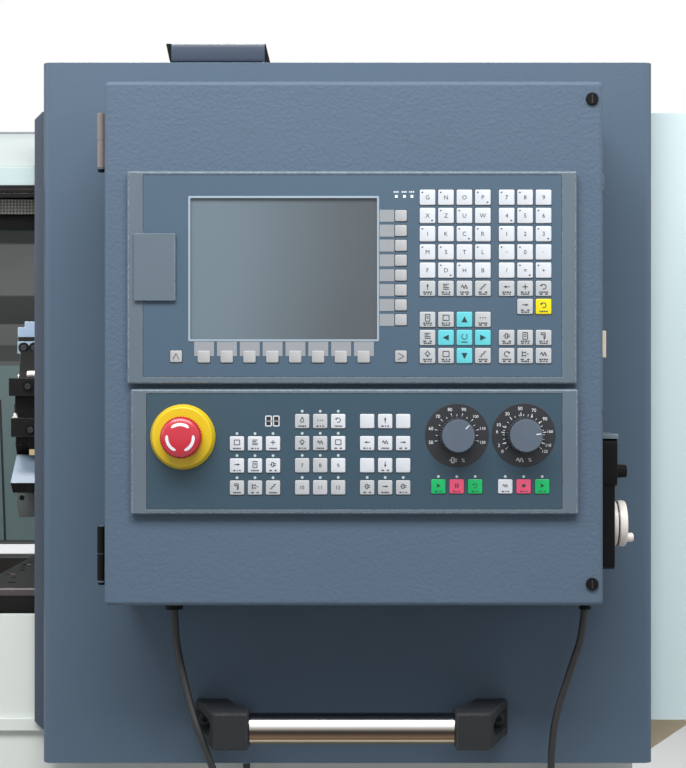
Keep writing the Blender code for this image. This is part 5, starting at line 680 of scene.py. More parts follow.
def dot_tree():
    """A field of small raised dots over a grid of columns and rows."""
    if "dot_field" in bpy.data.node_groups:
        return bpy.data.node_groups["dot_field"]
    tree, entry, leave = new_shape_tree("dot_field", (("Width", 0.5), ("Height", 0.01), ("Columns", 200), ("Rows", 4),
        ("Dot", 0.0008), ("Finish", "Material")))
    grid = node(tree, "GeometryNodeMeshGrid")
    bead = node(tree, "GeometryNodeMeshUVSphere", (("Segments", 6), ("Rings", 3)))
    spread = node(tree, "GeometryNodeInstanceOnPoints")
    wire(tree, (entry, "Width", grid, "Size X"), (entry, "Height", grid, "Size Y"),
         (entry, "Columns", grid, "Vertices X"), (entry, "Rows", grid, "Vertices Y"),
         (entry, "Dot", bead, "Radius"), (grid, 0, spread, "Points"), (bead, 0, spread, "Instance"))
    return close_tree(tree, entry, leave, spread)


def run_tree(name, tree, places, values, body, turns=None, move=None, replaces=(), smooth=38.0):
    """Runs a tree on points and turns its result into a plain mesh that rides on a body."""
    cloud = bpy.data.meshes.new(name)
    cloud.from_pydata([tuple(place) for place in places], [], [])
    if turns:
        angles = cloud.attributes.new("turn", "FLOAT_VECTOR", "POINT")
        for index, turn in enumerate(turns):
            angles.data[index].vector = turn
    holder = bpy.data.objects.new(name, cloud)
    bpy.context.scene.collection.objects.link(holder)
    modifier = holder.modifiers.new("tree", "NODES")
    modifier.node_group = tree
    sockets = {item.name: item.identifier for item in tree.interface.items_tree if item.in_out == "INPUT"}
    for label, value in values.items():
        modifier[sockets[label]] = value
    graph = bpy.context.evaluated_depsgraph_get()
    made = bpy.data.meshes.new_from_object(holder.evaluated_get(graph))
    holder.modifiers.remove(modifier)
    bpy.data.objects.remove(holder)
    if len(made.polygons) == 0:
        raise RuntimeError(f"{name}: the tree made nothing")
    if move is not None:
        made.transform(move)
    made.name = name
    return close_mesh(name, made, values["Finish"], body, replaces, smooth, False)


def template(name, bm):
    """A small part about the origin, facing +Z, for the trees."""
    mesh = bpy.data.meshes.new(name)
    bm.to_mesh(mesh)
    bm.free()
    item = bpy.data.objects.new(name, mesh)
    bpy.context.scene.collection.objects.link(item)
    return item


def drop(item):
    bpy.data.objects.remove(item, do_unlink=True)


def local_ring(radius, height, count):
    return [Vector((radius * math.cos(2 * math.pi * i / count), radius * math.sin(2 * math.pi * i / count), height))
            for i in range(count)]


def socket_screw(radius, height):
    """Cap screw with a six-sided socket, its head standing on the origin."""
    bm = bmesh.new()
    count = 24
    hexagon = []
    for index in range(count):
        angle = 2 * math.pi * index / count
        corner = math.cos(math.pi / 6) / math.cos((angle % (math.pi / 3)) - math.pi / 6)
        reach = radius * 0.52 * corner
        hexagon.append((reach * math.cos(angle), reach * math.sin(angle)))
    loops = [local_ring(radius, 0.0, count), local_ring(radius, height * 0.86, count),
        local_ring(radius * 0.94, height, count), [Vector((x, y, height)) for x, y in hexagon],
        [Vector((x, y, height * 0.35)) for x, y in hexagon]]
    skin(bm, loops)
    return bm


def button_screw(radius, height):
    """Low round-headed screw with a cross recess, its head standing on the origin."""
    bm = bmesh.new()
    count = 20
    loops = [local_ring(radius, 0.0, count), local_ring(radius * 0.97, height * 0.35, count),
        local_ring(radius * 0.78, height * 0.8, count), local_ring(radius * 0.45, height, count),
        local_ring(radius * 0.34, height, count), local_ring(radius * 0.26, height * 0.45, count)]
    skin(bm, loops)
    return bm


QUARTER = math.radians(90)
FACING = {"-Y": (QUARTER, 0.0, 0.0), "+Y": (-QUARTER, 0.0, 0.0), "+X": (QUARTER, 0.0, QUARTER),
    "-X": (QUARTER, 0.0, -QUARTER), "+Z": (0.0, 0.0, 0.0)}


def small_parts(name, form, places, facing, finish, body):
    """Copies of one small part on the lathe, each facing the same way."""
    part = template(f"{name}_one", form)
    made = run_tree(name, part_tree(), [at(*place) for place in places], {"Part": part, "Size": 1.0, "Finish": finish},
        body, [FACING[facing]] * len(places))
    drop(part)
    return made


# Marks and letters

def glyph_mesh(text, size):
    """Flat letters as a mesh in the XY plane, centred on the origin."""
    curve = bpy.data.curves.new("glyph", "FONT")
    curve.body = text
    curve.size = size
    curve.resolution_u = 3
    curve.extrude = 0.00004
    holder = bpy.data.objects.new("glyph", curve)
    bpy.context.scene.collection.objects.link(holder)
    graph = bpy.context.evaluated_depsgraph_get()
    mesh = bpy.data.meshes.new_from_object(holder.evaluated_get(graph))
    bpy.data.objects.remove(holder)
    bpy.data.curves.remove(curve)
    xs = [vertex.co.x for vertex in mesh.vertices]
    ys = [vertex.co.y for vertex in mesh.vertices]
    middle = Vector(((min(xs) + max(xs)) / 2, (min(ys) + max(ys)) / 2, 0.0))
    mesh.transform(Matrix.Translation(-middle))
    return mesh


def letters(bm, entries, depth):
    """Letters at (text, x, z, size, turn) on a face that looks towards -Y."""
    made = {}
    for text, x, z, size, turn in entries:
        if (text, size) not in made:
            made[(text, size)] = glyph_mesh(text, size)
        mesh = made[(text, size)].copy()
        place = Matrix.Translation(at(x, depth, z)) @ Euler((math.radians(90), 0, 0)).to_matrix().to_4x4()
        mesh.transform(place @ Matrix.Rotation(math.radians(-turn), 4, "Z"))
        bm.from_mesh(mesh)
        bpy.data.meshes.remove(mesh)
    for mesh in made.values():
        bpy.data.meshes.remove(mesh)


def flat_form(bm, start, end, width, depth, rise, pointed):
    """A thin bar or arrow head between two (x, z) places on a face that looks towards -Y."""
    a, b = Vector((start[0], 0.0, start[1])), Vector((end[0], 0.0, end[1]))
    line = b - a
    side = Vector((-line.z, 0.0, line.x)).normalized() * width / 2
    corners = (a - side, b, a + side) if pointed else (a - side, b - side, b + side, a + side)
    skin(bm, [[at(place.x, level, place.z) for place in corners] for level in (depth, depth - rise)])


def stroke(bm, start, end, width, depth, rise=0.00004):
    """A thin bar between two places."""
    flat_form(bm, start, end, width, depth, rise, False)


def wedge_mark(bm, tip, tail, width, depth, rise=0.00005):
    """A small arrow head from its tail to its tip."""
    flat_form(bm, tail, tip, width, depth, rise, True)


def patch(bm, low_x, low_z, high_x, high_z, depth, rise=0.00004):
    """A thin rectangle on a face that looks towards -Y."""
    stroke(bm, (low_x, (low_z + high_z) / 2), (high_x, (low_z + high_z) / 2), high_z - low_z, depth, rise)


def polar(centre, radius, angle):
    """The (x, z) place at a radius from a centre, its angle in degrees clockwise from up."""
    angle = math.radians(angle)
    return centre[0] + radius * math.sin(angle), centre[1] + radius * math.cos(angle)


def arc_mark(bm, centre, radius, start, end, width, depth, steps=14):
    """An arc of small bars, with angles in degrees clockwise from up."""
    places = [polar(centre, radius, start + (end - start) * step / steps) for step in range(steps + 1)]
    for first, second in zip(places, places[1:]):
        stroke(bm, first, second, width, depth)


def disc_mark(bm, centre, radius, depth, rise=0.00004, count=28):
    """A thin disc on a face that looks towards -Y."""
    lathe_form(bm, "Y", at(centre[0], 0.0, centre[1]), [(radius, depth), (radius, depth - rise)], count)


def frame_plate(bm, outer, inner, back, face, outer_corner, inner_corner, edge):
    """A plate in the XZ plane with a window, facing -Y; outer and inner are low x, low z, high x, high z."""
    def loop(rectangle, corner, grow, depth):
        low_x, low_z, high_x, high_z = rectangle
        places = outline(low_x - grow, low_z - grow, high_x + grow, high_z + grow, max(corner + grow, 0.0001))
        return [at(x, depth, z) for x, z in places]

    loops = [loop(outer, outer_corner, 0.0, back)]
    for step in range(4):
        angle = math.radians(30 * step)
        loops.append(loop(outer, outer_corner, -edge * (1 - math.cos(angle)), face + edge * (1 - math.sin(angle))))
    loops.append(loop(inner, inner_corner, edge * 0.6, face))
    loops.append(loop(inner, inner_corner, 0.0, face + edge * 0.6))
    loops.append(loop(inner, inner_corner, 0.0, back))
    made = skin(bm, loops, False, True)
    count = len(loops[0])
    mark_edges(bm, made[count:count * 4])


# Places of the operator units

UNIT_FACE = -0.628
DISPLAY_CORNER = (0.1564, 1.3559)
CONTROL_CORNER = (0.1597, 1.1523)
SCREEN = (0.0588, 0.0252, 0.2337, 0.1577)
KEY = (0.0145, 0.0143)
STOP_CENTRE = (0.2087, 1.1077)
KNOBS = {"spindle_override_knob": ((0.4642, 1.1091), 45.0), "feed_override_knob": ((0.5265, 1.1094), 82.5)}
DIAL_RADIUS = 0.0297
DIAL_FACE = -0.6286


def on_display(x, down):
    return DISPLAY_CORNER[0] + x, DISPLAY_CORNER[1] - down


def on_control(x, down):
    return CONTROL_CORNER[0] + x, CONTROL_CORNER[1] - down


def letter_key(column, row):
    return 0.2732 + 0.0172 * column, 0.0177 + 0.017 * row


def number_key(column, row):
    return 0.347 + 0.0172 * column, 0.0177 + 0.017 * row


def arrow_key(column, row, number=False):
    left = 0.347 if number else 0.2732
    return left + 0.0172 * column, 0.1316 + 0.0169 * row


LETTERS = (("G", "N", "O", "P"), ("X", "Z", "U", "W"), ("I", "K", "C", "R"), ("M", "S", "T", "L"), ("F", "D", "H", "B"))
NUMBERS = (("7", "8", "9"), ("4", "5", "6"), ("1", "2", "3"), ("-", "0", "."), ("/", "=", "+"))
CYAN = ((2, 0), (1, 1), (2, 1), (3, 1), (2, 2))


def display_keys():
    """Key places of the display unit, grouped by finish: left and distance down."""
    groups = {"key_white": [], "key_grey": [], "key_cyan": [], "key_yellow": [], "key_soft": [], "key_low": [],
        "key_page": []}
    for row in range(5):
        groups["key_white"] += [letter_key(column, row) for column in range(4)]
        groups["key_white"] += [number_key(column, row) for column in range(3)]
    groups["key_grey"] += [letter_key(column, 5) for column in range(4)]
    groups["key_grey"] += [number_key(column, 5) for column in range(3)]
    groups["key_grey"].append((0.347 + 0.0172, 0.1195))
    groups["key_yellow"].append((0.347 + 0.0344, 0.1195))
    for row in range(3):
        for column in range(4):
            groups["key_cyan" if (column, row) in CYAN else "key_grey"].append(arrow_key(column, row))
    for row in (1, 2):
        groups["key_grey"] += [arrow_key(column, row, True) for column in range(3)]
    groups["key_soft"] = [(0.2502, 0.0368 + 0.01387 * index) for index in range(8)]
    groups["key_low"] = [(0.0661 + 0.0213 * index, 0.168) for index in range(8)]
    groups["key_page"] = [(0.0405, 0.1677), (0.2502, 0.1677)]
    return groups


KEY_SIZES = {"key_soft": (0.0109, 0.0104), "key_low": (0.0115, 0.011), "key_page": (0.0109, 0.0109)}


def key_caps(name, places, place_on, size, finish, body):
    """Key caps of one size and finish; places are their upper left corners."""
    sizes = bpy.context.scene.lathe_sizes
    width, height = size
    points, gap_shade = [], bmesh.new()
    for x, down in places:
        left, top = place_on(x, down)
        points.append(at(left + width / 2, UNIT_FACE + 0.0001, top - height / 2))
        # A dark patch a little larger than each cap: painted shade round the key
        patch(gap_shade, left - 0.0005, top - height - 0.0006, left + width + 0.0005, top + 0.0004, UNIT_FACE, 0.00002)
    close_piece(f"{name}_gaps", gap_shade, bpy.data.materials["key_gap_finish"], body, weighted=False)
    return run_tree(name, key_cap_tree(), points, {"Width": width, "Height": height, "Thickness": sizes.key_height,
        "Corner": sizes.key_corner, "Finish": finish}, body)


# Small pictures on the function keys

def caption(bm, x, z, width, depth, order=0):
    """A row of small bits, like the fine print under a picture."""
    shares = ((0.22, 0.16, 0.26, 0.18), (0.3, 0.14, 0.2), (0.16, 0.24, 0.18, 0.22), (0.34, 0.28))[order % 4]
    room = 1.0 - sum(shares)
    step = room / (len(shares) - 1) if len(shares) > 1 else 0.0
    left = x - width / 2
    for share in shares:
        patch(bm, left, z - 0.0006, left + share * width, z + 0.0006, depth)
        left += (share + step) * width


# Key pictures in halves of their square: lines as x, z pairs, or a named form with its values
PICTURES = {"frame": ((-0.8, 0.7, 0.8, 0.7, 0.8, -0.7, -0.8, -0.7, -0.8, 0.7),),
    "page": ((-0.6, 0.9, 0.6, 0.9, 0.6, -0.9, -0.6, -0.9, -0.6, 0.9), (-0.3, 0.35, 0.3, 0.35), (-0.3, -0.1, 0.3, -0.1)),
    "rows": ((-0.8, 0.7, 0.8, 0.7), (-0.8, 0.25, 0.3, 0.25), (-0.8, -0.2, 0.8, -0.2), (-0.8, -0.65, 0.8, -0.65)),
    "rise": ((0.0, -0.8, 0.0, 0.2), ("head", 0.0, 0.1, 0.0, 0.9, 0.7)), "fall": ((0.0, 0.8, 0.0, -0.2),
    ("head", 0.0, -0.1, 0.0, -0.9, 0.7)), "left": ((0.8, 0.0, -0.2, 0.0), ("head", -0.1, 0.0, -0.9, 0.0, 0.7)),
    "right": ((-0.8, 0.0, 0.2, 0.0), ("head", 0.1, 0.0, 0.9, 0.0, 0.7)), "turn": (("arc", 0.0, 0.65, -60, 210, 10),
    ("head", -0.75, 0.2, -0.35, 0.75, 0.6)), "back_turn": (("arc", 0.0, 0.65, 60, -210, 10),
    ("head", 0.75, 0.2, 0.35, 0.75, 0.6)), "cross": ((-0.7, 0.0, 0.7, 0.0), (0.0, -0.7, 0.0, 0.7)),
    "wave": ((-0.9, -0.2, -0.5, 0.5, -0.1, -0.5, 0.3, 0.5, 0.7, -0.2), ("head", 0.45, -0.4, 0.95, -0.4, 0.4)),
    "steps": ((-0.9, -0.6, -0.3, -0.6, -0.3, 0.0, 0.3, 0.0, 0.3, 0.6, 0.9, 0.6),),
    "spindle": ((-0.9, 0.0, -0.4, 0.0), (-0.4, 0.6, -0.4, -0.6, 0.2, -0.6, 0.2, 0.6, -0.4, 0.6), (0.2, 0.25, 0.9, 0.25),
    (0.2, -0.25, 0.9, -0.25)), "lamp": (("arc", 0.1, 0.5, 0, 360, 12), (0.0, 0.8, 0.0, 1.0), (-0.75, 0.1, -0.95, 0.1),
    (0.75, 0.1, 0.95, 0.1), (-0.25, -0.65, 0.25, -0.65)), "drop": ((-0.45, 0.0, 0.0, 0.9, 0.45, 0.0),
    ("arc", -0.15, 0.48, 75, 285, 9)), "dots": (("disc", -0.7, 0.176, 10), ("disc", 0.0, 0.176, 10),
    ("disc", 0.7, 0.176, 10)), "tool": ((0.4, 0.8, -0.7, 0.8, -0.7, 0.3, 0.1, 0.3, 0.1, -0.9, 0.4, -0.6, 0.4, 0.8), ),
    "clamp": ((-0.8, 0.8, -0.8, -0.8), (-0.8, 0.4, 0.1, 0.4), (-0.8, -0.4, 0.1, -0.4), (0.1, 0.7, 0.1, 0.2),
    (0.1, -0.7, 0.1, -0.2), (0.4, 0.0, 0.9, 0.0)), "play": (("head", -0.5, 0.0, 0.7, 0.0, 1.5),),
    "stop": (("bar", 1.0, -0.55, 0.0, 0.55, 0.0),), "pause": (("bar", 0.396, -0.35, 0.7, -0.35, -0.7),
    ("bar", 0.396, 0.35, 0.7, 0.35, -0.7)),}
LINE_WIDTH = 0.22


def picture(bm, kind, x, z, size, depth):
    """A generic picture on a key, inside a square of one size."""
    half = size / 2

    def spot(across, up):
        return x + across * half, z + up * half

    for form in PICTURES[kind]:
        name, *values = form if isinstance(form[0], str) else ("bar", LINE_WIDTH, *form)
        if name == "bar":
            width, *places = values
            spots = [spot(*pair) for pair in zip(places[::2], places[1::2])]
            for first, second in zip(spots, spots[1:]):
                stroke(bm, first, second, width * half, depth)
        elif name == "head":
            wedge_mark(bm, spot(*values[2:4]), spot(*values[:2]), values[4] * half, depth)
        elif name == "arc":
            up, radius, start, end, steps = values
            arc_mark(bm, spot(0.0, up), radius * half, start, end, LINE_WIDTH * half, depth, steps)
        else:
            across, radius, count = values
            disc_mark(bm, spot(across, 0.0), radius * half, depth, count=count)


# The stage

def make_camera():
    data = bpy.data.cameras.new("camera")
    data.sensor_width = 36.0
    data.lens = 80.4
    data.clip_start = 0.05
    data.clip_end = 60.0
    camera = bpy.data.objects.new("camera", data)
    camera.location = at(0.358, -2.228, 1.157)
    camera.rotation_euler = (math.radians(90), 0.0, 0.0)
    bpy.context.scene.collection.objects.link(camera)
    bpy.context.scene.camera = camera


def seen_plainly(tree):
    """A node that gives 1 to the camera and to what metal and glass mirror, and 0 to other light."""
    ways = node(tree, "ShaderNodeLightPath")
    mirrored = maths(tree, "ADD")
    seen = maths(tree, "ADD", use_clamp=True)
    wire(tree, (ways, "Is Glossy Ray", mirrored, 0), (ways, "Is Transmission Ray", mirrored, 1),
         (ways, "Is Camera Ray", seen, 0), (mirrored, 0, seen, 1))
    return seen


def make_floor():
    bm = bmesh.new()
    bm.faces.new([bm.verts.new((x, y, 0.0)) for x, y in ((-12, -12), (12, -12), (12, 12), (-12, 12))])
    mesh = bpy.data.meshes.new("floor")
    bm.to_mesh(mesh)
    bm.free()
    floor = bpy.data.objects.new("floor", mesh)
    bpy.context.scene.collection.objects.link(floor)
    made, tree, surface = new_finish("floor_pale", (("Roughness", 0.7),))
    grain = node(tree, "ShaderNodeTexNoise", _2=3.0, _3=4.0)
    place = node(tree, "ShaderNodeTexCoord")
    tone = node(tree, "ShaderNodeMapRange", _3=0.8, _4=0.86)
    level = node(tree, "ShaderNodeMapRange", _3=0.5, _4=1.0)
    shade = maths(tree, "MULTIPLY")
    wire(tree, (seen_plainly(tree), 0, level, 0), (place, "Object", grain, "Vector"), (grain, "Fac", tone, 0),
         (tone, 0, shade, 0), (level, 0, shade, 1), (shade, 0, surface, "Base Color"))
    mesh.materials.append(made)


def make_sky():
    """Soft light from all round; the camera and mirrors see it as plain white."""
    world = bpy.data.worlds.new("sky")
    bpy.context.scene.world = world
    world.use_nodes = True
    tree = world.node_tree
    tree.nodes.clear()
    light = node(tree, "ShaderNodeBackground", _0=(0.96, 0.98, 1.0, 1.0), _1=bpy.context.scene.lathe_sizes.sky)
    white = node(tree, "ShaderNodeBackground", _0=(1.0, 1.0, 1.0, 1.0), _1=1.0)
    mixed = node(tree, "ShaderNodeMixShader")
    leave = node(tree, "ShaderNodeOutputWorld")
    wire(tree, (seen_plainly(tree), 0, mixed, 0), (light, 0, mixed, 1), (white, 0, mixed, 2), (mixed, 0, leave, 0))


def make_lamp(name, place, target, size, power):
    data = bpy.data.lights.new(name, "AREA")
    data.shape = "RECTANGLE"
    data.size, data.size_y = size
    data.energy = power
    lamp = bpy.data.objects.new(name, data)
    lamp.location = at(*place)
    lamp.rotation_euler = (at(*target) - at(*place)).to_track_quat("-Z", "Y").to_euler()
    bpy.context.scene.collection.objects.link(lamp)


def make_stage():
    sizes = bpy.context.scene.lathe_sizes
    make_camera()
    make_floor()
    make_sky()
    for row in (("lamp_above", (0.2, -1.8, 2.75), (0.3, -0.3, 1.2), (2.2, 0.8), sizes.key_light),
                ("lamp_left", (-2.6, -1.5, 2.3), (0.0, -0.4, 1.1), (1.2, 1.6), sizes.fill_light),
                ("lamp_right", (3.0, -1.3, 2.3), (0.3, -0.3, 1.1), (1.2, 1.6), sizes.fill_light),
                ("lamp_inside", (-0.16, -0.34, 1.33), (-0.12, 0.2, 1.0), (0.4, 0.06), 1.7),
                ("lamp_behind", (0.2, 3.0, 2.8), (0.0, 0.3, 0.8), (2.4, 1.2), sizes.key_light * 0.9)):
        make_lamp(*row)


# Enclosure and base

def louvres(name, places, length, facing, finish, body, slot):
    """Pressed louvre slats: low hoods with a slanting lip, one at each place."""
    bm = bmesh.new()
    steps = 6
    loops = []
    for share in (-0.5, -0.47, 0.47, 0.5):
        full = 1.0 if abs(share) < 0.48 else 0.2
        section = []
        for step in range(steps + 1):
            angle = math.radians(180 * step / steps)
            section.append(Vector((share * length, -0.006 * math.cos(angle), 0.0028 * full * math.sin(angle))))
        loops.append(section)
    skin(bm, loops)
    return small_parts(name, bm, places, facing, finish, body)


def panel_marks(name, facing, level, low, high, kit, body, slot, screws=True):
    """A bolted-on panel: a thin seam round it and screws along its edge; low and high are (across, up)."""
    bm = bmesh.new()
    gap, inset = 0.0024, 0.018
    near = level + (0.0004 if facing[0] == "+" else -0.0004)
    first, last = min(level, near), max(level, near)

    def place(across, up, depth):
        return (depth, across, up) if facing[1] == "X" else (across, depth, up)

    for a, b, c, d in ((low[0], low[1], high[0], low[1] + gap), (low[0], high[1] - gap, high[0], high[1]),
                       (low[0], low[1], low[0] + gap, high[1]), (high[0] - gap, low[1], high[0], high[1])):
        block(bm, place(a, b, first), place(c, d, last))
    close_piece(f"{name}_seam", bm, kit["seam"], body, weighted=False)
    if screws:
        middle = (low[0] + high[0]) / 2
        spots = [place(across, up, level) for across in (low[0] + inset, middle, high[0] - inset)
            for up in (low[1] + inset, high[1] - inset)]
        small_parts(f"{name}_screws", button_screw(0.0046, 0.001), spots, facing, kit["screw_dark"], body)


def ended_guard(name, side, kit):
    """An end guard whose outer sheet sits back by the height of the screw heads on it."""
    bm = node_copy(name)
    limit = max(side * vertex.co.x for vertex in bm.verts)
    for vertex in bm.verts:
        if side * vertex.co.x > limit - 0.0001:
            vertex.co.x -= side * 0.0012
    round_edges(bm, 0.001, 2, 35.0)
    close_piece(f"{name}_shell", bm, kit["pale"], BODY_OF[name], (name,))


def build_enclosure(kit):
    dress(kit, ("base_cabinet", "grey", 0.0016), ("chip_pan", "pan", 0.0008))
    ended_guard("left_guard", -1, kit)
    ended_guard("right_guard", 1, kit)
    dress(kit, ("roof_panel", "roof", 0.0008), ("rear_guard", "inner", 0.0008), ("front_apron", "grey", 0.001))
    close_piece("rear_wall_panel", [(block, (-0.408, 0.2781, 0.929), (0.215, 0.2789, 1.184), 0.0003, 1)],
        kit["green_grey"], "machine")
    # The ledge's finish emits light: a painted reflection
    close_piece("rear_wall_ledge", [(prism_form, "X", ((0.2772, 0.9224), (0.2673, 0.91), (0.2662, 0.9108),
        (0.2761, 0.9232)), -0.415, 0.73)], kit["ledge"], "machine")
    # Dark brown sheet below the ledge: painted shade of the hollow behind the slide
    close_piece("rear_wall_foot", [(block, (-0.415, 0.2622, 0.823), (0.73, 0.2632, 0.9045), 0.0003, 1)],
        kit["floor_brown"], "machine")
    close_piece("rear_wall_seam", [(stroke, (-0.143, 1.134), (-0.1356, 0.929), 0.0032, 0.278, 0.0008)], kit["strip"],
        "machine")


def build_panels(kit):
    """Header lip, outer rear sheet and the service panels of the sides that the photograph doesn't show."""
    close_piece("header_lip", [(block, (-0.419, -0.4557, 1.3624), (0.114, -0.4549, 1.3806), 0.0002, 1)], kit["lip"],
        "machine")
    close_piece("header_seam", [(block, (-0.419, -0.3385, 1.4326), (0.114, -0.335, 1.4348), 0.0003, 1)], kit["seam"],
        "machine")
    close_piece("rear_sheet", [(block, (-0.4185, 0.3003, 0.837), (0.7375, 0.3018, 1.43), 0.0004, 1)], kit["pale"],
        "machine")
    pale, grey = ("machine", "pale_paint"), ("machine", "machine_grey")
    for name, facing, level, low, high, ride in (
        ("left_end", "-X", -0.8988, (-0.4, 0.88), (0.25, 1.39), pale),
        ("left_front", "-Y", -0.455, (-0.87, 0.94), (-0.46, 1.4), pale),
        ("left_rear", "+Y", 0.297, (-0.872, 0.88), (-0.625, 1.39), pale),
        ("right_end", "+X", 0.7438, (-0.4, 0.88), (0.25, 1.39), pale),
        ("right_rear", "+Y", 0.3018, (0.44, 0.88), (0.715, 1.39), pale),
        ("base_left", "-X", -0.86, (-0.35, 0.13), (0.53, 0.61), grey),
        ("base_right", "+X", 0.657, (-0.35, 0.13), (0.53, 0.61), grey),
        ("base_rear_left", "+Y", 0.6, (-0.8, 0.13), (-0.13, 0.61), grey),
        ("base_rear_right", "+Y", 0.6, (-0.08, 0.13), (0.6, 0.61), grey)):
        panel_marks(name, facing, level, low, high, kit, *ride)
    rows = [0.2 + 0.026 * row for row in range(8)]
    louvres("base_louvres_left", [(-0.86, y, z) for y in (-0.1, 0.28) for z in rows], 0.16, "-X", kit["grey"], *grey)
    louvres("base_louvres_right", [(0.657, y, z) for y in (-0.1, 0.28) for z in rows], 0.16, "+X", kit["grey"], *grey)
    louvres("base_louvres_rear", [(x, 0.6, z) for x in (-0.46, 0.26) for z in rows], 0.2, "+Y", kit["grey"], *grey)
    # Vent slots drawn as thin black bars: painted shade
    bm = bmesh.new()
    for row in range(9):
        block(bm, (0.7438, -0.06, 1.06 + 0.02 * row), (0.7442, 0.08, 1.066 + 0.02 * row))
    close_piece("right_end_slots", bm, kit["bore"], "machine", weighted=False)


def build_rails(kit):
    dress(kit, ("upper_rail", "rail", 0.0005), ("work_lamp", "black", 0.0006))
    sizes = bpy.context.scene.lathe_sizes
    close_piece("lamp_screen", [(block, (-0.398, -0.4404, 1.334), (0.1105, -0.4398, 1.3496), 0.0002, 1)],
        kit["lamp_screen"], "machine")
    middle = at(-0.144, -0.4405, 1.3418)
    place = Matrix.Translation(middle) @ Euler((math.radians(90), 0, 0)).to_matrix().to_4x4()
    run_tree("lamp_dots", dot_tree(), [(0, 0, 0)], {"Width": 0.504, "Height": 0.013, "Columns": 150, "Rows": 5,
        "Dot": sizes.lamp_dot, "Finish": kit["dot"]}, "machine", move=place)


# Bed, spindle and turret

def build_drive(kit):
    dress(kit, ("bed", "iron", 0.0015), ("headstock", "grey", 0.003), ("spindle", "steel", 0.0008),
        ("chuck_body", "steel", 0.0008))
    for number in (1, 2, 3):
        dress(kit, (f"chuck_jaw_{number}", "steel", 0.0008))
    dress(kit, ("spindle_motor", "motor", 0.001), ("z_servo_motor", "motor", 0.0012), ("saddle", "iron", 0.0015),
        ("tailstock_body", "grey", 0.0025), ("quill", "steel", 0.0006))
    bolts = []
    for x in (-0.76, -0.64, -0.52, -0.48):
        bolts += [(x, -0.146, 0.8903), (x, 0.146, 0.8903)]
    small_parts("headstock_bolts", socket_screw(0.0075, 0.007), bolts, "+Z", kit["screw_black"], "machine")
    places = [(-0.335, *polar((0.0, 1.12), 0.062, 60 * index + 30)) for index in range(6)]
    small_parts("chuck_bolts", socket_screw(0.0052, 0.0016), places, "+X", kit["screw_black"], "main_spindle")


def solid_through(bm, loops, edge=0.0, segments=2):
    """A solid through outlines of equally many places, with rounded edges."""
    part = bmesh.new()
    skin(part, [[at(*place) for place in loop] for loop in loops])
    if edge:
        round_edges(part, edge, segments)
    join_into(bm, part)


def level_loop(left, right, front, back, level):
    """A rectangle at one height."""
    return ((left, front, level), (right, front, level), (right, back, level), (left, back, level))


def build_disc(kit):
    """Eight-sided turret disc, drawn in at its upper front corner, with a hub and its bolts."""
    bm = bmesh.new()
    lefts = (-0.0166, -0.0175, -0.0175, -0.011, -0.0147, -0.0166, -0.0166, -0.0166)
    loops = [[], []]
    for index, left in enumerate(lefts):
        angle = math.radians(22.5 + 45 * index)
        y, z = -0.2 + 0.0844 * math.cos(angle), 1.12 + 0.0844 * math.sin(angle)
        loops[0].append((left, y, z))
        loops[1].append((0.014, y, z))
    solid_through(bm, loops, 0.001)
    hub = at(-0.0166, -0.2, 1.12)
    lathe_form(bm, "X", Vector((0, hub.y, hub.z)), [(0.034, hub.x + 0.002), (0.034, hub.x - 0.004),
        (0.031, hub.x - 0.006), (0.018, hub.x - 0.006), (0.016, hub.x - 0.012), (0.006, hub.x - 0.013)], 40)
    close_piece("turret_disc_shell", bm, kit["rail"], "turret", ("turret_disc",))
    bolts = [(-0.0166, *polar((-0.2, 1.12), 0.052, 90 - 60 * index)) for index in range(6)]
    small_parts("disc_bolts", socket_screw(0.0048, 0.004), bolts, "-X", kit["screw"], "turret")


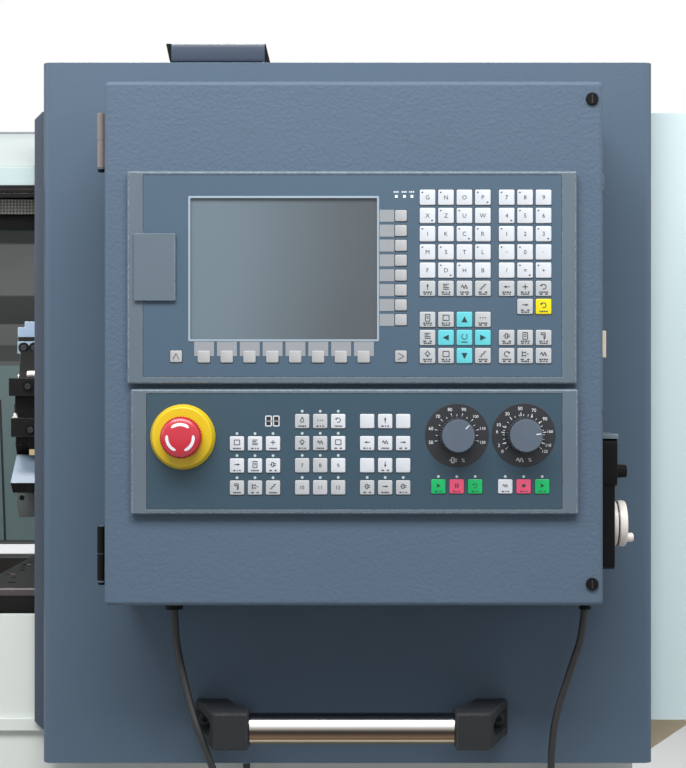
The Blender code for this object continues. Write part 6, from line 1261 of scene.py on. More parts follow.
def build_holders(kit):
    """Tool holders of the turret: a stepped one, two clamp blocks, a slanting block and a small one."""
    bm = bmesh.new()
    steps = [(-0.0219, 1.199), (0.0118, 1.199), (0.0118, 1.2321), (-0.0024, 1.2321), (-0.0024, 1.2299),
        (-0.0141, 1.2299), (-0.0141, 1.2231), (-0.0219, 1.2231)]
    prism_form(bm, "Y", steps, -0.2238, -0.1762, 0.0006)
    block(bm, (-0.0205, -0.2345, 1.1924), (0.0118, -0.2236, 1.2064), 0.0006)
    close_piece("holder_top", bm, kit["holder"], "turret", ("tool_holder_1",))
    close_piece("holder_top_slot", [(block, (-0.0212, -0.2262, 1.2064), (0.0116, -0.2234, 1.212), 0.0003, 1)],
        kit["rail"], "turret")
    # Black discs under the screws: painted shade of their recesses
    bm = bmesh.new()
    for x in (-0.0129, -0.0009):
        disc_mark(bm, (x, 1.199), 0.0064, -0.2345, 0.0003)
    for x, z in ((0.0039, 1.1542), (0.0069, 1.1053)):
        disc_mark(bm, (x, z), 0.0066, -0.3, 0.0003)
    disc_mark(bm, (0.005, 1.04), 0.005, -0.3, 0.0002)
    disc_mark(bm, (-0.0175, 1.024), 0.003, -0.222, 0.0002)
    close_piece("holder_recesses", bm, kit["bore"], "turret")
    small_parts("holder_screws", socket_screw(0.0034, 0.0016), [(-0.0129, -0.2347, 1.199), (-0.0009, -0.2347, 1.199),
        (0.0039, -0.3002, 1.1542), (0.0069, -0.3002, 1.1053)], "-Y", kit["screw_dark"], "turret")
    close_piece("clamp_blocks", [(block, (-0.0179, -0.3, 1.1435), (0.0118, -0.27, 1.1637), 0.0008),
        (block, (-0.0136, -0.285, 1.119), (0.0118, -0.26, 1.144), 0.0005), (block, (-0.0155, -0.3, 1.0974),
        (0.0118, -0.27, 1.1188), 0.0008), (block, (0.0022, -0.285, 1.083), (0.0118, -0.27, 1.098), 0.0005)],
        kit["rail"], "turret", ("tool_holder_2",))
    bm = bmesh.new()
    solid_through(bm, (((-0.015, -0.298, 1.119), (-0.0085, -0.298, 1.119), (-0.01, -0.298, 1.124)),
        ((-0.015, -0.289, 1.119), (-0.0085, -0.289, 1.119), (-0.01, -0.289, 1.124))))
    nozzle = at(0.0, -0.285, 1.168)
    lathe_form(bm, "X", Vector((0, nozzle.y, nozzle.z)), [(0.0016, nozzle.x), (0.0034, nozzle.x + 0.0005),
        (0.0038, nozzle.x + 0.002), (0.0038, nozzle.x + 0.0118), (0.003, nozzle.x + 0.0122)], 24)
    close_piece("nozzle", bm, kit["white"], "turret")
    close_piece("seat_band", [(block, (0.0024, -0.2846, 1.0764), (0.0116, -0.266, 1.0834), 0.0004)], kit["brass"],
        "turret")
    close_piece("slanting_holder", [(solid_through, (level_loop(-0.016, 0.0118, -0.3, -0.23, 1.0457),
        level_loop(-0.0139, 0.0118, -0.272, -0.245, 1.0764)), 0.0006)], kit["holder"], "turret")
    close_piece("slanting_holder_foot", [(solid_through, (level_loop(-0.0138, 0.0118, -0.296, -0.23, 1.0345),
        level_loop(-0.016, 0.0118, -0.2998, -0.23, 1.0458)), 0.0004)], kit["rail"], "turret")
    close_piece("lower_holder", [(solid_through, (level_loop(-0.0205, 0.0118, -0.221, -0.179, 1.0012),
        level_loop(-0.024, 0.0118, -0.222, -0.178, 1.014), level_loop(-0.024, 0.0118, -0.222, -0.178, 1.0415)),
        0.0006)], kit["holder_grey"], "turret", ("tool_holder_3",))
    dress(kit, ("tool_holder_4", "rail", 0.0008))


# Outline of the cross slide's front plate in X and Z, open below where the saddle's way runs through
SLIDE_FRONT = ((-0.0292, 0.9352), (0.2092, 0.9352), (0.2092, 0.891), (0.1588, 0.891), (0.1588, 0.906), (0.0212, 0.906),
    (0.0212, 0.891), (-0.0292, 0.891))


def build_turret(kit):
    dress(kit, ("cross_slide", "slide", 0.0008), ("turret_housing", "motor", 0.002))
    build_disc(kit)
    build_holders(kit)
    places = [(x, -0.398 + 0.1 * index, 0.9362) for index in range(4) for x in (-0.016, 0.196)]
    small_parts("slide_screws", socket_screw(0.0052, 0.0052), places, "+Z", kit["screw"], "cross_carriage")
    # Black discs on the slide: painted shade of its holes
    bm = bmesh.new()
    for x, y, radius in ((0.001, -0.378, 0.0048), (-0.006, -0.33, 0.0032), (-0.0114, -0.255, 0.004),
                         (-0.015, -0.232, 0.0032), (-0.017, -0.165, 0.004), (0.016, -0.205, 0.0045)):
        centre = at(x, y, 0.0)
        lathe_form(bm, "Z", Vector((centre.x, centre.y, 0.0)), [(radius, 0.9428), (radius, 0.9432)], 20)
    close_piece("slide_holes", bm, kit["bore"], "cross_carriage")
    close_piece("slide_front", [(prism_form, "Y", SLIDE_FRONT, -0.4286, -0.4276, 0.0002, 1)], kit["rail"],
        "cross_carriage")


# Door, handle and box

def build_door(kit):
    dress(kit, ("door_panel", "door", 0.0012, 3), ("door_edge_strip", "edge_strip", 0.0006),
        ("door_top_bracket", "bracket_paint", 0.0006))
    close_piece("bracket_ends", [(prism_form, "Y", ((0.1795, 1.5002), (0.1849, 1.5002), (0.1849, 1.4825),
        (0.1832, 1.4825)), -0.4985, -0.42, 0.0003), (prism_form, "Y", ((0.2791, 1.5002), (0.28, 1.5002),
        (0.2846, 1.4815), (0.2791, 1.4815)), -0.4985, -0.42, 0.0003)], kit["black"], BODY_OF["door_top_bracket"])


def build_handle(kit):
    close_piece("handle_tube_shell", [(lathe_form, "X", TUBE_AXIS, [(0.0134, -0.0992), (0.0148, -0.0992),
        (TUBE_RADIUS, -0.0988), (TUBE_RADIUS, 0.0988), (0.0148, 0.0992), (0.0134, 0.0992)], 64, True)], kit["chrome"],
        "door", ("handle_tube",))
    dress(kit, ("handle_bracket_left", "bracket", 0.0006, 2, 30), ("handle_bracket_right", "bracket", 0.0006, 2, 30))
    heads = [(0.3666 + side * 0.1457, -0.5003 - 0.0082, 0.8225) for side in (-1, 1)]
    small_parts("handle_screws", socket_screw(0.0064, 0.009), heads, "-Y", kit["screw_black"], "door")


def build_box(kit):
    dress(kit, ("control_box", "cover", 0.0006))
    bm = bmesh.new()
    low, high, back, face, corner, edge = (0.134, 0.949), (0.602, 1.441), -0.598, -0.62, 0.0045, 0.0042
    sheet = 0.003
    rear = [at(x, back, z) for x, z in outline(*low, *high, corner)]
    loops = [rear]
    for step in range(7):
        angle = math.radians(15 * step)
        inset = edge * (1 - math.cos(angle))
        depth = face + edge * (1 - math.sin(angle))
        places = outline(low[0] + inset, low[1] + inset, high[0] - inset, high[1] - inset, max(corner - inset, 0.0004))
        loops.append([at(x, depth, z) for x, z in places])
    inner = outline(low[0] + sheet, low[1] + sheet, high[0] - sheet, high[1] - sheet, 0.0012)
    loops.append([at(x, face + sheet, z) for x, z in inner])
    loops.append([at(x, back, z) for x, z in inner])
    made = skin(bm, loops[:8], False) + skin(bm, [loops[8], loops[9], loops[0]], False)
    bm.faces.new([bm.verts.new(place) for place in loops[7]])
    bm.faces.new([bm.verts.new(place) for place in loops[8]])
    bmesh.ops.remove_doubles(bm, verts=bm.verts, dist=1e-7)
    bmesh.ops.recalc_face_normals(bm, faces=bm.faces)
    mark_edges(bm, made[len(rear):len(rear) * 6])
    close_piece("cover_shell", bm, kit["cover"], "cover", ("box_cover",))
    for number, height in ((1, 0.996), (2, 1.388)):
        bm = bmesh.new()
        place = at(0.134 - 0.0052, -0.598, height)
        lathe_form(bm, "Z", place, [(0.0018, -0.03), (0.0034, -0.0296), (0.004, -0.028), (0.004, -0.0262),
            (0.0018, -0.0262)], 28)
        close_piece(f"hinge_tip_{number}", bm, kit["black"], "door")
        bm = bmesh.new()
        lathe_form(bm, "Z", place, [(0.0038, -0.0258), (0.00435, -0.0254), (0.00435, -0.0006), (0.004, 0.0),
            (0.00435, 0.0006), (0.00435, 0.0256), (0.0038, 0.0262)], 32)
        finish = kit["hinge"] if number == 2 else kit["black"]
        close_piece(f"hinge_barrel_{number}", bm, finish, "door")
    bm = bmesh.new()
    loops = []
    for grow, depth in ((0.0, 0.6006), (0.0, 0.6056), (-0.0008, 0.6068), (-0.003, 0.6075)):
        places = outline(-0.592 - grow, 1.338 - grow, -0.578 + grow, 1.358 + grow, 0.0065 + grow, 6)
        loops.append([at(depth, y, z) for y, z in places])
    skin(bm, loops)
    close_piece("side_plug_white", bm, kit["white"], "door")
    close_piece("side_plug_black", [(lathe_form, "X", at(0.0, -0.585, 1.1285), [(0.0083, 0.6006), (0.0083, 0.605),
        (0.0074, 0.606)], 32)], kit["black"], "door")
    for number, height in (("lower", 0.9695), ("upper", 1.4243)):
        bm = bmesh.new()
        place = at(0.5915, 0.0, height)
        lathe_form(bm, "Y", place, [(0.0059, -0.6203), (0.0059, -0.6217), (0.0056, -0.6223), (0.005, -0.6225)], 36)
        lathe_form(bm, "Y", place, [(0.003, -0.6203), (0.003, -0.5912)], 24)
        block(bm, (0.589, -0.5915, height - 0.0025), (0.594, -0.5897, height + 0.005), 0.0003, 1)
        name = f"cover_lock_{number}"
        close_piece(f"{name}_head", bm, kit["bore"], BODY_OF[name], (name,))
        close_piece(f"{name}_slot", [(stroke, (0.5915, height - 0.004), (0.5915, height + 0.004), 0.0011, -0.6225,
            0.00005)], kit["rubber"], BODY_OF[name])
    dress(kit, ("side_lock", "lock", 0.0003))


# Operator units

def flat_keypad(name):
    """A keypad plate without its keys: the raised parts are cut off and their places filled."""
    bm = node_copy(name)
    raised = [vertex for vertex in bm.verts if vertex.co.y < at(0.0, UNIT_FACE, 0.0).y - 0.00005]
    bmesh.ops.delete(bm, geom=raised, context="VERTS")
    edges = [edge for edge in bm.edges if len(edge.link_faces) == 1]
    bmesh.ops.holes_fill(bm, edges=edges, sides=0)
    bmesh.ops.recalc_face_normals(bm, faces=bm.faces)
    bmesh.ops.dissolve_limit(bm, angle_limit=0.004, verts=bm.verts, edges=bm.edges)
    return bm


def screen_finish():
    """Dark pane with a painted reflection: its base colour is lighter at its left, as if it mirrored the room."""
    made, tree, surface = new_finish("screen_glass", (("Roughness", 0.22), ("Coat Weight", 0.3)))
    place = node(tree, "ShaderNodeTexCoord")
    parts = node(tree, "ShaderNodeSeparateXYZ")
    left = on_display(SCREEN[0], 0.0)[0] + ORIGIN.x
    right = on_display(SCREEN[2], 0.0)[0] + ORIGIN.x
    across = node(tree, "ShaderNodeMapRange", _1=left, _2=right, interpolation_type="SMOOTHSTEP")
    ramp = node(tree, "ShaderNodeMix", data_type="RGBA", _6=(*paint(101, 117, 127), 1.0), _7=(*paint(75, 82, 87), 1.0))
    cloud = node(tree, "ShaderNodeTexNoise", _2=7.0, _3=1.0)
    shift = maths(tree, "MULTIPLY_ADD", _1=0.3, _2=-0.15)
    total = maths(tree, "ADD", use_clamp=True)
    wire(tree, (place, "Object", parts, 0), (place, "Object", cloud, "Vector"), (parts, "X", across, 0),
         (cloud, "Fac", shift, 0), (shift, 0, total, 0), (across, 0, total, 1), (total, 0, ramp, 0),
         (ramp, 2, surface, "Base Color"))
    return made


def key_centre(place_on, x, down, size):
    left, top = place_on(x, down)
    return left + size[0] / 2, top - size[1] / 2


def build_display(kit):
    sizes = bpy.context.scene.lathe_sizes
    body = BODY_OF["display_unit"]
    dress(kit, ("display_unit", "unit", 0.0005))
    close_piece("display_field", flat_keypad("display_keys"), kit["display_field"], body, ("display_keys",))
    low_x, high_z = on_display(SCREEN[0], SCREEN[1])
    high_x, low_z = on_display(SCREEN[2], SCREEN[3])
    close_piece("screen_rim", [(frame_plate, (low_x - 0.0016, low_z - 0.0016, high_x + 0.0016, high_z + 0.0016),
        (low_x + 0.0004, low_z + 0.0004, high_x - 0.0004, high_z - 0.0004), UNIT_FACE + 0.0012, UNIT_FACE - 0.0005,
        0.001, 0.0006, 0.0003)], kit["rim"], body)
    close_piece("screen_pane", [(block, (low_x + 0.0003, -0.626, low_z + 0.0003),
        (high_x - 0.0003, -0.6238, high_z - 0.0003), 0.0002, 1)], screen_finish(), body,
        ("display_glass",))
    dress(kit, ("port_cover", "unit", 0.0004))
    for group, places in display_keys().items():
        key_caps(f"{group}_caps", places, on_display, KEY_SIZES.get(group, KEY), kit[GROUP_FINISH[group]], body)
    bm = bmesh.new()
    for index in range(8):
        left, top = on_display(0.2357, 0.0364 + 0.01387 * index)
        patch(bm, left, top - 0.0112, left + 0.0137, top, UNIT_FACE, 0.0003)
        left, top = on_display(0.0628 + 0.0213 * index, 0.1595)
        patch(bm, left, top - 0.0134, left + 0.0185, top, UNIT_FACE, 0.0003)
    close_piece("soft_key_labels", bm, kit["key_label"], body, weighted=False)
    bm = bmesh.new()
    for x in (0.2501, 0.2576, 0.2646):
        left, top = on_display(x, 0.0226)
        patch(bm, left, top - 0.0026, left + 0.0026, top, UNIT_FACE, 0.0003)
        for bit in range(3):
            patch(bm, left - 0.0012 + 0.0017 * bit, top + 0.0022, left - 0.0001 + 0.0017 * bit, top + 0.0036, UNIT_FACE)
    close_piece("unit_lamps", bm, kit["mark"], body, weighted=False)
    top = UNIT_FACE - sizes.key_height
    ink, dark = bmesh.new(), bmesh.new()
    entries = []
    for table, place in ((LETTERS, letter_key), (NUMBERS, number_key)):
        for row, line in enumerate(table):
            for column, text in enumerate(line):
                x, z = key_centre(on_display, *place(column, row), KEY)
                entries.append((text, x, z, sizes.letter, 0.0))
                if (row + 2 * column) % 3 != 1:
                    patch(ink, x - 0.0056, z + 0.004, x - 0.0042, z + 0.0052, top)
                if (3 * row + column) % 5 == 3:
                    patch(ink, x + 0.0034, z - 0.0052, x + 0.005, z - 0.004, top)
    letters(ink, entries, top)
    low_places = [letter_key(column, 5) for column in range(4)] + [number_key(column, 5) for column in range(3)]
    low_places += [(0.347 + 0.0172, 0.1195)]
    low_places += [arrow_key(column, row) for row in range(3) for column in range(4) if (column, row) not in CYAN]
    low_places += [arrow_key(column, row, True) for row in (1, 2) for column in range(3)]
    for order, (place, kind) in enumerate(zip(low_places, DISPLAY_PICTURES)):
        x, z = key_centre(on_display, *place, KEY)
        picture(ink, kind, x, z + 0.0016, 0.007, top)
        caption(ink, x, z - 0.0034, 0.0082, top, order)
        caption(ink, x, z - 0.0052, 0.0072, top, order + 1)
    x, z = key_centre(on_display, 0.347 + 0.0344, 0.1195, KEY)
    picture(ink, "turn", x, z + 0.0012, 0.007, top)
    caption(ink, x, z - 0.0046, 0.0076, top, 2)
    for (column, row), turn in (((2, 0), 0), ((1, 1), 270), ((3, 1), 90), ((2, 2), 180)):
        middle = key_centre(on_display, *arrow_key(column, row), KEY)
        wedge_mark(dark, polar(middle, 0.003, turn), polar(middle, -0.0026, turn), 0.0056, top)
    x, z = key_centre(on_display, *arrow_key(2, 1), KEY)
    arc_mark(ink, (x, z + 0.001), 0.0026, 30, 330, 0.0007, top, 10)
    patch(ink, x - 0.003, z - 0.0046, x + 0.003, z - 0.0037, top)
    for x, marks in ((0.0405, ((-0.0028, -0.0026, 0.0, 0.0028), (0.0, 0.0028, 0.0028, -0.0026))),
                     (0.2502, ((-0.0026, 0.003, 0.0028, 0.0), (0.0028, 0.0, -0.0026, -0.003)))):
        middle = key_centre(on_display, x, 0.1677, KEY_SIZES["key_page"])
        for first_x, first_z, last_x, last_z in marks:
            stroke(ink, (middle[0] + first_x, middle[1] + first_z), (middle[0] + last_x, middle[1] + last_z), 0.0006,
                   top)
    close_piece("display_legends", ink, kit["ink"], body, weighted=False)
    close_piece("cursor_arrows", dark, kit["cursor"], body, weighted=False)


GROUP_FINISH = {"key_white": "key_white", "key_grey": "key_grey", "key_cyan": "key_cyan", "key_yellow": "key_yellow",
    "key_soft": "key_stone", "key_low": "key_stone", "key_page": "key_stone"}
DISPLAY_PICTURES = ("rise", "rows", "wave", "steps", "left", "cross", "turn", "right", "page", "frame", "dots", "rows",
    "lamp", "frame", "steps", "spindle", "page", "tool", "back_turn", "clamp", "wave")
GROUP_LEFTS = (0.0928, 0.1536, 0.2142)
GROUP_TOPS = (0.0441, 0.0233, 0.0233)
GROUP_ROWS = (3, 4, 4)
SMALL_KEY = (0.0133, 0.0133)
GROUP_PICTURES = (("frame", "rows", "cross", "right", "page", "spindle", "tool", "clamp", "steps"),
    ("drop", "dots", "turn", "lamp", "wave", "frame", "7", "8", "9", "10", "11", "12"),
    (None, "rise", None, "left", "wave", "right", None, "fall", None, "spindle", "right", "spindle"))
CYCLE_LEFTS = (0.2806, 0.2977, 0.3149, 0.343, 0.3601, 0.3774)
CYCLE_FINISHES = ("key_green", "key_red", "key_green", "key_white", "key_red", "key_green")
CYCLE_PICTURES = ("play", "pause", "turn", "wave", "stop", "play")
DIALS = (("spindle_override_knob", "spindle", (("50", -105), ("60", -75), ("70", -45), ("80", -15), ("90", 15),
    ("100", 45), ("110", 75), ("120", 105))), ("feed_override_knob", "wave", (("0", -127.5), ("2", -112.5),
    ("6", -82.5), ("10", -67.5), ("30", -37.5), ("50", -7.5), ("70", 22.5), ("90", 52.5), ("100", 82.5), ("110", 112.5),
    ("120", 127.5))))


def build_control(kit):
    sizes = bpy.context.scene.lathe_sizes
    body = BODY_OF["control_unit"]
    dress(kit, ("control_unit", "unit", 0.0005))
    close_piece("control_field", flat_keypad("control_keys"), kit["control_field"], body, ("control_keys",))
    top = UNIT_FACE - sizes.key_height
    ink, lights = bmesh.new(), bmesh.new()
    whites, greys = [], []
    for group, (left, first, rows) in enumerate(zip(GROUP_LEFTS, GROUP_TOPS, GROUP_ROWS)):
        for row in range(rows):
            for column in range(3):
                place = (left + 0.0168 * column, first + 0.0206 * row)
                x, z = key_centre(on_control, *place, SMALL_KEY)
                (greys if row == rows - 1 or group == 1 and row < 3 and column < 2 else whites).append(place)
                kind = GROUP_PICTURES[group][3 * row + column]
                if kind and kind.isdigit():
                    letters(ink, [(kind, x, z, 0.005, 0.0)], top)
                elif kind:
                    picture(ink, kind, x, z + 0.001, 0.0064, top)
                    caption(ink, x, z - 0.0046, 0.007, top, row + column)
                if group < 2 or row == rows - 1:
                    disc_mark(lights, (x, z + SMALL_KEY[1] / 2 + 0.0026), 0.0013, UNIT_FACE, 0.0005, 16)
    key_caps("panel_keys_white", whites, on_control, SMALL_KEY, kit["key_white"], body)
    key_caps("panel_keys_grey", greys, on_control, SMALL_KEY, kit["key_grey"], body)
    for finish in ("key_green", "key_red", "key_white"):
        chosen = [(left, 0.0842) for left, one in zip(CYCLE_LEFTS, CYCLE_FINISHES) if one == finish]
        key_caps(f"cycle_{finish}", chosen, on_control, SMALL_KEY, kit[finish], body)
    for left, kind in zip(CYCLE_LEFTS, CYCLE_PICTURES):
        x, z = key_centre(on_control, left, 0.0842, SMALL_KEY)
        picture(ink, kind, x, z + 0.0008, 0.0056, top)
        caption(ink, x, z - 0.0046, 0.0066, top, 1)
        disc_mark(lights, (x, z + SMALL_KEY[1] / 2 + 0.0026), 0.0013, UNIT_FACE, 0.0005, 16)
    close_piece("panel_legends", ink, kit["ink"], body, weighted=False)
    close_piece("panel_lights", lights, kit["light_dot"], body)
    marks, panes = bmesh.new(), bmesh.new()
    for start in (0.1262, 0.1334):
        low_x, high_z = on_control(start, 0.0252)
        patch(panes, low_x, high_z - 0.0092, low_x + 0.0052, high_z, UNIT_FACE, 0.00002)
        for box_x, box_z, high_x, low_z in ((0, 0, 0.0052, 0.0045), (0, 0.0047, 0.0052, 0.0092)):
            places = ((low_x + box_x, high_z - box_z), (low_x + high_x, high_z - box_z),
                (low_x + high_x, high_z - low_z), (low_x + box_x, high_z - low_z))
            for first, second in zip(places, places[1:] + places[:1]):
                stroke(marks, first, second, 0.0009, UNIT_FACE)
    close_piece("counter_panes", panes, kit["window"], body, weighted=False)
    close_piece("counter_digits", marks, kit["mark"], body, weighted=False)


def build_stop(kit):
    x, z = STOP_CENTRE
    collar_body, head_body = BODY_OF["estop_collar"], BODY_OF["estop_button"]
    close_piece("stop_collar", [(lathe_form, "Y", at(x, 0.0, z), [(0.01, -0.6283), (0.03, -0.6283), (0.0304, -0.6287),
        (0.0304, -0.6298), (0.0301, -0.6306), (0.028, -0.6364), (0.0274, -0.6371), (0.0266, -0.6373), (0.01, -0.6373)],
        72, True)], kit["stop_yellow"], collar_body, ("estop_collar",))
    close_piece("stop_ring", [(lathe_form, "Y", at(x, 0.0, z), [
        (0.015, -0.6431), (0.019, -0.6433), (0.0195, -0.6438), (0.0195, -0.65), (0.0188, -0.6512), (0.015, -0.6514)],
        176, True, ribbed(0.0006))], kit["stop_ring"], head_body, (), 30.0)
    close_piece("stop_head", [(lathe_form, "Y", at(x, 0.0, z), [(0.009, -0.583), (0.009, -0.6426), (0.016, -0.643),
        (0.0176, -0.65), (0.0178, -0.6532)] + dome_profile(), 64)], kit["stop_red"], head_body,
        ("estop_button",))
    bm = bmesh.new()
    for middle in (0, 120, 240):
        loops = []
        for step in range(13):
            share = step / 12
            angle = middle - 41 + 82 * share
            half = 0.0014 * min(1.0, 0.35 + 6 * min(share, 1 - share))
            section = []
            for radius, rise in ((0.0122 - half, 0.0), (0.0122 + half, 0.0), (0.0122 + half, 0.00012),
                                 (0.0122 - half, 0.00012)):
                across, up = polar((x, z), radius, angle)
                section.append(at(across, dome_depth(radius) - rise, up))
            loops.append(section)
        skin(bm, loops)
    close_piece("stop_arrows", bm, kit["mark"], head_body, weighted=False)


def dome_depth(radius):
    """Depth of the stop head's domed face at a radius."""
    share = min(radius / 0.0178, 1.0)
    return -0.6578 + 0.004 * (1 - math.sqrt(1 - 0.92 * share ** 3))


def dome_profile():
    return [(radius, dome_depth(radius)) for radius in (0.0176, 0.017, 0.016, 0.0145, 0.0128, 0.0106, 0.008, 0.0045,
        0.0012)]


def build_knobs(kit):
    sizes = bpy.context.scene.lathe_sizes
    panel = BODY_OF["control_unit"]
    discs, marks = bmesh.new(), bmesh.new()
    entries = []
    for name, kind, scale in DIALS:
        (x, z), setting = KNOBS[name]
        lathe_form(discs, "Y", at(x, 0.0, z), [
            (DIAL_RADIUS, -0.628), (DIAL_RADIUS, -0.6284), (DIAL_RADIUS - 0.0003, DIAL_FACE)], 80)
        for text, angle in scale:
            entries.append((text, *polar((x, z), 0.025, angle), 0.0044 if len(text) < 3 else 0.0038, 0.0))
            stroke(marks, polar((x, z), 0.0178, angle), polar((x, z), 0.0212, angle), sizes.tick * 1.4, DIAL_FACE)
        first, last, ticks = scale[0][1], scale[-1][1], len(scale) * 2 - 2
        for step in range(ticks + 1):
            angle = first + (last - first) * step / ticks
            stroke(marks, polar((x, z), 0.0178, angle), polar((x, z), 0.0196, angle), sizes.tick, DIAL_FACE)
        picture(marks, kind, x - 0.0034, z - 0.0232, 0.0078, DIAL_FACE)
        entries.append(("%", x + 0.0058, z - 0.0232, 0.005, 0.0))
        knob = BODY_OF[name]
        close_piece(f"{name}_skirt", [(lathe_form, "Y", at(x, 0.0, z), [(0.003, -0.583), (0.003, -0.6289),
            (0.0163, -0.6289), (0.01675, -0.6293), (0.016, -0.6492), (0.0154, -0.6502), (0.014, -0.6504)], 160, False,
            ribbed(0.0007))], kit["knob_skirt"], knob, (name,), 30.0)
        close_piece(f"{name}_cap", [(lathe_form, "Y", at(x, 0.0, z), [(0.0146, -0.6502), (0.015, -0.6508),
            (0.015, -0.6522), (0.0145, -0.6528), (0.0132, -0.65285)], 64)], kit["knob"], knob)
        close_piece(f"{name}_pointer", [(stroke, polar((x, z), 0.0092, setting), polar((x, z), 0.0138, setting), 0.0008,
            -0.65285, 0.00005)], kit["mark"], knob, weighted=False)
    letters(marks, entries, DIAL_FACE)
    close_piece("dial_discs", discs, kit["dial"], panel)
    close_piece("dial_marks", marks, kit["mark"], panel, weighted=False)


# Pendant, leads and the other sides

def build_pendant(kit):
    body = BODY_OF["pendant_body"]
    dress(kit, ("pendant_body", "black", 0.0008))
    close_piece("pendant_top", [(block, (0.6021, -0.6062, 1.1052), (0.6185, -0.5278, 1.1097), 0.0006, 2)],
        kit["unit"], body)
    middle = at(0.0, -0.567, 1.022)
    bm = bmesh.new()
    lathe_form(bm, "X", middle, [(0.006, 0.6165), (0.02, 0.6165), (0.0216, 0.617), (0.0222, 0.618), (0.0222, 0.6208),
        (0.0219, 0.6213), (0.0212, 0.6216), (0.0212, 0.6234), (0.0219, 0.6237), (0.0222, 0.6243), (0.0222, 0.6292),
        (0.0216, 0.6304), (0.0202, 0.631), (0.0186, 0.631), (0.0178, 0.6304), (0.006, 0.6302)], 72)
    wheel = BODY_OF["pendant_wheel"]
    close_piece("handwheel_rim", bm, kit["white"], wheel, ("pendant_wheel",))
    close_piece("handwheel_groove", [(lathe_form, "X", middle, [(0.0213, 0.6218), (0.0215, 0.6218), (0.0215, 0.6232),
        (0.0213, 0.6232)], 72, True)], kit["strip"], wheel)
    close_piece("crank_pin", [(lathe_form, "X", at(0.0, -0.567, 1.0086), [(0.003, 0.63), (0.0034, 0.6312),
        (0.0043, 0.633), (0.0044, 0.6372), (0.0038, 0.6386), (0.0026, 0.6391)], 36)], kit["white"], wheel)
    close_piece("handwheel_hub", [(lathe_form, "X", middle, [(0.0052, 0.6302), (0.0052, 0.6309), (0.0046, 0.6313)],
        32)], kit["screw"], wheel)
    close_piece("selector_knob", [(lathe_form, "X", at(0.0, -0.567, 1.0727), [(0.0064, 0.6181), (0.0066, 0.6185),
        (0.0061, 0.6314), (0.0056, 0.6323), (0.0046, 0.6326)], 72, False, ribbed(0.0004))], kit["black"],
        BODY_OF["pendant_selector"], ("pendant_selector",), 30.0)
    places = [(0.6172, -0.567 + across, z) for across in (-0.03, 0.03) for z in (0.992, 1.098)]
    small_parts("pendant_screws", button_screw(0.0022, 0.001), [place for place in places if place[2] > 1.05], "+X",
        kit["screw_black"], body)


LEFT_ROUTE = ((0.1925, -0.545, 0.9398), (0.1945, -0.547, 0.908), (0.1985, -0.552, 0.888), (0.2045, -0.559, 0.865),
    (0.2115, -0.566, 0.841), (0.2205, -0.572, 0.817), (0.232, -0.571, 0.786), (0.242, -0.56, 0.756),
    (0.251, -0.538, 0.73), (0.257, -0.51, 0.722), (0.2595, -0.489, 0.738), (0.26, -0.483, 0.758), (0.26, -0.483, 0.765),
    (0.26, -0.483, 0.7717))
RIGHT_ROUTE = ((0.5955, -0.545, 0.9398), (0.591, -0.546, 0.908), (0.583, -0.548, 0.884), (0.575, -0.549, 0.86),
    (0.5685, -0.549, 0.839), (0.564, -0.549, 0.816), (0.562, -0.547, 0.786), (0.563, -0.541, 0.756),
    (0.566, -0.524, 0.733), (0.569, -0.503, 0.728), (0.5697, -0.488, 0.741), (0.57, -0.483, 0.758),
    (0.57, -0.483, 0.765), (0.57, -0.483, 0.7717))
LEAD_RADIUS = 0.0035


def smooth_route(route, steps=6):
    """Points of a smooth curve through a route's points."""
    ends = [Vector(place) for place in route]
    ends = [2 * ends[0] - ends[1]] + ends + [2 * ends[-1] - ends[-2]]
    places = []
    for before, first, second, after in zip(ends, ends[1:], ends[2:], ends[3:]):
        for step in range(steps):
            share = step / steps
            places.append(0.5 * (2 * first + (second - before) * share
                                 + (2 * before - 5 * first + 4 * second - after) * share ** 2
                                 + (3 * first - before - 3 * second + after) * share ** 3))
    return places + [ends[-2]]


def build_lead(name, route, replaced, kit):
    """One cable from its gland, in front of the door, back into the door's lower edge."""
    places = [at(*place) for place in smooth_route(route)]
    curve = bpy.data.curves.new(name, "CURVE")
    curve.dimensions = "3D"
    curve.bevel_depth = LEAD_RADIUS
    curve.bevel_resolution = 5
    curve.use_fill_caps = True
    line = curve.splines.new("POLY")
    line.points.add(len(places) - 1)
    for point, place in zip(line.points, places):
        point.co = (*place, 1.0)
    line.use_smooth = True
    curve.materials.append(kit["rubber"])
    item = bpy.data.objects.new(name, curve)
    bpy.context.scene.collection.objects.link(item)
    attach(item, "door")
    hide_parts(replaced)


def build_gland(name, x, ribs, wide, kit):
    """Ribbed cable gland with a bore for the cable's end."""
    top = 0.9507
    low = top - 0.0145
    pitch = (0.0145 - 0.003) / ribs
    profile = [(0.004, low + 0.0038), (0.0041, low), (wide - 0.0004, low), (wide, low + 0.0004)]
    for index in range(ribs):
        begin = low + pitch * index
        profile += [(wide, begin + pitch * 0.55), (wide - 0.0012, begin + pitch * 0.62),
            (wide - 0.0012, begin + pitch * 0.93), (wide, begin + pitch)]
    profile += [(wide + 0.001, top - 0.0028), (wide + 0.001, top), (0.004, top)]
    close_piece(f"{name}_shell", [(lathe_form, "Z", at(x, -0.545, 0.0), profile, 40, True)], kit["black"],
        BODY_OF[name], (name,))


def build_leads(kit):
    build_gland("gland_left", 0.1925, 1, 0.0085, kit)
    build_gland("gland_right", 0.5955, 3, 0.0062, kit)
    build_lead("lead_left", LEFT_ROUTE, "cable_left", kit)
    build_lead("lead_right", RIGHT_ROUTE, "cable_right", kit)


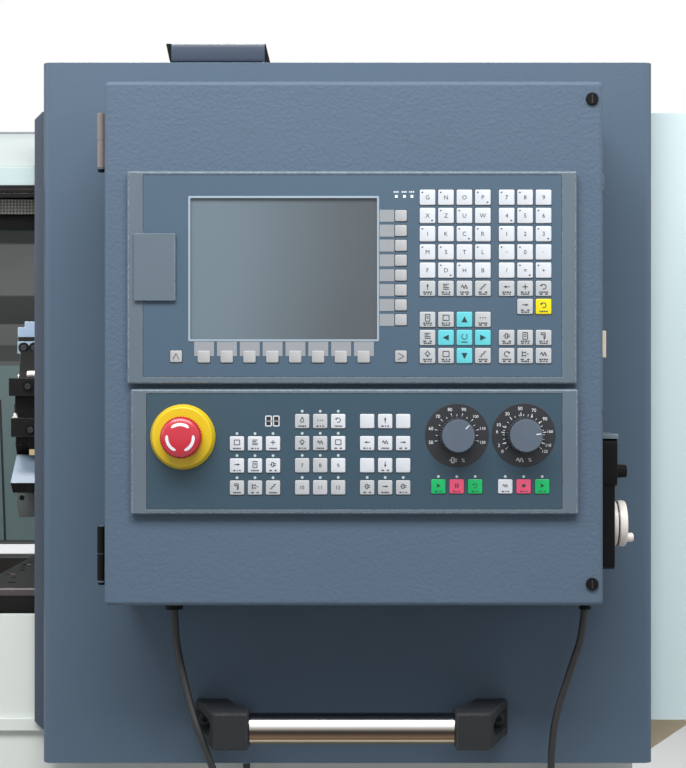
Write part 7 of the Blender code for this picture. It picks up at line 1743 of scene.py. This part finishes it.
def build_cabinet(kit):
    dress(kit, ("electrical_cabinet", "cabinet", 0.0012), ("cabinet_door", "cabinet", 0.0012),
        ("main_switch", "switch_red", 0.0006))
    places = [(x, 0.5882, 0.8 + 0.024 * row) for x in (-0.3, 0.1) for row in range(7)]
    places += [(x, 0.5882, 1.2 + 0.024 * row) for x in (-0.1, 0.1) for row in range(3)]
    louvres("door_louvres", places, 0.13, "+Y", kit["cabinet"], "rear_door", "pale_paint")
    panel_marks("cabinet_face", "+Y", 0.5883, (-0.588, 0.706), (0.388, 1.348), kit, "rear_door", "pale_paint", False)
    small_parts("cabinet_latches", button_screw(0.0105, 0.0042), [(-0.568, 0.5883, 0.82), (-0.568, 0.5883, 1.29)], "+Y",
        kit["black"], "rear_door")
    close_piece("switch_plate", [(block, (-0.515, 0.5883, 1.165), (-0.445, 0.5891, 1.235), 0.0003, 1)],
        kit["stop_yellow"], "rear_door")
    bm = bmesh.new()
    for height in (0.78, 1.03, 1.28):
        lathe_form(bm, "Z", at(0.4035, 0.576, height), [(0.004, -0.03), (0.0052, -0.029), (0.0052, -0.0005),
            (0.0046, 0.0), (0.0052, 0.0005), (0.0052, 0.029), (0.004, 0.03)], 24)
    close_piece("cabinet_hinges", bm, kit["screw_black"], "machine")


def build_base(kit):
    dress(kit, ("chip_drawer", "pale", 0.0012))


# Operators: one for each piece or group of like pieces, and one for the stage

class LATHE_OT_enclosure(bpy.types.Operator):
    """Builds the guards, roof, rear wall, apron, pan and base"""
    bl_idname = "lathe.enclosure"
    bl_label = "Enclosure"

    def execute(self, context):
        build_enclosure(finishes())
        return {"FINISHED"}


class LATHE_OT_panels(bpy.types.Operator):
    """Builds the header lip, rear sheet, seams, screws and louvres"""
    bl_idname = "lathe.panels"
    bl_label = "Service panels"

    def execute(self, context):
        build_panels(finishes())
        return {"FINISHED"}


class LATHE_OT_rails(bpy.types.Operator):
    """Builds the guide rail and the lamp with its dotted screen"""
    bl_idname = "lathe.rails"
    bl_label = "Rails and lamp"

    def execute(self, context):
        build_rails(finishes())
        return {"FINISHED"}


class LATHE_OT_drive(bpy.types.Operator):
    """Builds the bed, headstock, chuck, motors, saddle and tailstock"""
    bl_idname = "lathe.drive"
    bl_label = "Bed and drive"

    def execute(self, context):
        build_drive(finishes())
        return {"FINISHED"}


class LATHE_OT_turret(bpy.types.Operator):
    """Builds the cross slide, the turret and its tool holders"""
    bl_idname = "lathe.turret"
    bl_label = "Turret"

    def execute(self, context):
        build_turret(finishes())
        return {"FINISHED"}


class LATHE_OT_door(bpy.types.Operator):
    """Builds the door panel, its edge strip and top bracket"""
    bl_idname = "lathe.door"
    bl_label = "Sliding door"

    def execute(self, context):
        build_door(finishes())
        return {"FINISHED"}


class LATHE_OT_handle(bpy.types.Operator):
    """Builds the polished tube, its brackets and screws"""
    bl_idname = "lathe.handle"
    bl_label = "Door handle"

    def execute(self, context):
        build_handle(finishes())
        return {"FINISHED"}


class LATHE_OT_box(bpy.types.Operator):
    """Builds the box, its cover, hinges, locks and plugs"""
    bl_idname = "lathe.box"
    bl_label = "Operator box"

    def execute(self, context):
        build_box(finishes())
        return {"FINISHED"}


class LATHE_OT_display(bpy.types.Operator):
    """Builds the screen, the keys and the port flap"""
    bl_idname = "lathe.display"
    bl_label = "Display unit"

    def execute(self, context):
        build_display(finishes())
        return {"FINISHED"}


class LATHE_OT_control(bpy.types.Operator):
    """Builds the keys, lights and counter of the lower unit"""
    bl_idname = "lathe.control"
    bl_label = "Lower unit"

    def execute(self, context):
        build_control(finishes())
        return {"FINISHED"}


class LATHE_OT_stop(bpy.types.Operator):
    """Builds the yellow collar and the red head"""
    bl_idname = "lathe.stop"
    bl_label = "Emergency stop"

    def execute(self, context):
        build_stop(finishes())
        return {"FINISHED"}


class LATHE_OT_knobs(bpy.types.Operator):
    """Builds the dials, their numbers and the knobs"""
    bl_idname = "lathe.knobs"
    bl_label = "Override knobs"

    def execute(self, context):
        build_knobs(finishes())
        return {"FINISHED"}


class LATHE_OT_pendant(bpy.types.Operator):
    """Builds the body, wheel, crank pin and selector"""
    bl_idname = "lathe.pendant"
    bl_label = "Handheld unit"

    def execute(self, context):
        build_pendant(finishes())
        return {"FINISHED"}


class LATHE_OT_leads(bpy.types.Operator):
    """Builds the glands and the two cables"""
    bl_idname = "lathe.leads"
    bl_label = "Leads"

    def execute(self, context):
        build_leads(finishes())
        return {"FINISHED"}


class LATHE_OT_cabinet(bpy.types.Operator):
    """Builds the cabinet, its door and the main switch"""
    bl_idname = "lathe.cabinet"
    bl_label = "Rear cabinet"

    def execute(self, context):
        build_cabinet(finishes())
        return {"FINISHED"}


class LATHE_OT_base(bpy.types.Operator):
    """Builds the chip drawer"""
    bl_idname = "lathe.base"
    bl_label = "Drawer"

    def execute(self, context):
        build_base(finishes())
        return {"FINISHED"}


class LATHE_OT_stage(bpy.types.Operator):
    """Sets up the camera, the pale floor and the soft light"""
    bl_idname = "lathe.stage"
    bl_label = "Stage"

    def execute(self, context):
        make_stage()
        return {"FINISHED"}


OPERATORS = (LATHE_OT_enclosure, LATHE_OT_panels, LATHE_OT_rails, LATHE_OT_drive, LATHE_OT_turret, LATHE_OT_door,
    LATHE_OT_handle, LATHE_OT_box, LATHE_OT_display, LATHE_OT_control, LATHE_OT_stop, LATHE_OT_knobs, LATHE_OT_pendant,
    LATHE_OT_leads, LATHE_OT_cabinet, LATHE_OT_base, LATHE_OT_stage)


class LATHE_PT_sidebar(bpy.types.Panel):
    """Lists the lathe's builders and settings"""
    bl_label = "Lathe"
    bl_idname = "LATHE_PT_sidebar"
    bl_space_type = "VIEW_3D"
    bl_region_type = "UI"
    bl_category = "Lathe"

    def draw(self, context):
        column = self.layout.column(align=True)
        for one in OPERATORS:
            column.operator(one.bl_idname)
        column = self.layout.column(align=True)
        for group in (context.scene.lathe_colours, context.scene.lathe_sizes):
            for setting in group.bl_rna.properties:
                if setting.identifier not in ("rna_type", "name"):
                    column.prop(group, setting.identifier)


CLASSES = (LatheColours, LatheSizes, *OPERATORS, LATHE_PT_sidebar)


def register():
    for one in CLASSES:
        bpy.utils.register_class(one)
    bpy.types.Scene.lathe_colours = bpy.props.PointerProperty(type=LatheColours)
    bpy.types.Scene.lathe_sizes = bpy.props.PointerProperty(type=LatheSizes)


def unregister():
    del bpy.types.Scene.lathe_colours
    del bpy.types.Scene.lathe_sizes
    for one in reversed(CLASSES):
        bpy.utils.unregister_class(one)


def main():
    register()
    scene = bpy.context.scene
    scene.render.resolution_x = 686
    scene.render.resolution_y = 768
    scene.render.resolution_percentage = 100
    scene.view_settings.view_transform = "Standard"
    for one in OPERATORS:
        getattr(bpy.ops.lathe, one.bl_idname.split(".")[1])()


if __name__ == "__main__":
    main()
